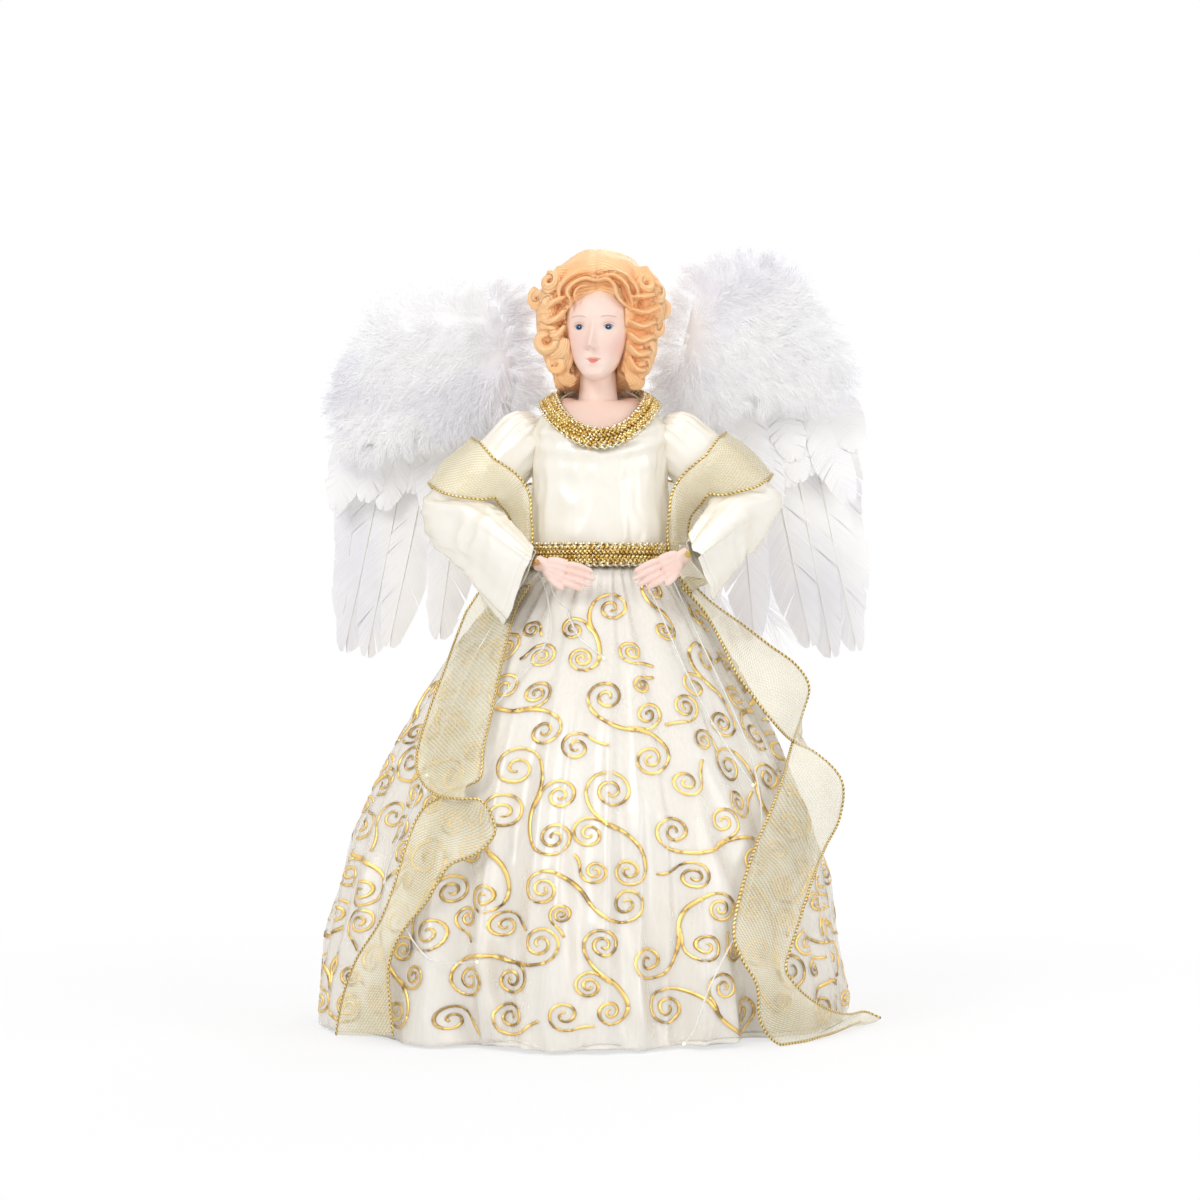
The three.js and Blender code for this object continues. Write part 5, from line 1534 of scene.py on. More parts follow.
def plain_skin_shader():
    shader = Shader("painted_skin", Specular_IOR_Level=0.42)
    place = shader.place()
    cloud = shader.grain(place, 120, 2)
    fine = shader.grain(place, 900, 2)
    shader.set(Base_Color=shader.mix(cloud.edge(0.3, 0.7), (0.93, 0.68, 0.575), (0.95, 0.725, 0.62)))
    shader.set(Roughness=0.42 + 0.1 * fine)
    return shader.bumped(fine, 0.000015, 0.4)


HAIR_MIDDLE = Vector((-0.3, 0.6, 280))
HAIR_HALF = Vector((22.6, 21.8, 24.4))
HAIR_PARTING = -1.2
CROWN_GRID = (170, 140)
LOCK_SIDES = 24
CURL_RINGS = 26
CURL_SHRINK = 0.66


def hairline(x):
    """Height of the hair's lower edge over the face, in millimetres: a low peak at the parting."""
    away = abs(x - HAIR_PARTING)
    return 285.2 - 0.18 * away - 0.034 * away ** 2 + 0.3 * math.cos(x * 1.3)


class HairBuilder:
    """Collects the hair's points and faces: a crown, tapering locks and open curls."""

    def __init__(self):
        self.points = []
        self.faces = []
        self.marks = []

    def cap(self):
        """The crown: an egg with broad soft waves and a shallow parting, open over the face."""
        around, up = CROWN_GRID
        start = len(self.points)
        for j in range(up):
            level = math.pi * (j + 0.5) / up
            for i in range(around):
                angle = 2 * math.pi * i / around
                way = Vector((
                    math.cos(level), math.sin(level) * math.sin(angle), math.sin(level) * math.cos(angle)))
                x = way.x * HAIR_HALF.x
                parting = math.exp(-((x - HAIR_PARTING) / 1.3) ** 2)
                parting *= smoothstep(-0.5, 0.15, math.cos(angle))
                height = 0.3 * math.cos(angle * 11 + 0.5 * math.sin(abs(x) / 3.4))
                height += noise.noise(way * 1.9)
                height -= 0.6 * parting
                place = Vector((x, way.y * HAIR_HALF.y, way.z * HAIR_HALF.z)) + way * height
                if place.z < -8:
                    place.x *= 1 - 0.016 * (-8 - place.z)
                if place.y < 0 and abs(x + 1.6) < 11.6 and place.z + HAIR_MIDDLE.z < hairline(x):
                    place.y = max(place.y, -9.5 - 6.5 * smoothstep(8.4, 11.6, abs(x + 1.6)))
                self.points.append(place + HAIR_MIDDLE)
        self.faces += capped_rings(around, up, start)

    def lock(self, route, size, flat=0.75, ridges=4, twist=0.0, count=46):
        """A tapering lock with comb marks along it."""
        line = curve_through(route, count)
        sides = LOCK_SIDES
        start = len(self.points)
        for k, (place, (_, side, up)) in enumerate(zip(line, frames_along(line))):
            share = k / (count - 1)
            radius = (
                size(share) if callable(size)
                else size * math.sin(math.pi * (0.08 + 0.84 * share)) ** 0.6)
            self.marks.append((place, side, radius))
            for s in range(sides):
                angle = 2 * math.pi * s / sides
                crest = 0.5 + 0.5 * math.cos(ridges * angle + twist * share)
                reach = radius * (0.84 + 0.22 * crest)
                self.points.append(
                    place + side * (reach * math.cos(angle)) + up * (reach * flat * math.sin(angle)))
        self.faces += capped_rings(sides, count, start)

    def curl(self, middle, outward, size, hand=1, thick=0.46, turns=1.15, rise=0.25):
        """An open curl that winds in towards its middle, standing a little out from the head."""
        outward = Vector(outward).normalized()
        side = outward.cross(Vector((0, 0, 1))).normalized()
        up = side.cross(outward).normalized()
        route = []
        for k in range(CURL_RINGS):
            share = k / (CURL_RINGS - 1)
            radius = size * (1 - CURL_SHRINK * share)
            angle = hand * (2 * math.pi * turns * share) + 1.2
            route.append(
                Vector(middle) + side * (radius * math.cos(angle)) + up * (radius * math.sin(angle))
                + outward * (size * rise * share))

        def radius_at(share):
            return size * thick * (0.5 + 0.65 * math.sin(math.pi * min(0.2 + 0.75 * share, 1)))

        self.lock(route, radius_at, 1.0, 3, 0, 56)


# Locks over the brow: route and half width, in millimetres
HAIR_FRINGE = [
    ([(-1.5, -18.0, 293.6), (-6.5, -19.8, 293.8), (-12.0, -18.8, 291.6), (-15.6, -16.8, 287.0),
      (-15.2, -17.0, 281.4)], 2.5),
    ([(-1.6, -21.2, 289.8), (-6.0, -22.8, 290.6), (-10.6, -22.2, 288.6), (-12.6, -20.6, 285.4),
      (-11.2, -21.0, 282.2),
      (-11.8, -20.2, 279.2)], 1.8),
    ([(-4.4, -22.0, 288.2), (-8.0, -23.0, 287.4), (-10.0, -22.6, 284.6), (-9.2, -22.2, 281.4)], 1.0),
    ([(-1.0, -18.0, 293.6), (5.5, -19.6, 293.8), (11.2, -18.2, 291.0), (14.4, -16.6, 286.4),
      (13.4, -17.0, 281.0)], 2.5),
    ([(-1.0, -21.2, 289.8), (2.8, -22.8, 290.4), (5.6, -22.6, 288.0), (6.4, -22.0, 284.8),
      (8.6, -21.0, 281.6),
      (11.4, -18.8, 279.8)], 1.8),
    ([(-0.6, -20.8, 291.6), (5.0, -22.2, 292.0), (9.8, -21.0, 288.8), (11.4, -19.4, 284.6),
      (12.8, -17.8, 280.4)], 1.9),
]
# The solid masses that the locks are cut into: route, then half width along it, in millimetres
HAIR_MASSES = [
    ([(-14, -6, 295), (-17.6, -9, 287), (-18.6, -9.6, 279), (-18.0, -9.6, 270), (-15.4, -9.6, 261),
      (-12.6, -9.6, 253)],
     [4.5, 6.4, 6.8, 6.2, 4.8, 3.0]),
    ([(14, -6, 295), (17.6, -8.4, 287), (18.8, -9.2, 279), (17.0, -9.6, 270), (15.0, -9.8, 261),
      (13.2, -10.6, 252.6)],
     [5.0, 6.8, 6.8, 6.0, 5.2, 3.6]),
    ([(10.6, -12, 289), (13.2, -13.0, 282), (13.8, -13.0, 273), (12.8, -12.4, 264), (10.8, -10.8, 255)],
     [2.4, 3.3, 3.5, 3.6, 3.2]),
    ([(-14, -13, 284), (-11, -16.2, 288.6), (-6, -18.2, 290.6), (-1, -18.4, 290.4), (5, -18.2, 290.6),
      (10, -16.2, 288.6), (13, -13, 284)], [2.6, 3.0, 3.0, 2.6, 3.0, 3.0, 2.6]),
    ([(-12, -5, 257), (-9, 6, 254), (0, 9.5, 252.6), (9, 6, 254), (12, -5, 257)],
     [5.2, 6.2, 6.4, 6.2, 5.2]),
]
# Locks at the sides of the face: route and half width, in millimetres
HAIR_WAVES = [
    ([(-13.0, -18.4, 284), (-17.6, -16.2, 282), (-20.8, -12.8, 279.4), (-24.4, -7, 279.2)], 2.5),
    ([(-13.2, -18.2, 279), (-16.8, -16.6, 275.4), (-21.0, -13.2, 274.6), (-24.2, -8, 274.6)], 2.5),
    ([(-13.6, -17.4, 273), (-16.4, -16.4, 269.4), (-20.6, -13.6, 269.8), (-23.4, -9, 271)], 2.3),
    ([(-13.4, -16.4, 268), (-14.6, -16.2, 262.6), (-18.4, -13.8, 260.4), (-20.6, -11.4, 263)], 2.4),
    ([(-13.2, -15, 266), (-13.0, -14.8, 260), (-15.0, -13, 255.4), (-12.2, -12.4, 251.6),
      (-9.6, -12.4, 253.4)], 2.3),
    ([(-16.0, -12, 262), (-16.0, -11.6, 256.6), (-12.8, -11.2, 252.6), (-10.4, -11, 249.6)], 2.4),
    ([(11.8, -18.4, 284), (16.0, -16.6, 284), (20.4, -12.8, 285.2), (22.6, -8, 284)], 2.6),
    ([(11.4, -18.6, 279.4), (16.2, -16.6, 278), (21.0, -12.8, 280), (24.6, -7, 280.6)], 2.7),
    ([(11.2, -18.2, 274.6), (15.4, -16.6, 272.6), (19.8, -13.4, 274.4), (23.4, -8, 275)], 2.7),
    ([(11.2, -17.4, 270), (14.8, -16.2, 267), (18.6, -13.8, 268.6), (21.6, -9, 270)], 2.7),
    ([(11.2, -16.6, 265.4), (14.0, -15.6, 261.8), (17.6, -13.4, 262.6), (19.6, -9, 264)], 2.8),
    ([(11.0, -15.6, 261), (13.2, -14.6, 256.4), (16.6, -12.4, 256), (16.4, -10.6, 259)], 2.8),
    ([(10.8, -14, 258), (12.4, -13.2, 253.4), (14.4, -11.6, 250.4), (11.4, -11, 249.4)], 2.5),
]
# Open curls: middle, the way they face, size and the side they wind to
HAIR_CURLS = [
    ((-19.6, -15.4, 290.2), (-0.5, -1, 0.2), 3.5, 1), ((-23.6, -10.6, 284.2), (-0.6, -1, 0), 4.0, -1),
    ((-20.8, -14.4, 267.4), (-0.35, -1, -0.1), 5.4, 1), ((-16.6, -14.8, 258.2), (-0.3, -1, -0.1), 3.4, -1),
    ((18.2, -15.6, 289.6), (0.5, -1, 0.3), 3.3, -1), ((22.0, -12.6, 286.0), (0.7, -1, 0.1), 3.4, 1),
    ((23.8, -9.8, 280.6), (0.7, -1, 0), 4.0, -1), ((21.6, -12.6, 272.4), (0.6, -1, 0), 3.4, 1),
    ((18.4, -13.6, 264.6), (0.5, -1, 0), 3.2, -1), ((16.4, -13.6, 257.0), (0.4, -1, -0.1), 3.2, 1),
]
BACK_LOCKS = 14
NAPE_CURLS = 9
# Height and reach of the hair's back, in millimetres
BACK_HAIR_REACH = [
    (299, 12.0), (294.5, 17.2), (289, 20.2), (283, 21.8), (276.5, 22.4), (270, 22.2), (263.5, 21.0),
    (257.5, 18.6),
    (252, 15.2),
]


def along_shares(values):
    """A function of the share along a lock, smooth through evenly spaced half widths."""
    rows = [(k / (len(values) - 1), value) for k, value in enumerate(values)]
    return lambda share: along_table(rows, share)[0]


def hair_pieces(grain):
    """The sculpted hair: crown, locks and curls run together into one casting."""
    hair = HairBuilder()
    hair.cap()
    for route, sizes in HAIR_MASSES:
        hair.lock(route, along_shares(sizes), 1, 3, 1.2)
    hair.marks.clear()
    for route, size in HAIR_FRINGE:
        hair.lock(route, size, 0.5, 3, 1.2)
    for route, size in HAIR_WAVES:
        hair.lock(route, size * 1.3, 0.42, 3, 2.0)
    for middle, outward, size, hand in HAIR_CURLS:
        hair.curl(Vector(middle) + Vector((0, 1.2, 0)), outward, size, hand)
    chance = random.Random(5)
    for column in range(BACK_LOCKS):
        turn = math.radians(80 + 200 * column / (BACK_LOCKS - 1))
        beat = chance.uniform(0, 2 * math.pi)
        route = []
        for row, (z, reach) in enumerate(BACK_HAIR_REACH):
            sway = turn + 0.085 * math.sin(1.45 * row + beat) * min(row / 2, 1)
            swell = reach + chance.uniform(-0.4, 0.5)
            route.append((swell * math.sin(sway) - 0.4, 0.4 - 0.96 * swell * math.cos(sway), z))
        hair.lock(route, chance.uniform(3.0, 3.9), 0.62, 3, 1.5, 70)
    for k in range(NAPE_CURLS):
        turn = math.radians(84 + 192 * k / (NAPE_CURLS - 1))
        height = 253 + chance.uniform(-1.5, 1.5)
        middle = Vector((15.6 * math.sin(turn) - 0.4, 0.4 - 15 * math.cos(turn), height))
        hair.curl(
            middle, (math.sin(turn), -math.cos(turn), -0.1), chance.uniform(3.4, 4.6),
            chance.choice((-1, 1)), 0.5, rise=0.1)
    piece = turn_outward(mesh_piece("sculpted_hair", hair.points, hair.faces))
    run_together(piece, grain, 9)
    mark_crests(piece)
    mark_strands(piece, hair.marks)
    return piece


def mark_crests(piece):
    """Keeps how far each point stands above its smoothed surroundings, for the painted shade in the grooves.
    """
    mesh = piece.data
    normals = [vertex.normal.copy() for vertex in mesh.vertices]
    work = bmesh.new()
    work.from_mesh(mesh)
    for _ in range(10):
        bmesh.ops.smooth_vert(
            work, verts=work.verts, factor=0.6, use_axis_x=True, use_axis_y=True, use_axis_z=True)
    smooth = [vertex.co.copy() for vertex in work.verts]
    work.free()
    crest = mesh.attributes.new("crest", "FLOAT", "POINT")
    crest.data.foreach_set("value", [
        0.5 + (vertex.co - spot).dot(normal) / (0.3 * MM)
        for vertex, spot, normal in zip(mesh.vertices, smooth, normals)])


# Comb lines to a millimetre across a lock, and to a radian round the crown
LOCK_LINES = 0.95
CROWN_LINES = 17


def mark_strands(piece, marks):
    """Keeps where each point lies across its lock, or across the combed crown, counted in comb lines."""
    tree = kdtree.KDTree(len(marks))
    for index, (place, _, _) in enumerate(marks):
        tree.insert(place, index)
    tree.balance()
    lines = []
    for vertex in piece.data.vertices:
        spot = vertex.co / MM
        _, index, distance = tree.find(spot)
        place, side, radius = marks[index]
        if distance < 1.5 * radius:
            lines.append((spot - place).dot(side) * LOCK_LINES)
        else:
            wander = 0.5 * noise.noise(spot / 6)
            turn = math.atan2(spot.z - HAIR_MIDDLE.z, 0.6 - spot.y)
            lines.append((turn + abs(spot.x) * 0.012) * CROWN_LINES + wander)
    comb = piece.data.attributes.new("comb", "FLOAT", "POINT")
    comb.data.foreach_set("value", lines)


def hair_shader(bright, deep):
    """Painted hair: fine comb lines that sweep from the parting to both sides, with painted shade in the
    comb lines and in the grooves.
    """
    shader = Shader("painted_hair", Specular_IOR_Level=0.5)
    place = shader.place()
    cloud = shader.grain(place, 90, 3)
    comb = (shader.attribute("comb") * (2 * math.pi)).maths("SINE") * 0.5 + 0.5
    fine = shader.grain(place, 700, 2)
    light = shader.mix(cloud.edge(0.35, 0.65), deep, bright)
    crest = shader.attribute("crest")
    # Painted shade: the comb lines, which the bump sinks, are darkened
    comb_shaded = shader.mix(comb * 0.34, light, (0.88, 0.44, 0.18))
    # Painted shade: points that lie below their smoothed surroundings turn a deeper orange
    shader.set(Base_Color=shader.mix(crest.edge(-0.1, 0.5), (0.88, 0.43, 0.18), comb_shaded))
    shader.set(Roughness=0.34 + 0.14 * fine)
    return shader.bumped(comb * -1, 0.00025, 0.8)


# Wings

WING_HINGE = (14, 17.56, 235.5)
WING_TILT = math.radians(9)
WING_SWEEP = math.radians(6)
WING_SPAN = 95
FEATHER_START = 11.8
FEATHER_PITCH = 0.9
FEATHER_LENGTH = 105
# Place out and up as shares of the span, degrees of lean, and length as a share of FEATHER_LENGTH
FEATHER_SHARES = [
    (0.3, 0.21, 0, 0.98), (0.42, 0.23, 2, 1.07), (0.53, 0.24, 4, 1.13), (0.63, 0.25, 6, 1.18),
    (0.72, 0.26, 9, 1.17), (0.8, 0.25, 9, 1.03), (0.86, 0.23, 7, 0.76),
]
# Width of a vane along it, as a share of the feather's
VANE_SHARES = [
    (0, 0.05), (0.08, 0.12), (0.16, 0.25), (0.38, 0.45), (0.6, 0.5), (0.82, 0.38), (0.93, 0.22), (1, 0.03)]
FLUFF_OUTLINES = {
    "left": [
        (0.2, 0.58), (0.36, 0.58), (0.58, 0.55), (0.76, 0.54), (0.84, 0.4), (0.93, 0.28), (1, 0.08),
        (1, -0.05), (0.9, -0.14), (0.6, -0.07), (0.42, -0.04), (0.3, 0.02), (0.14, 0.12)],
    "right": [
        (0.16, 0.52), (0.24, 0.65), (0.38, 0.7), (0.56, 0.7), (0.71, 0.6), (0.81, 0.44), (0.93, 0.3),
        (0.92, 0.18), (0.84, 0.09), (0.62, 0.08), (0.46, 0.08), (0.28, 0.03), (0.13, 0.1)],
}
FEATHER_ROWS = 96
FEATHER_GROUP_ROWS = (5, 13)
# How much further each feather splays outwards than its root's direction, in degrees
FEATHER_SPLAYS = [2, 5, 8, 6, 3, 1, 0]
DOWN_ROOT = (-6, 26)
FEATHER_DOWN_BARBS = 260
COVERT_COUNT = 16
VANE_COLUMNS = 7
QUILL_POINTS = 40
QUILL_RADIUS = 0.42
BARB_HALF_WIDTH = 0.12
FLUFF_FRONT = -5.5
FLUFF_BACK = 11.5
FLUFF_RINGS = 26
PLUME_BARBS = 30
LOOSE_PLUME_BARBS = 90
# Single plumes that stand off the rim: root, the way they point, and length in millimetres
LOOSE_PLUMES = {
    "left": [
        ((20, 0, 16), (-1, -0.1, -0.1), 20), ((20, 1, 26), (-1, -0.1, 0), 20),
        ((20, 0, 34), (-1, -0.1, 0.1), 18), ((22, 1, 44), (-1, 0, 0.2), 18),
        ((24, 0, 10), (-0.9, -0.1, -0.5), 20), ((30, 1, 6), (-0.4, 0, -0.9), 18),
        ((8, 2, 6), (0.5, 0, 0.9), 26), ((4, 4, 2), (0.4, 0, 0.9), 26),
        ((26, 4, 2), (0.75, 0, -0.5), 26),
    ],
    "right": [
        ((18, 0, 14), (-1, -0.1, -0.1), 20), ((18, 1, 24), (-1, -0.1, 0), 20),
        ((18, 0, 32), (-1, -0.1, 0.1), 18), ((20, 1, 42), (-1, 0, 0.2), 18),
        ((22, 0, 10), (-0.9, -0.1, -0.5), 20), ((28, 1, 8), (-0.4, 0, -0.9), 18),
        ((8, 2, 6), (0.5, 0, 0.9), 26), ((4, 4, 2), (0.4, 0, 0.9), 26),
        ((24, 4, 6), (0.75, 0, -0.6), 26), ((44, 20, -62), (0.62, 0, -0.75), 46),
        ((50, 20, -50), (0.85, 0, -0.75), 40), ((38, 20, -70), (0.3, 0, -1), 40),
    ],
}


def wing_matrix(side):
    """From the wing's own frame, outwards along X and up along Z, to the object's."""
    turn = Matrix.Rotation(side * WING_SWEEP, 3, "Z") @ Matrix.Rotation(WING_TILT, 3, "X")
    hinge = Vector((side * WING_HINGE[0], WING_HINGE[1], WING_HINGE[2]))
    return turn, hinge


def strip_piece(name, strips):
    """One piece from narrow strips, each a list of (place, half width vector)."""
    points = []
    faces = []
    for strip in strips:
        start = len(points)
        for place, half in strip[:-1]:
            points += [place - half, place + half]
        points.append(strip[-1][0])
        rows = len(strip) - 1
        faces += grid_faces(2, rows, start)
        last = start + 2 * (rows - 1)
        faces.append((last, last + 1, last + 2))
    return mesh_piece(name, points, faces)


def plume_strips(chance, root, way, spread, length, barbs, strips, droop):
    """A small downy plume: a shaft with soft barbs to both sides."""
    way = way.normalized()
    side = way.cross(Vector((0, -1, 0.2))).normalized()
    for k in range(barbs):
        share = (k + chance.random()) / barbs
        hand = 1 if k % 2 else -1
        start = root + way * (length * 0.62 * share)
        fan = hand * spread * (0.35 + 0.65 * chance.random()) * (1 - 0.45 * share)
        lift = chance.uniform(-0.3, 0.35)
        aim = (way + side * fan + Vector((0, -1, 0)) * lift).normalized()
        reach = length * (0.62 - 0.25 * share) * chance.uniform(0.7, 1.15)
        curl = Vector((chance.uniform(-0.3, 0.3), chance.uniform(-0.3, 0.3), -droop)) * reach
        across = aim.cross(Vector((chance.uniform(-1, 1), -1, chance.uniform(-1, 1)))).normalized()
        strip = []
        for s in range(5):
            part = s / 4
            place = start + aim * (reach * part) + curl * part * part
            strip.append((place, across * (BARB_HALF_WIDTH * (1 - 0.75 * part))))
        strips.append(strip)


def down_way(side, spot, away, rim, front):
    """The way the down lies: away from the wing's root in soft swirls, and straight out at the rim."""
    root = Vector((side * DOWN_ROOT[0], DOWN_ROOT[1]))
    flow = (spot - root).normalized()
    swirl = 1.1 * noise.noise(Vector((spot.x / 22, spot.y / 22, 3 if front else 8)))
    flow = Vector((
        flow.x * math.cos(swirl) - flow.y * math.sin(swirl),
        flow.x * math.sin(swirl) + flow.y * math.cos(swirl)))
    out = smoothstep(0.5, 1, rim)
    mixed = flow * (1 - out) + away * out
    return Vector((mixed.x, (-0.42 if front else 0.4) * (1 - rim), mixed.y - 0.2 * (1 - out)))


def fluff_level(outline, middle, point):
    """1 at the outline's middle, 0 on the outline."""
    direction = point - middle
    if direction.length < 1e-6:
        return 1
    best = 1e9
    count = len(outline)
    for k in range(count):
        a, b = outline[k], outline[(k + 1) % count]
        edge = b - a
        cross = direction.x * edge.y - direction.y * edge.x
        if abs(cross) < 1e-9:
            continue
        t = ((a.x - middle.x) * edge.y - (a.y - middle.y) * edge.x) / cross
        u = ((a.x - middle.x) * direction.y - (a.y - middle.y) * direction.x) / cross
        if t > 0 and -1e-6 <= u <= 1 + 1e-6:
            best = min(best, t)
    return 1 - 1 / best


def fluff_pieces(name, side, shader, settings):
    """The down: a lumpy pad, and plumes that stand out of it all over."""
    outline = [Vector((side * out * WING_SPAN, up * WING_SPAN, 0)) for out, up in FLUFF_OUTLINES[name]]
    outline = [point.to_2d() for point in curve_through([*outline, outline[0]], 60)][:-1]
    middle = sum(outline, Vector((0, 0))) / len(outline)
    turn, hinge = wing_matrix(side)
    half = (FLUFF_BACK - FLUFF_FRONT) / 2
    centre = (FLUFF_BACK + FLUFF_FRONT) / 2
    points = []
    for j in range(FLUFF_RINGS):
        angle = math.pi * (j / (FLUFF_RINGS - 1) - 0.5)
        spread = 0.82 * max(math.cos(angle), 0.02) ** 0.55
        depth = centre + half * 0.66 * math.sin(angle)
        for point in outline:
            spot = middle + (point - middle) * spread
            lump = 1.6 * noise.noise(Vector((spot.x / 14, depth / 9, spot.y / 14)))
            lump += 0.7 * noise.noise(Vector((spot.x / 5, depth / 5, spot.y / 5)))
            out = (point - middle).normalized() * (lump * math.cos(angle))
            place = Vector((spot.x + out.x, depth + lump * math.sin(angle), spot.y + out.y))
            points.append(turn @ place + hinge)
    pad = turn_outward(mesh_piece(f"{name}_down_pad", points, capped_rings(len(outline), FLUFF_RINGS)))
    dress(pad, f"{name}_wing", "down", shader, f"{name}_wing_fluff")
    chance = random.Random(21 + side)
    low_x, high_x = min(p.x for p in outline), max(p.x for p in outline)
    low_z, high_z = min(p.y for p in outline), max(p.y for p in outline)
    for layer, count, floor, ceiling, front_share in (
            ("plumes", settings.plumes, 0.1, 1.0, 0.7), ("rim", settings.rim_plumes, 0.0, 0.3, 0.55)):
        strips = []
        made = 0
        while made < count:
            spot = Vector((chance.uniform(low_x, high_x), chance.uniform(low_z, high_z)))
            level = fluff_level(outline, middle, spot)
            if not floor <= level <= ceiling:
                continue
            made += 1
            front = chance.random() < front_share
            rim = 1 - min(level, 1)
            bulge = math.sqrt(max(1 - min(rim, 1) ** 3, 0))
            depth = centre + (-1 if front else 1) * half * 0.68 * bulge
            away = (spot - middle).normalized()
            way = down_way(side, spot, away, rim, front)
            length = settings.plume_length / MM * chance.uniform(0.8, 1.2)
            length *= 1 - 0.5 * max(rim - 0.7, 0) / 0.3
            root = Vector((spot.x, depth, spot.y))
            plume_strips(chance, root, way, 1.05, length, PLUME_BARBS, strips, 0.1)
        if layer == "rim":
            for root, way, length in LOOSE_PLUMES[name]:
                root, way = (Vector((side * x, y, z)) for x, y, z in (root, way))
                plume_strips(chance, root, way, 0.75, length, LOOSE_PLUME_BARBS, strips, 0.15)
        strips = [[(turn @ spot + hinge, turn @ wide) for spot, wide in strip] for strip in strips]
        down = strip_piece(f"{name}_down_{layer}", strips)
        dress(down, f"{name}_wing", "down", shader, f"{name}_wing_fluff")


def vane_piece(name, feathers, side, chance):
    """Blades of barbs that hold together in groups; feathers are (place function, length, width)."""
    points = []
    faces = []
    uvs = []
    for at, length, width in feathers:
        for hand in (-1, 1):
            row = 0
            while row < FEATHER_ROWS:
                size = min(chance.randint(*FEATHER_GROUP_ROWS), FEATHER_ROWS - row)
                pull = chance.uniform(-0.006, 0.012)
                fold = chance.uniform(-0.25, 0.3)
                reach_out = chance.uniform(0.88, 1.06)
                start = len(points)
                for k in range(size + 1):
                    share = 0.02 + 0.95 * (row + k) / FEATHER_ROWS
                    sweep = 0.12 * (1 - 0.25 * share)
                    squeeze = pull * (0.5 - k / size)
                    end = min(share + sweep, 1.0)
                    wide = width * along_table(VANE_SHARES, min(share + sweep * 0.6, 1))[0] * reach_out
                    wide *= 0.9 if hand == side else 1.05
                    for s in range(VANE_COLUMNS):
                        part = s / (VANE_COLUMNS - 1)
                        along = share + (end - share) * part ** 1.2 + squeeze * part ** 3
                        cup = (0.9 + fold) * part * part + 0.25
                        points.append(at(hand * wide * part, along * length, cup))
                        uvs.append((share * length * MM, part * wide * MM))
                faces += grid_faces(VANE_COLUMNS, size + 1, start)
                row += size
    return mesh_piece(name, points, faces, uvs)


def covert_piece(name, side, shader, settings):
    """Short soft feathers that hang from under the down, over the roots of the long ones."""
    turn, hinge = wing_matrix(side)
    chance = random.Random(60 + side)
    feathers = []
    for k in range(COVERT_COUNT):
        share = (k + 0.5) / COVERT_COUNT
        length = chance.uniform(32, 62)
        sway = Matrix.Rotation(-side * math.radians(4 + 16 * share + chance.uniform(-5, 5)), 3, "Y")
        root = Vector((
            side * (0.2 + 0.68 * share) * WING_SPAN, 0, 24 - 4 * share + chance.uniform(-2, 3)))
        depth = FEATHER_START - 1.6 + 0.7 * (k % 3)

        def at(across, down, lift=0.0, sway=sway, root=root, depth=depth, length=length):
            place = sway @ Vector((across, 0, -down)) + root
            place.y = depth + 0.5 * lift - 1.2 * down / length
            return turn @ place + hinge

        feathers.append((at, length, settings.feather_width / MM * 0.75))
    blades = vane_piece(f"{name}_covert_feathers", feathers, side, chance)
    dress(blades, f"{name}_wing", "feather", shader, f"{name}_feather_1")


def feather_pieces(name, side, shader, quill_shader, settings):
    """Seven long feathers: vanes of many barbs that hold together in groups, and a quill in each."""
    turn, hinge = wing_matrix(side)
    chance = random.Random(40 + side)
    width = settings.feather_width / MM
    for index, (out, up, lean, long_share) in enumerate(FEATHER_SHARES):
        feather = f"{name}_feather_{index + 1}"
        length = FEATHER_LENGTH * long_share
        sway = Matrix.Rotation(-side * math.radians(lean + FEATHER_SPLAYS[index]), 3, "Y")
        depth = FEATHER_START + index * FEATHER_PITCH + 0.3
        root = Vector((side * out * WING_SPAN, 0, up * WING_SPAN))
        bow = side * chance.uniform(-2.0, 3.0)

        def at(across, down, lift=0.0):
            share = down / length
            place = sway @ Vector((across + bow * share * share, 0, -down)) + root
            place.y = depth + lift + 1.6 * math.sin(math.pi * min(max(share, 0), 1))
            return turn @ place + hinge

        blade = vane_piece(f"{feather}_vane", [(at, length, width)], side, chance)
        dress(blade, f"{name}_wing", "feather", shader, feather)
        strips = []
        for k in range(FEATHER_DOWN_BARBS):
            hand = 1 if k % 2 else -1
            share = 0.02 + 0.26 * chance.random()
            reach = chance.uniform(6, 13)
            tilt = chance.uniform(0.3, 1.0)
            lift = chance.uniform(-2.2, 0.6)
            strip = []
            for part in (0, 0.25, 0.5, 0.75, 1):
                down = share * length + reach * tilt * part + 3 * part * part
                strip.append((
                    at(hand * reach * part, down, lift * part),
                    Vector((0, 0, 1)) * (BARB_HALF_WIDTH * (1 - 0.7 * part))))
            strips.append(strip)
        tuft = strip_piece(f"{feather}_tuft", strips)
        dress(tuft, f"{name}_wing", "feather", shader, feather)
        line = [at(0, length * (-0.03 + 1.0 * k / QUILL_POINTS)) for k in range(QUILL_POINTS + 1)]
        quill = tubes_piece(
            f"{feather}_quill", [line], lambda share: QUILL_RADIUS * (1 - 0.85 * share), 8)
        dress(quill, f"{name}_wing", "feather", quill_shader, feather)


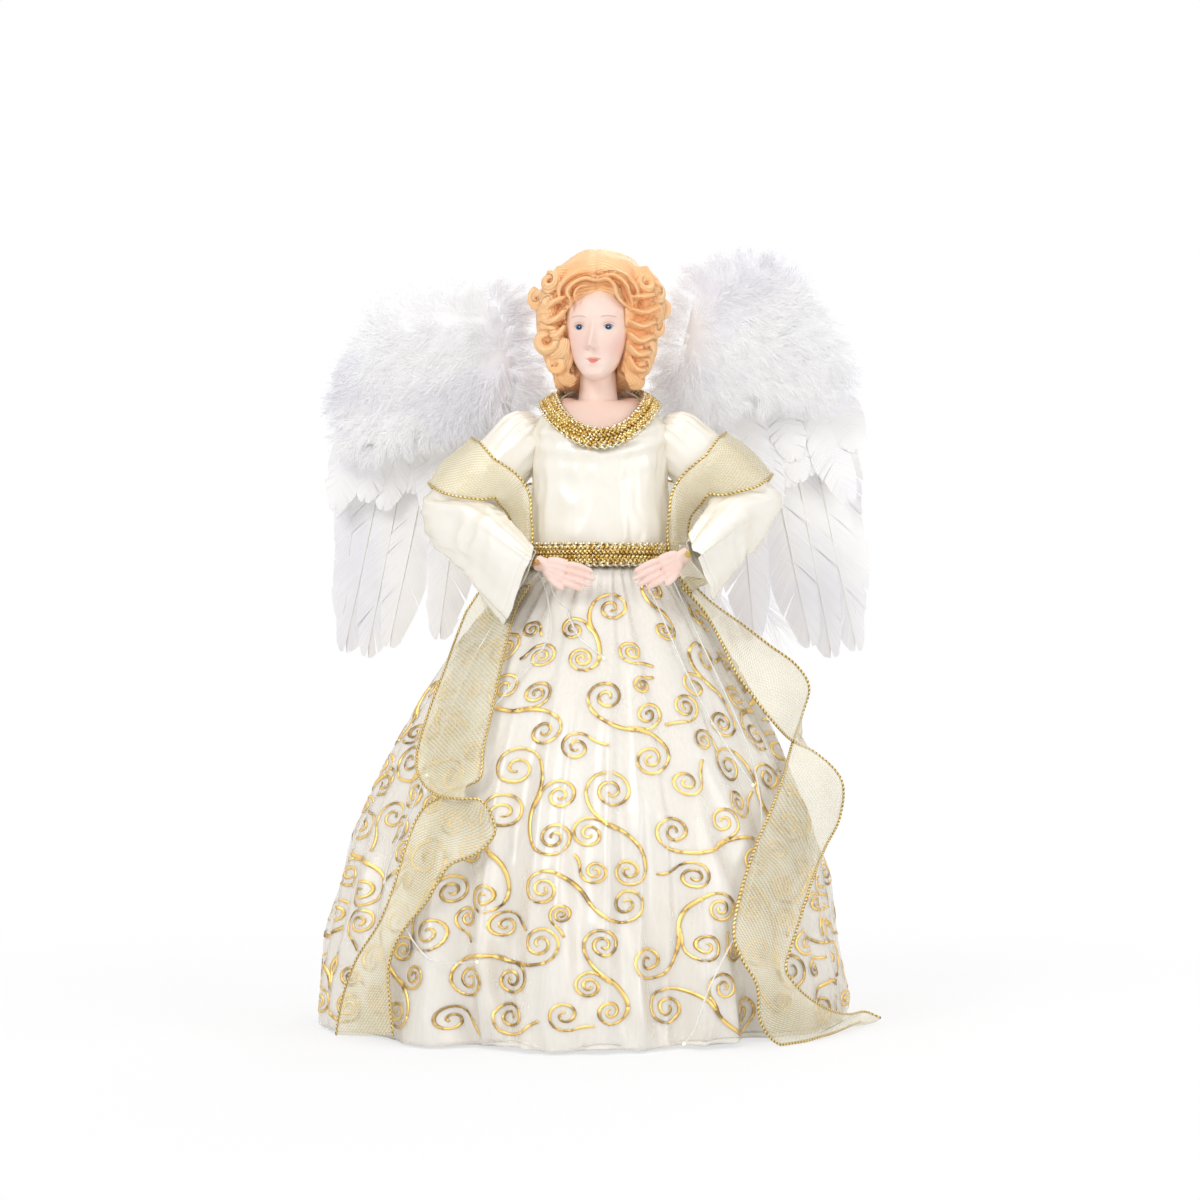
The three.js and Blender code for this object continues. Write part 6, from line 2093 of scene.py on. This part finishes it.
def down_shader(name, light, shade, glow):
    """Down and barbs: very pale and matt, with painted lavender shade in random clouds and a faint painted
    glow that stands for light through thin fibres.
    """
    shader = Shader(
        name, Specular_IOR_Level=0.2, Sheen_Weight=0.3, Sheen_Roughness=0.6, Emission_Strength=glow)
    place = shader.place()
    cloud = shader.grain(place, 32, 3)
    fine = shader.grain(place, 500, 2)
    # Painted shade: random clouds turn the down to a lavender grey; the same tone also glows faintly, as
    # painted light
    tone = shader.mix((cloud + 0.2 * fine).edge(0.42, 0.72), shade, light)
    shader.set(Base_Color=tone, Emission_Color=tone)
    shader.set(Roughness=0.7 + 0.2 * fine)
    return shader.bumped(fine, 0.0002, 0.5)


def vane_shader(name, light, shade, glow):
    """Feather vanes: fine barb lines across a soft white blade, with painted lavender shade in random
    streaks and clouds and a faint painted glow.
    """
    shader = Shader(
        name, Specular_IOR_Level=0.3, Sheen_Weight=0.25, Sheen_Roughness=0.4, Emission_Strength=glow)
    along, _, _ = shader.split(shader.uv())
    streak = shader.grain(shader.stretched(shader.uv(), (1400, 60, 1)), 1, 2)
    barbs = ((along * 9000).maths("SINE")) * 0.5 + 0.5
    cloud = shader.grain(shader.place(), 28, 3)
    # Painted shade: random streaks and clouds turn the white vane to a lavender grey; the same tone also
    # glows faintly, as painted light
    tone = shader.mix((0.6 * cloud + 0.4 * streak).edge(0.36, 0.62), shade, light)
    shader.set(Base_Color=tone, Emission_Color=tone)
    shader.set(Roughness=0.5 + 0.15 * streak)
    return shader.bumped(streak + 0.3 * barbs, 0.00015, 0.5)


# Stage, camera and strands


def build_camera(settings):
    bpy.ops.object.camera_add(
        location=(0, -CAMERA_DISTANCE * MM, CAMERA_HEIGHT * MM), rotation=(math.pi / 2, 0, 0))
    camera = bpy.context.object
    camera.name = "photo_camera"
    camera.data.sensor_width = SENSOR
    camera.data.lens = settings.lens
    camera.data.clip_start = 0.05
    bpy.context.scene.camera = camera
    deselect()


def strand_shader(colour):
    return plain_shader(
        "light_guide", colour, 0.2, 0, 300, 0.00001, Transmission_Weight=0.1,
        Specular_IOR_Level=0.7)


def tip_shader(glow):
    shader = Shader("lit_tip", Emission_Strength=glow)
    spark = shader.grain(shader.place(), 700, 1)
    tone = shader.mix(spark, (0.86, 0.95, 0.42), (1.0, 0.96, 0.6))
    shader.set(Base_Color=tone, Emission_Color=tone, Roughness=0.3 + 0.1 * spark)
    return shader


def build_strands(settings):
    shader, glow = strand_shader(settings.guide_colour), tip_shader(settings.glow)
    for name, route in STRAND_ROUTES.items():
        line = curve_through(route, STRAND_POINTS)
        data = bpy.data.curves.new(f"{name}_guide", "CURVE")
        data.dimensions = "3D"
        data.bevel_depth = STRAND_DIAMETER / 2 * MM
        data.bevel_resolution = 2
        data.use_fill_caps = True
        spline = data.splines.new("POLY")
        spline.points.add(len(line) - 1)
        for point, place in zip(spline.points, line):
            point.co = (*(place * MM), 1)
        guide = bpy.data.objects.new(f"{name}_guide", data)
        bpy.context.scene.collection.objects.link(guide)
        dress(guide, "dress", "fibre", shader, name)
        bpy.ops.mesh.primitive_uv_sphere_add(
            segments=12, ring_count=8, radius=TIP_RADIUS * MM, location=line[-1] * MM)
        tip = finish_primitive(f"{name}_tip")
        dress(tip, "dress", "fibre", glow)
        line[0] * MM
        line_length(line) * MM


FLOOR_SIZE = 8
# Share of white that the camera sees in the floor, and the distances between which it grows to all
FLOOR_WHITE = 0.72
FLOOR_FADE = (0.17, 0.42)
LAMP_AIM = (0, 0, 0.15)


def camera_white(shader_tree, surface, share, fade=None):
    """Mixes in plain white for what the camera, and gloss and glass, see of a surface.

    With fade, two distances from the object's axis, the share grows to all white between them.
    """
    nodes, links = shader_tree.nodes, shader_tree.links

    def maths(operation, first, clamp=False):
        node = nodes.new("ShaderNodeMath")
        node.operation = operation
        node.use_clamp = clamp
        links.new(first, node.inputs[0])
        return node

    path = nodes.new("ShaderNodeLightPath")
    total = maths("ADD", path.outputs["Is Camera Ray"])
    links.new(path.outputs["Is Glossy Ray"], total.inputs[1])
    every = maths("ADD", total.outputs[0], True)
    links.new(path.outputs["Is Transmission Ray"], every.inputs[1])
    part = maths("MULTIPLY", every.outputs[0])
    part.inputs[1].default_value = share
    if fade:
        place = nodes.new("ShaderNodeTexCoord")
        distance = nodes.new("ShaderNodeVectorMath")
        distance.operation = "LENGTH"
        links.new(place.outputs["Object"], distance.inputs[0])
        grow = nodes.new("ShaderNodeMapRange")
        grow.interpolation_type = "SMOOTHSTEP"
        links.new(distance.outputs["Value"], grow.inputs["Value"])
        for key, value in zip(("From Min", "From Max", "To Min", "To Max"), (*fade, share, 1)):
            grow.inputs[key].default_value = value
        links.new(grow.outputs[0], part.inputs[1])
    white = nodes.new("ShaderNodeEmission" if share < 1 else "ShaderNodeBackground")
    white.inputs["Strength"].default_value = 1
    white.inputs["Color"].default_value = (1, 1, 1, 1)
    mixer = nodes.new("ShaderNodeMixShader")
    links.new(part.outputs[0], mixer.inputs[0])
    links.new(surface, mixer.inputs[1])
    links.new(white.outputs[0], mixer.inputs[2])
    return mixer.outputs[0]


def build_stage(settings):
    bpy.ops.mesh.primitive_plane_add(size=FLOOR_SIZE, location=(0, 0, 0))
    floor = bpy.context.object
    floor.name = "studio_floor"
    deselect()
    material = bpy.data.materials.new("studio_floor")
    material.use_nodes = True
    tree = material.node_tree
    tree.nodes.clear()
    matt = tree.nodes.new("ShaderNodeBsdfDiffuse")
    matt.inputs["Color"].default_value = (*settings.floor_colour, 1)
    output = tree.nodes.new("ShaderNodeOutputMaterial")
    tree.links.new(camera_white(tree, matt.outputs[0], FLOOR_WHITE, FLOOR_FADE), output.inputs[0])
    floor.data.materials.append(material)
    world = bpy.data.worlds.new("studio_light")
    world.use_nodes = True
    tree = world.node_tree
    tree.nodes.clear()
    ambient = tree.nodes.new("ShaderNodeBackground")
    ambient.inputs["Color"].default_value = (1, 1, 1, 1)
    ambient.inputs["Strength"].default_value = settings.room_light
    output = tree.nodes.new("ShaderNodeOutputWorld")
    tree.links.new(camera_white(tree, ambient.outputs[0], 1), output.inputs[0])
    bpy.context.scene.world = world
    lights = [
        ("key", (-0.75, -1.05, 1.0), 0.7, settings.key_power),
        ("fill", (0.95, -0.8, 0.55), 0.8, settings.fill_power),
        ("top", (0.05, 0.15, 1.15), 0.7, settings.top_power),
        ("back", (0.3, 1.1, 0.7), 0.8, settings.back_power),
    ]
    for name, place, size, power in lights:
        bpy.ops.object.light_add(type="AREA", location=place)
        lamp = bpy.context.object
        lamp.name = f"studio_{name}"
        lamp.data.size = size
        lamp.data.energy = power
        lamp.rotation_euler = (Vector(LAMP_AIM) - Vector(place)).to_track_quat("-Z", "Y").to_euler()
        deselect()
    view = bpy.context.scene.view_settings
    view.view_transform = "Standard"


# Dress


def build_skirt(settings):
    lining = skirt_layer("skirt_satin", LINING_OFFSET, LINING_WALL, 1)
    dress(lining, "dress", "skirt_satin", satin_shader(
        "skirt_satin", settings.lining_light, settings.lining_shade, 0.15), "skirt_lining")
    overlay = skirt_layer("skirt_organza", OVERLAY_OFFSET, OVERLAY_WALL, 3.4)
    sheer = organza_shader(
        "skirt_organza", settings.organza_light, settings.organza_shade, settings.organza_cover)
    dress(overlay, "dress", "skirt_organza", sheer, "skirt_overlay")
    scrolls = foil_scrolls(Vine(SCROLL_SEED).grow(), settings.scroll_width / MM / 2)
    dress(scrolls, "dress", "skirt_organza", foil_shader(settings.foil_bright, settings.foil_in_shade))


def build_bodice(settings):
    bodice = bodice_piece()
    dress(bodice, "dress", "dress_satin", satin_shader(
        "dress_satin", settings.satin_light, settings.satin_shade, 0.17), "bodice")


def build_sleeves(settings):
    shader = satin_shader("sleeve_satin", settings.satin_light, settings.satin_shade, 0.15)
    for name, arm in ARMS.items():
        sleeve = sleeve_piece(name, arm)
        shoulder, elbow, wrist = arm_points(arm)
        start = elbow + (shoulder - elbow) * 0.28
        end = elbow + (wrist - elbow) * 0.24
        bodies = (f"{name}_arm", f"{name}_lower_arm")
        dress_blend(sleeve, shader, f"{name}_sleeve", bodies, start, end)


def build_braids(settings):
    shader = braid_shader("gold_braid", settings.thread_deep, settings.thread_light, 0.02)
    # The edge loops take paler thread and more of the painted glints
    bright = braid_shader("silver_gold_loops", settings.loop_deep, settings.loop_light, 0.12)
    braid_pieces("waist", waist_place, 34, "waist_braid", shader, bright)
    braid_pieces("neck", collar_place, 24, "neck_braid", shader, bright)


def build_ribbon(settings):
    wire = twisted_wire_shader()
    # One ribbon in two copies of its colours: the right end's darker, more olive tones are painted shade for
    # the side that is lit less
    cloths = {
        "left": ribbon_shader("ribbon_gold_lit", settings.left_deep, settings.left_light),
        "right": ribbon_shader("ribbon_gold_painted_shade", settings.right_deep, settings.right_light),
    }
    for name, pixels in (("left", LEFT_TAIL_PIXELS), ("right", RIGHT_TAIL_PIXELS)):
        side = ARMS[name]["side"]
        over = ribbon_sections(ARMS[name], OVER_SECTIONS)
        tail = tail_sections(pixels, TAIL_SECTIONS)
        first, second = tail[0]
        last = over[-1]
        if (last[0] - first).length > (last[0] - second).length:
            tail = [(b, a) for a, b in tail]
        joint = [
            (last[0].lerp(tail[0][0], share), last[1].lerp(tail[0][1], share)) for share in (0.33, 0.67)]
        travelled = 0
        for part, sections, bodies in (
                ("over", over[:RIBBON_PART + 1], ("dress", f"{name}_arm")),
                ("tail", over[RIBBON_PART:] + joint + tail, (f"{name}_arm", "dress"))):
            piece, edges, length = ribbon_piece(
                f"{name}_ribbon_{part}", sections, 5 + side, travelled, settings.edge_width / MM / 2)
            travelled += length
            start, end = (Vector((side * x, y, z)) for x, y, z in RIBBON_BENDS[part])
            for item, shader in ((piece, cloths[name]), (edges, wire)):
                dress_blend(item, shader, "ribbon_shawl", bodies, start, end)
            length * MM


def build_arms(settings):
    cloth = plain_shader("arm_cloth", (0.88, 0.83, 0.72), 0.8, 0, 900, 0.00004)
    for name, arm in ARMS.items():
        shoulder, elbow, wrist = arm_points(arm)
        upper_end = elbow + (shoulder - elbow).normalized() * (3.2 + GLUE + 4)
        padded_limb(
            f"{name}_upper_arm_stuffed", shoulder, upper_end, 5, 4, f"{name}_arm", "body_form", cloth,
            f"{name}_upper_arm")
        end = wrist + (elbow - wrist).normalized() * 4
        padded_limb(
            f"{name}_forearm_stuffed", elbow, end, 3.2, 2.6, f"{name}_lower_arm", "body_form", cloth,
            f"{name}_forearm")
    plastic = hand_shader(settings.hand_pale, settings.hand_flushed)
    for name, arm in ARMS.items():
        dress(hand_piece(name, arm), f"{name}_lower_arm", "hand_plastic", plastic, f"{name}_hand")
        way = hand_way(arm)
        bead_way = (Vector((0, -1, 0)) + way * way.y).normalized()
        place = arm_points(arm)[2] + way * (HAND_LENGTH * 0.12) + bead_way * (3.2 + BEAD_RADIUS + GLUE)
        bpy.ops.mesh.primitive_ico_sphere_add(subdivisions=4, radius=BEAD_RADIUS * MM, location=place * MM)
        bead = finish_primitive(f"{name}_glass_bead")
        colour = settings.left_bead if name == "left" else settings.right_bead
        dress(bead, f"{name}_lower_arm", "bead", bead_shader(f"{name}_bead", colour), f"{name}_wrist_bead")


def build_head(settings):
    dress(face_piece(), "dress", "painted_head", face_shader(), "head_casting")
    dress(neck_piece(), "dress", "painted_head", plain_skin_shader(), "head_casting")
    paint = hair_shader(settings.hair_light, settings.hair_deep)
    dress(hair_pieces(settings.hair_grain), "dress", "painted_head", paint, "head_casting")


def build_wings(settings):
    # The down and the feathers glow faintly: painted light for the light that passes through thin fibres
    down = down_shader("white_down", settings.down_light, settings.down_shade, 0.07)
    vane = vane_shader("white_feather", settings.vane_light, settings.vane_shade, 0.05)
    quill = plain_shader("feather_quill", (0.96, 0.94, 0.87), 0.4, 0, 700, 0.00002)
    for name, side in (("left", -1), ("right", 1)):
        fluff_pieces(name, side, down, settings)
        feather_pieces(name, side, vane, quill, settings)
        covert_piece(name, side, vane, settings)


def build_inside(settings):
    finishes = [
        (plain_shader("white_card", (0.86, 0.85, 0.81), 0.75, 0, 700, 0.00003), ["tree_cone"]),
        (plain_shader("stuffed_form", (0.85, 0.80, 0.70), 0.85, 0, 900, 0.00005), ["torso_form"]),
        (plain_shader("steel_wire", (0.62, 0.62, 0.63), 0.32, 0.9, 900, 0.00001), ["shoulder_wire"]),
        (plain_shader("wrapped_stem", (0.93, 0.925, 0.93), 0.8, 0, 900, 0.00005),
         ["left_wing_stem", "right_wing_stem"]),
        (plain_shader("wing_card", (0.95, 0.945, 0.94), 0.8, 0, 600, 0.00003),
         ["left_wing_card", "right_wing_card"]),
        (plain_shader("box_plastic", settings.box_colour, 0.45, 0, 1200, 0.00002),
         ["battery_box", "battery_cover"]),
        (plain_shader("cell_wrap", settings.cell_colour, 0.35, 0.2, 300, 0.00001),
         ["cell_left", "cell_right"]),
        (plain_shader("contact_plate", (0.75, 0.74, 0.70), 0.28, 0.95, 900, 0.00001),
         ["contact_bridge", "contact_minus", "contact_plus"]),
        (plain_shader("switch_black", (0.03, 0.03, 0.03), 0.5, 0, 900, 0.00002),
         ["switch_slider", "fibre_ferrule"]),
        (plain_shader("board_green", (0.05, 0.18, 0.07), 0.4, 0, 900, 0.00002), ["driver_board"]),
        (plain_shader("lamp_lens", (0.88, 0.90, 0.95), 0.12, 0, 400, 0.00001), ["led_lamp"]),
        (plain_shader("guide_bundle", (0.88, 0.90, 0.84), 0.2, 0, 500, 0.00002), ["fibre_bundle"]),
    ]
    for shader, nodes in finishes:
        for node in nodes:
            for slot in bpy.data.objects[node].material_slots:
                slot.material = shader.material


def colour_setting(name, description, default):
    return bpy.props.FloatVectorProperty(
        name=name, description=description, default=default, size=3, min=0, max=1, subtype="COLOR")


def length_setting(name, description, default):
    return bpy.props.FloatProperty(
        name=name, description=description, default=default, min=0, precision=5, subtype="DISTANCE",
        unit="LENGTH")


def light_setting(name, description, default):
    return bpy.props.FloatProperty(
        name=name, description=description, default=default, min=0, subtype="POWER", unit="POWER")


def share_setting(name, description, default):
    return bpy.props.FloatProperty(
        name=name, description=description, default=default, min=0, max=1, subtype="FACTOR")


def count_setting(name, description, default):
    return bpy.props.IntProperty(
        name=name, description=description, default=default, min=1, subtype="UNSIGNED")


class StageSettings(bpy.types.PropertyGroup):
    """The plain studio round the topper."""

    lens: bpy.props.FloatProperty(
        name="Lens", description="Focal length of the camera", default=SENSOR * FOCAL_PIXELS / PHOTO_PIXELS,
        min=1, subtype="DISTANCE_CAMERA")
    floor_colour: colour_setting("Floor", "Colour of the floor", (0.93, 0.93, 0.94))
    room_light: share_setting("Room light", "Strength of the light from all sides", 0.42)
    key_power: light_setting("Key light", "Power of the soft light from the left", 9)
    fill_power: light_setting("Fill light", "Power of the soft light from the right", 4.5)
    top_power: light_setting("Top light", "Power of the light from above", 4)
    back_power: light_setting("Back light", "Power of the light from behind", 4)


class StrandSettings(bpy.types.PropertyGroup):
    """The loose light guides."""

    guide_colour: colour_setting("Guide", "Colour of the clear guide", (0.97, 0.975, 0.93))
    glow: bpy.props.FloatProperty(
        name="Glow", description="Strength of the lit tips", default=1.2, min=0, max=20, subtype="FACTOR")


class SkirtSettings(bpy.types.PropertyGroup):
    """Satin lining, organza overlay and foil scrolls."""

    lining_light: colour_setting("Lining", "Colour of the satin lining", (1.0, 0.965, 0.895))
    lining_shade: colour_setting("Lining shade", "Colour of the lining seen at a slant", (0.95, 0.87, 0.745))
    organza_light: colour_setting("Organza", "Colour of the sheer overlay", (1, 0.985, 0.95))
    organza_shade: colour_setting(
        "Organza shade", "Colour of the overlay seen at a slant", (0.97, 0.92, 0.85))
    organza_cover: share_setting("Cover", "How much of the lining the overlay hides", 0.28)
    scroll_width: length_setting("Scroll width", "Width of the foil lines", 0.0014)
    foil_bright: colour_setting("Foil", "Colour of the foil", (0.95, 0.66, 0.22))
    # The darker foil colour is painted shade and reflection, laid in random patches
    foil_in_shade: colour_setting(
        "Foil in shade", "Colour of the foil where it turns from the light", (0.36, 0.24, 0.10))


class SatinSettings(bpy.types.PropertyGroup):
    """Satin of the bodice and the sleeves."""

    satin_light: colour_setting("Satin", "Colour of the satin", (0.99, 0.958, 0.885))
    satin_shade: colour_setting("Satin shade", "Colour of the satin seen at a slant", (0.865, 0.795, 0.645))


class BraidSettings(bpy.types.PropertyGroup):
    """Metallic braid round the waist and the neck."""

    thread_deep: colour_setting("Thread, deep", "Darker gold of the plait", (0.70, 0.45, 0.10))
    thread_light: colour_setting("Thread, light", "Lighter gold of the plait", (0.93, 0.72, 0.30))
    loop_deep: colour_setting("Loop, deep", "Darker tone of the edge loops", (0.86, 0.66, 0.28))
    loop_light: colour_setting("Loop, light", "Lighter tone of the edge loops", (0.97, 0.88, 0.62))


class RibbonSettings(bpy.types.PropertyGroup):
    """The sheer wired ribbon."""

    left_deep: colour_setting("Left, deep", "Deeper tone of the left end", (0.90, 0.78, 0.45))
    left_light: colour_setting("Left, light", "Lighter tone of the left end", (0.98, 0.905, 0.67))
    # The right end's tones are a shaded copy of the left end's: painted shade
    right_deep: colour_setting("Right, deep", "Deeper tone of the right end", (0.80, 0.695, 0.42))
    right_light: colour_setting("Right, light", "Lighter tone of the right end", (0.92, 0.83, 0.59))
    edge_width: length_setting("Edge width", "Thickness of the twisted edge", 0.001)


class HandSettings(bpy.types.PropertyGroup):
    """Moulded hands and the beads at the wrists."""

    hand_pale: colour_setting("Hand", "Colour of the hands", (0.935, 0.71, 0.63))
    hand_flushed: colour_setting("Flush", "Pinker tone of the hands", (0.92, 0.66, 0.58))
    left_bead: colour_setting("Left bead", "Colour of the left bead", (0.90, 0.45, 0.12))
    right_bead: colour_setting("Right bead", "Colour of the right bead", (0.93, 0.72, 0.10))


class HeadSettings(bpy.types.PropertyGroup):
    """The painted casting."""

    hair_light: colour_setting("Hair", "Lighter tone of the hair paint", (0.985, 0.65, 0.35))
    hair_deep: colour_setting("Hair, deep", "Deeper tone of the hair paint", (0.95, 0.545, 0.25))
    hair_grain: length_setting("Hair grain", "Size of the finest form in the sculpted hair", 0.0005)


class WingSettings(bpy.types.PropertyGroup):
    """Down and feathers."""

    down_light: colour_setting("Down", "Colour of the down", (0.96, 0.955, 0.96))
    down_shade: colour_setting("Down, deep", "Tone of the down in its hollows", (0.885, 0.875, 0.905))
    vane_light: colour_setting("Feather", "Colour of the feathers", (0.965, 0.955, 0.945))
    vane_shade: colour_setting("Feather, deep", "Deeper tone of the feathers", (0.86, 0.85, 0.89))
    plumes: count_setting("Plumes", "Plumes over the face of each wing", 620)
    rim_plumes: count_setting("Rim plumes", "Plumes round the rim of each wing", 200)
    plume_length: length_setting("Plume length", "Length of a plume", 0.0125)
    feather_width: length_setting("Feather width", "Width of a long feather", 0.0225)


class InsideSettings(bpy.types.PropertyGroup):
    """Finishes of the pieces inside the cone."""

    box_colour: colour_setting("Battery box", "Colour of the battery box", (0.84, 0.83, 0.80))
    cell_colour: colour_setting("Cell wrap", "Colour of the dry cells", (0.10, 0.22, 0.12))


class TopperSettings(bpy.types.PropertyGroup):
    """All settings of the angel tree topper."""

    stage: bpy.props.PointerProperty(name="Stage", description="The studio", type=StageSettings)
    strands: bpy.props.PointerProperty(name="Strands", description="The light guides", type=StrandSettings)
    skirt: bpy.props.PointerProperty(name="Skirt", description="Both layers and scrolls", type=SkirtSettings)
    satin: bpy.props.PointerProperty(name="Satin", description="Bodice and sleeves", type=SatinSettings)
    braids: bpy.props.PointerProperty(name="Braids", description="Waist and neck braid", type=BraidSettings)
    ribbon: bpy.props.PointerProperty(name="Ribbon", description="The ribbon shawl", type=RibbonSettings)
    hands: bpy.props.PointerProperty(name="Hands", description="Hands and beads", type=HandSettings)
    head: bpy.props.PointerProperty(name="Head", description="Face and hair", type=HeadSettings)
    wings: bpy.props.PointerProperty(name="Wings", description="Down and feathers", type=WingSettings)
    inside: bpy.props.PointerProperty(name="Inside", description="Hidden pieces", type=InsideSettings)


class TOPPER_OT_camera(bpy.types.Operator):
    """Place the camera where the photograph was taken from"""
    bl_idname = "topper.camera"
    bl_label = "Place the camera"

    def execute(self, context):
        build_camera(context.scene.topper.stage)
        return {"FINISHED"}


class TOPPER_OT_strands(bpy.types.Operator):
    """Lay the loose light guides and their lit tips over the skirt"""
    bl_idname = "topper.strands"
    bl_label = "Lay the strands"

    def execute(self, context):
        build_strands(context.scene.topper.strands)
        return {"FINISHED"}


class TOPPER_OT_stage(bpy.types.Operator):
    """Build the floor, the world and the studio lamps"""
    bl_idname = "topper.stage"
    bl_label = "Build the stage"

    def execute(self, context):
        build_stage(context.scene.topper.stage)
        return {"FINISHED"}


class TOPPER_OT_skirt(bpy.types.Operator):
    """Gather the lining and the overlay and print the foil scrolls"""
    bl_idname = "topper.skirt"
    bl_label = "Make the skirt"

    def execute(self, context):
        build_skirt(context.scene.topper.skirt)
        return {"FINISHED"}


class TOPPER_OT_bodice(bpy.types.Operator):
    """Fit the satin bodice on the torso"""
    bl_idname = "topper.bodice"
    bl_label = "Fit the bodice"

    def execute(self, context):
        build_bodice(context.scene.topper.satin)
        return {"FINISHED"}


class TOPPER_OT_sleeves(bpy.types.Operator):
    """Hang both bell sleeves on the arms"""
    bl_idname = "topper.sleeves"
    bl_label = "Hang the sleeves"

    def execute(self, context):
        build_sleeves(context.scene.topper.satin)
        return {"FINISHED"}


class TOPPER_OT_braids(bpy.types.Operator):
    """Plait the metallic braid round the waist and the neck"""
    bl_idname = "topper.braids"
    bl_label = "Plait the braids"

    def execute(self, context):
        build_braids(context.scene.topper.braids)
        return {"FINISHED"}


class TOPPER_OT_ribbon(bpy.types.Operator):
    """Drape the wired ribbon over both arms and down the skirt"""
    bl_idname = "topper.ribbon"
    bl_label = "Drape the ribbon"

    def execute(self, context):
        build_ribbon(context.scene.topper.ribbon)
        return {"FINISHED"}


class TOPPER_OT_arms(bpy.types.Operator):
    """Stuff the arms, and mould the hands with their beads"""
    bl_idname = "topper.arms"
    bl_label = "Make arms and hands"

    def execute(self, context):
        build_arms(context.scene.topper.hands)
        return {"FINISHED"}


class TOPPER_OT_head(bpy.types.Operator):
    """Sculpt and paint the face, the neck and the hair"""
    bl_idname = "topper.head"
    bl_label = "Sculpt the head"

    def execute(self, context):
        build_head(context.scene.topper.head)
        return {"FINISHED"}


class TOPPER_OT_wings(bpy.types.Operator):
    """Cover both wings with down and feathers"""
    bl_idname = "topper.wings"
    bl_label = "Cover the wings"

    def execute(self, context):
        build_wings(context.scene.topper.wings)
        return {"FINISHED"}


class TOPPER_OT_inside(bpy.types.Operator):
    """Give every hidden piece its finish"""
    bl_idname = "topper.inside"
    bl_label = "Finish the inside"

    def execute(self, context):
        build_inside(context.scene.topper.inside)
        return {"FINISHED"}


class TOPPER_PT_sidebar(bpy.types.Panel):
    """All steps of the topper, each with its settings"""
    bl_idname = "TOPPER_PT_sidebar"
    bl_label = "Angel tree topper"
    bl_space_type = "VIEW_3D"
    bl_region_type = "UI"
    bl_category = "Topper"

    def draw(self, context):
        for operator, group in STEPS:
            box = self.layout.box()
            box.operator(operator.bl_idname)
            settings = getattr(context.scene.topper, group)
            for name in type(settings).__annotations__:
                box.prop(settings, name)


# Making order: each operator with the name of its settings
STEPS = [
    (TOPPER_OT_camera, "stage"), (TOPPER_OT_strands, "strands"), (TOPPER_OT_stage, "stage"),
    (TOPPER_OT_skirt, "skirt"), (TOPPER_OT_bodice, "satin"), (TOPPER_OT_sleeves, "satin"),
    (TOPPER_OT_braids, "braids"), (TOPPER_OT_ribbon, "ribbon"), (TOPPER_OT_arms, "hands"),
    (TOPPER_OT_head, "head"), (TOPPER_OT_wings, "wings"), (TOPPER_OT_inside, "inside"),
]
CLASSES = [
    StageSettings, StrandSettings, SkirtSettings, SatinSettings, BraidSettings, RibbonSettings, HandSettings,
    HeadSettings, WingSettings, InsideSettings, TopperSettings, *[operator for operator, _ in STEPS],
    TOPPER_PT_sidebar,
]


def register():
    for item in CLASSES:
        bpy.utils.register_class(item)
    bpy.types.Scene.topper = bpy.props.PointerProperty(
        name="Topper", description="Settings of the angel tree topper", type=TopperSettings)


def unregister():
    del bpy.types.Scene.topper
    for item in reversed(CLASSES):
        bpy.utils.unregister_class(item)


def main():
    register()
    for operator, _ in STEPS:
        getattr(bpy.ops.topper, operator.bl_idname.split(".")[1])()


if __name__ == "__main__":
    main()
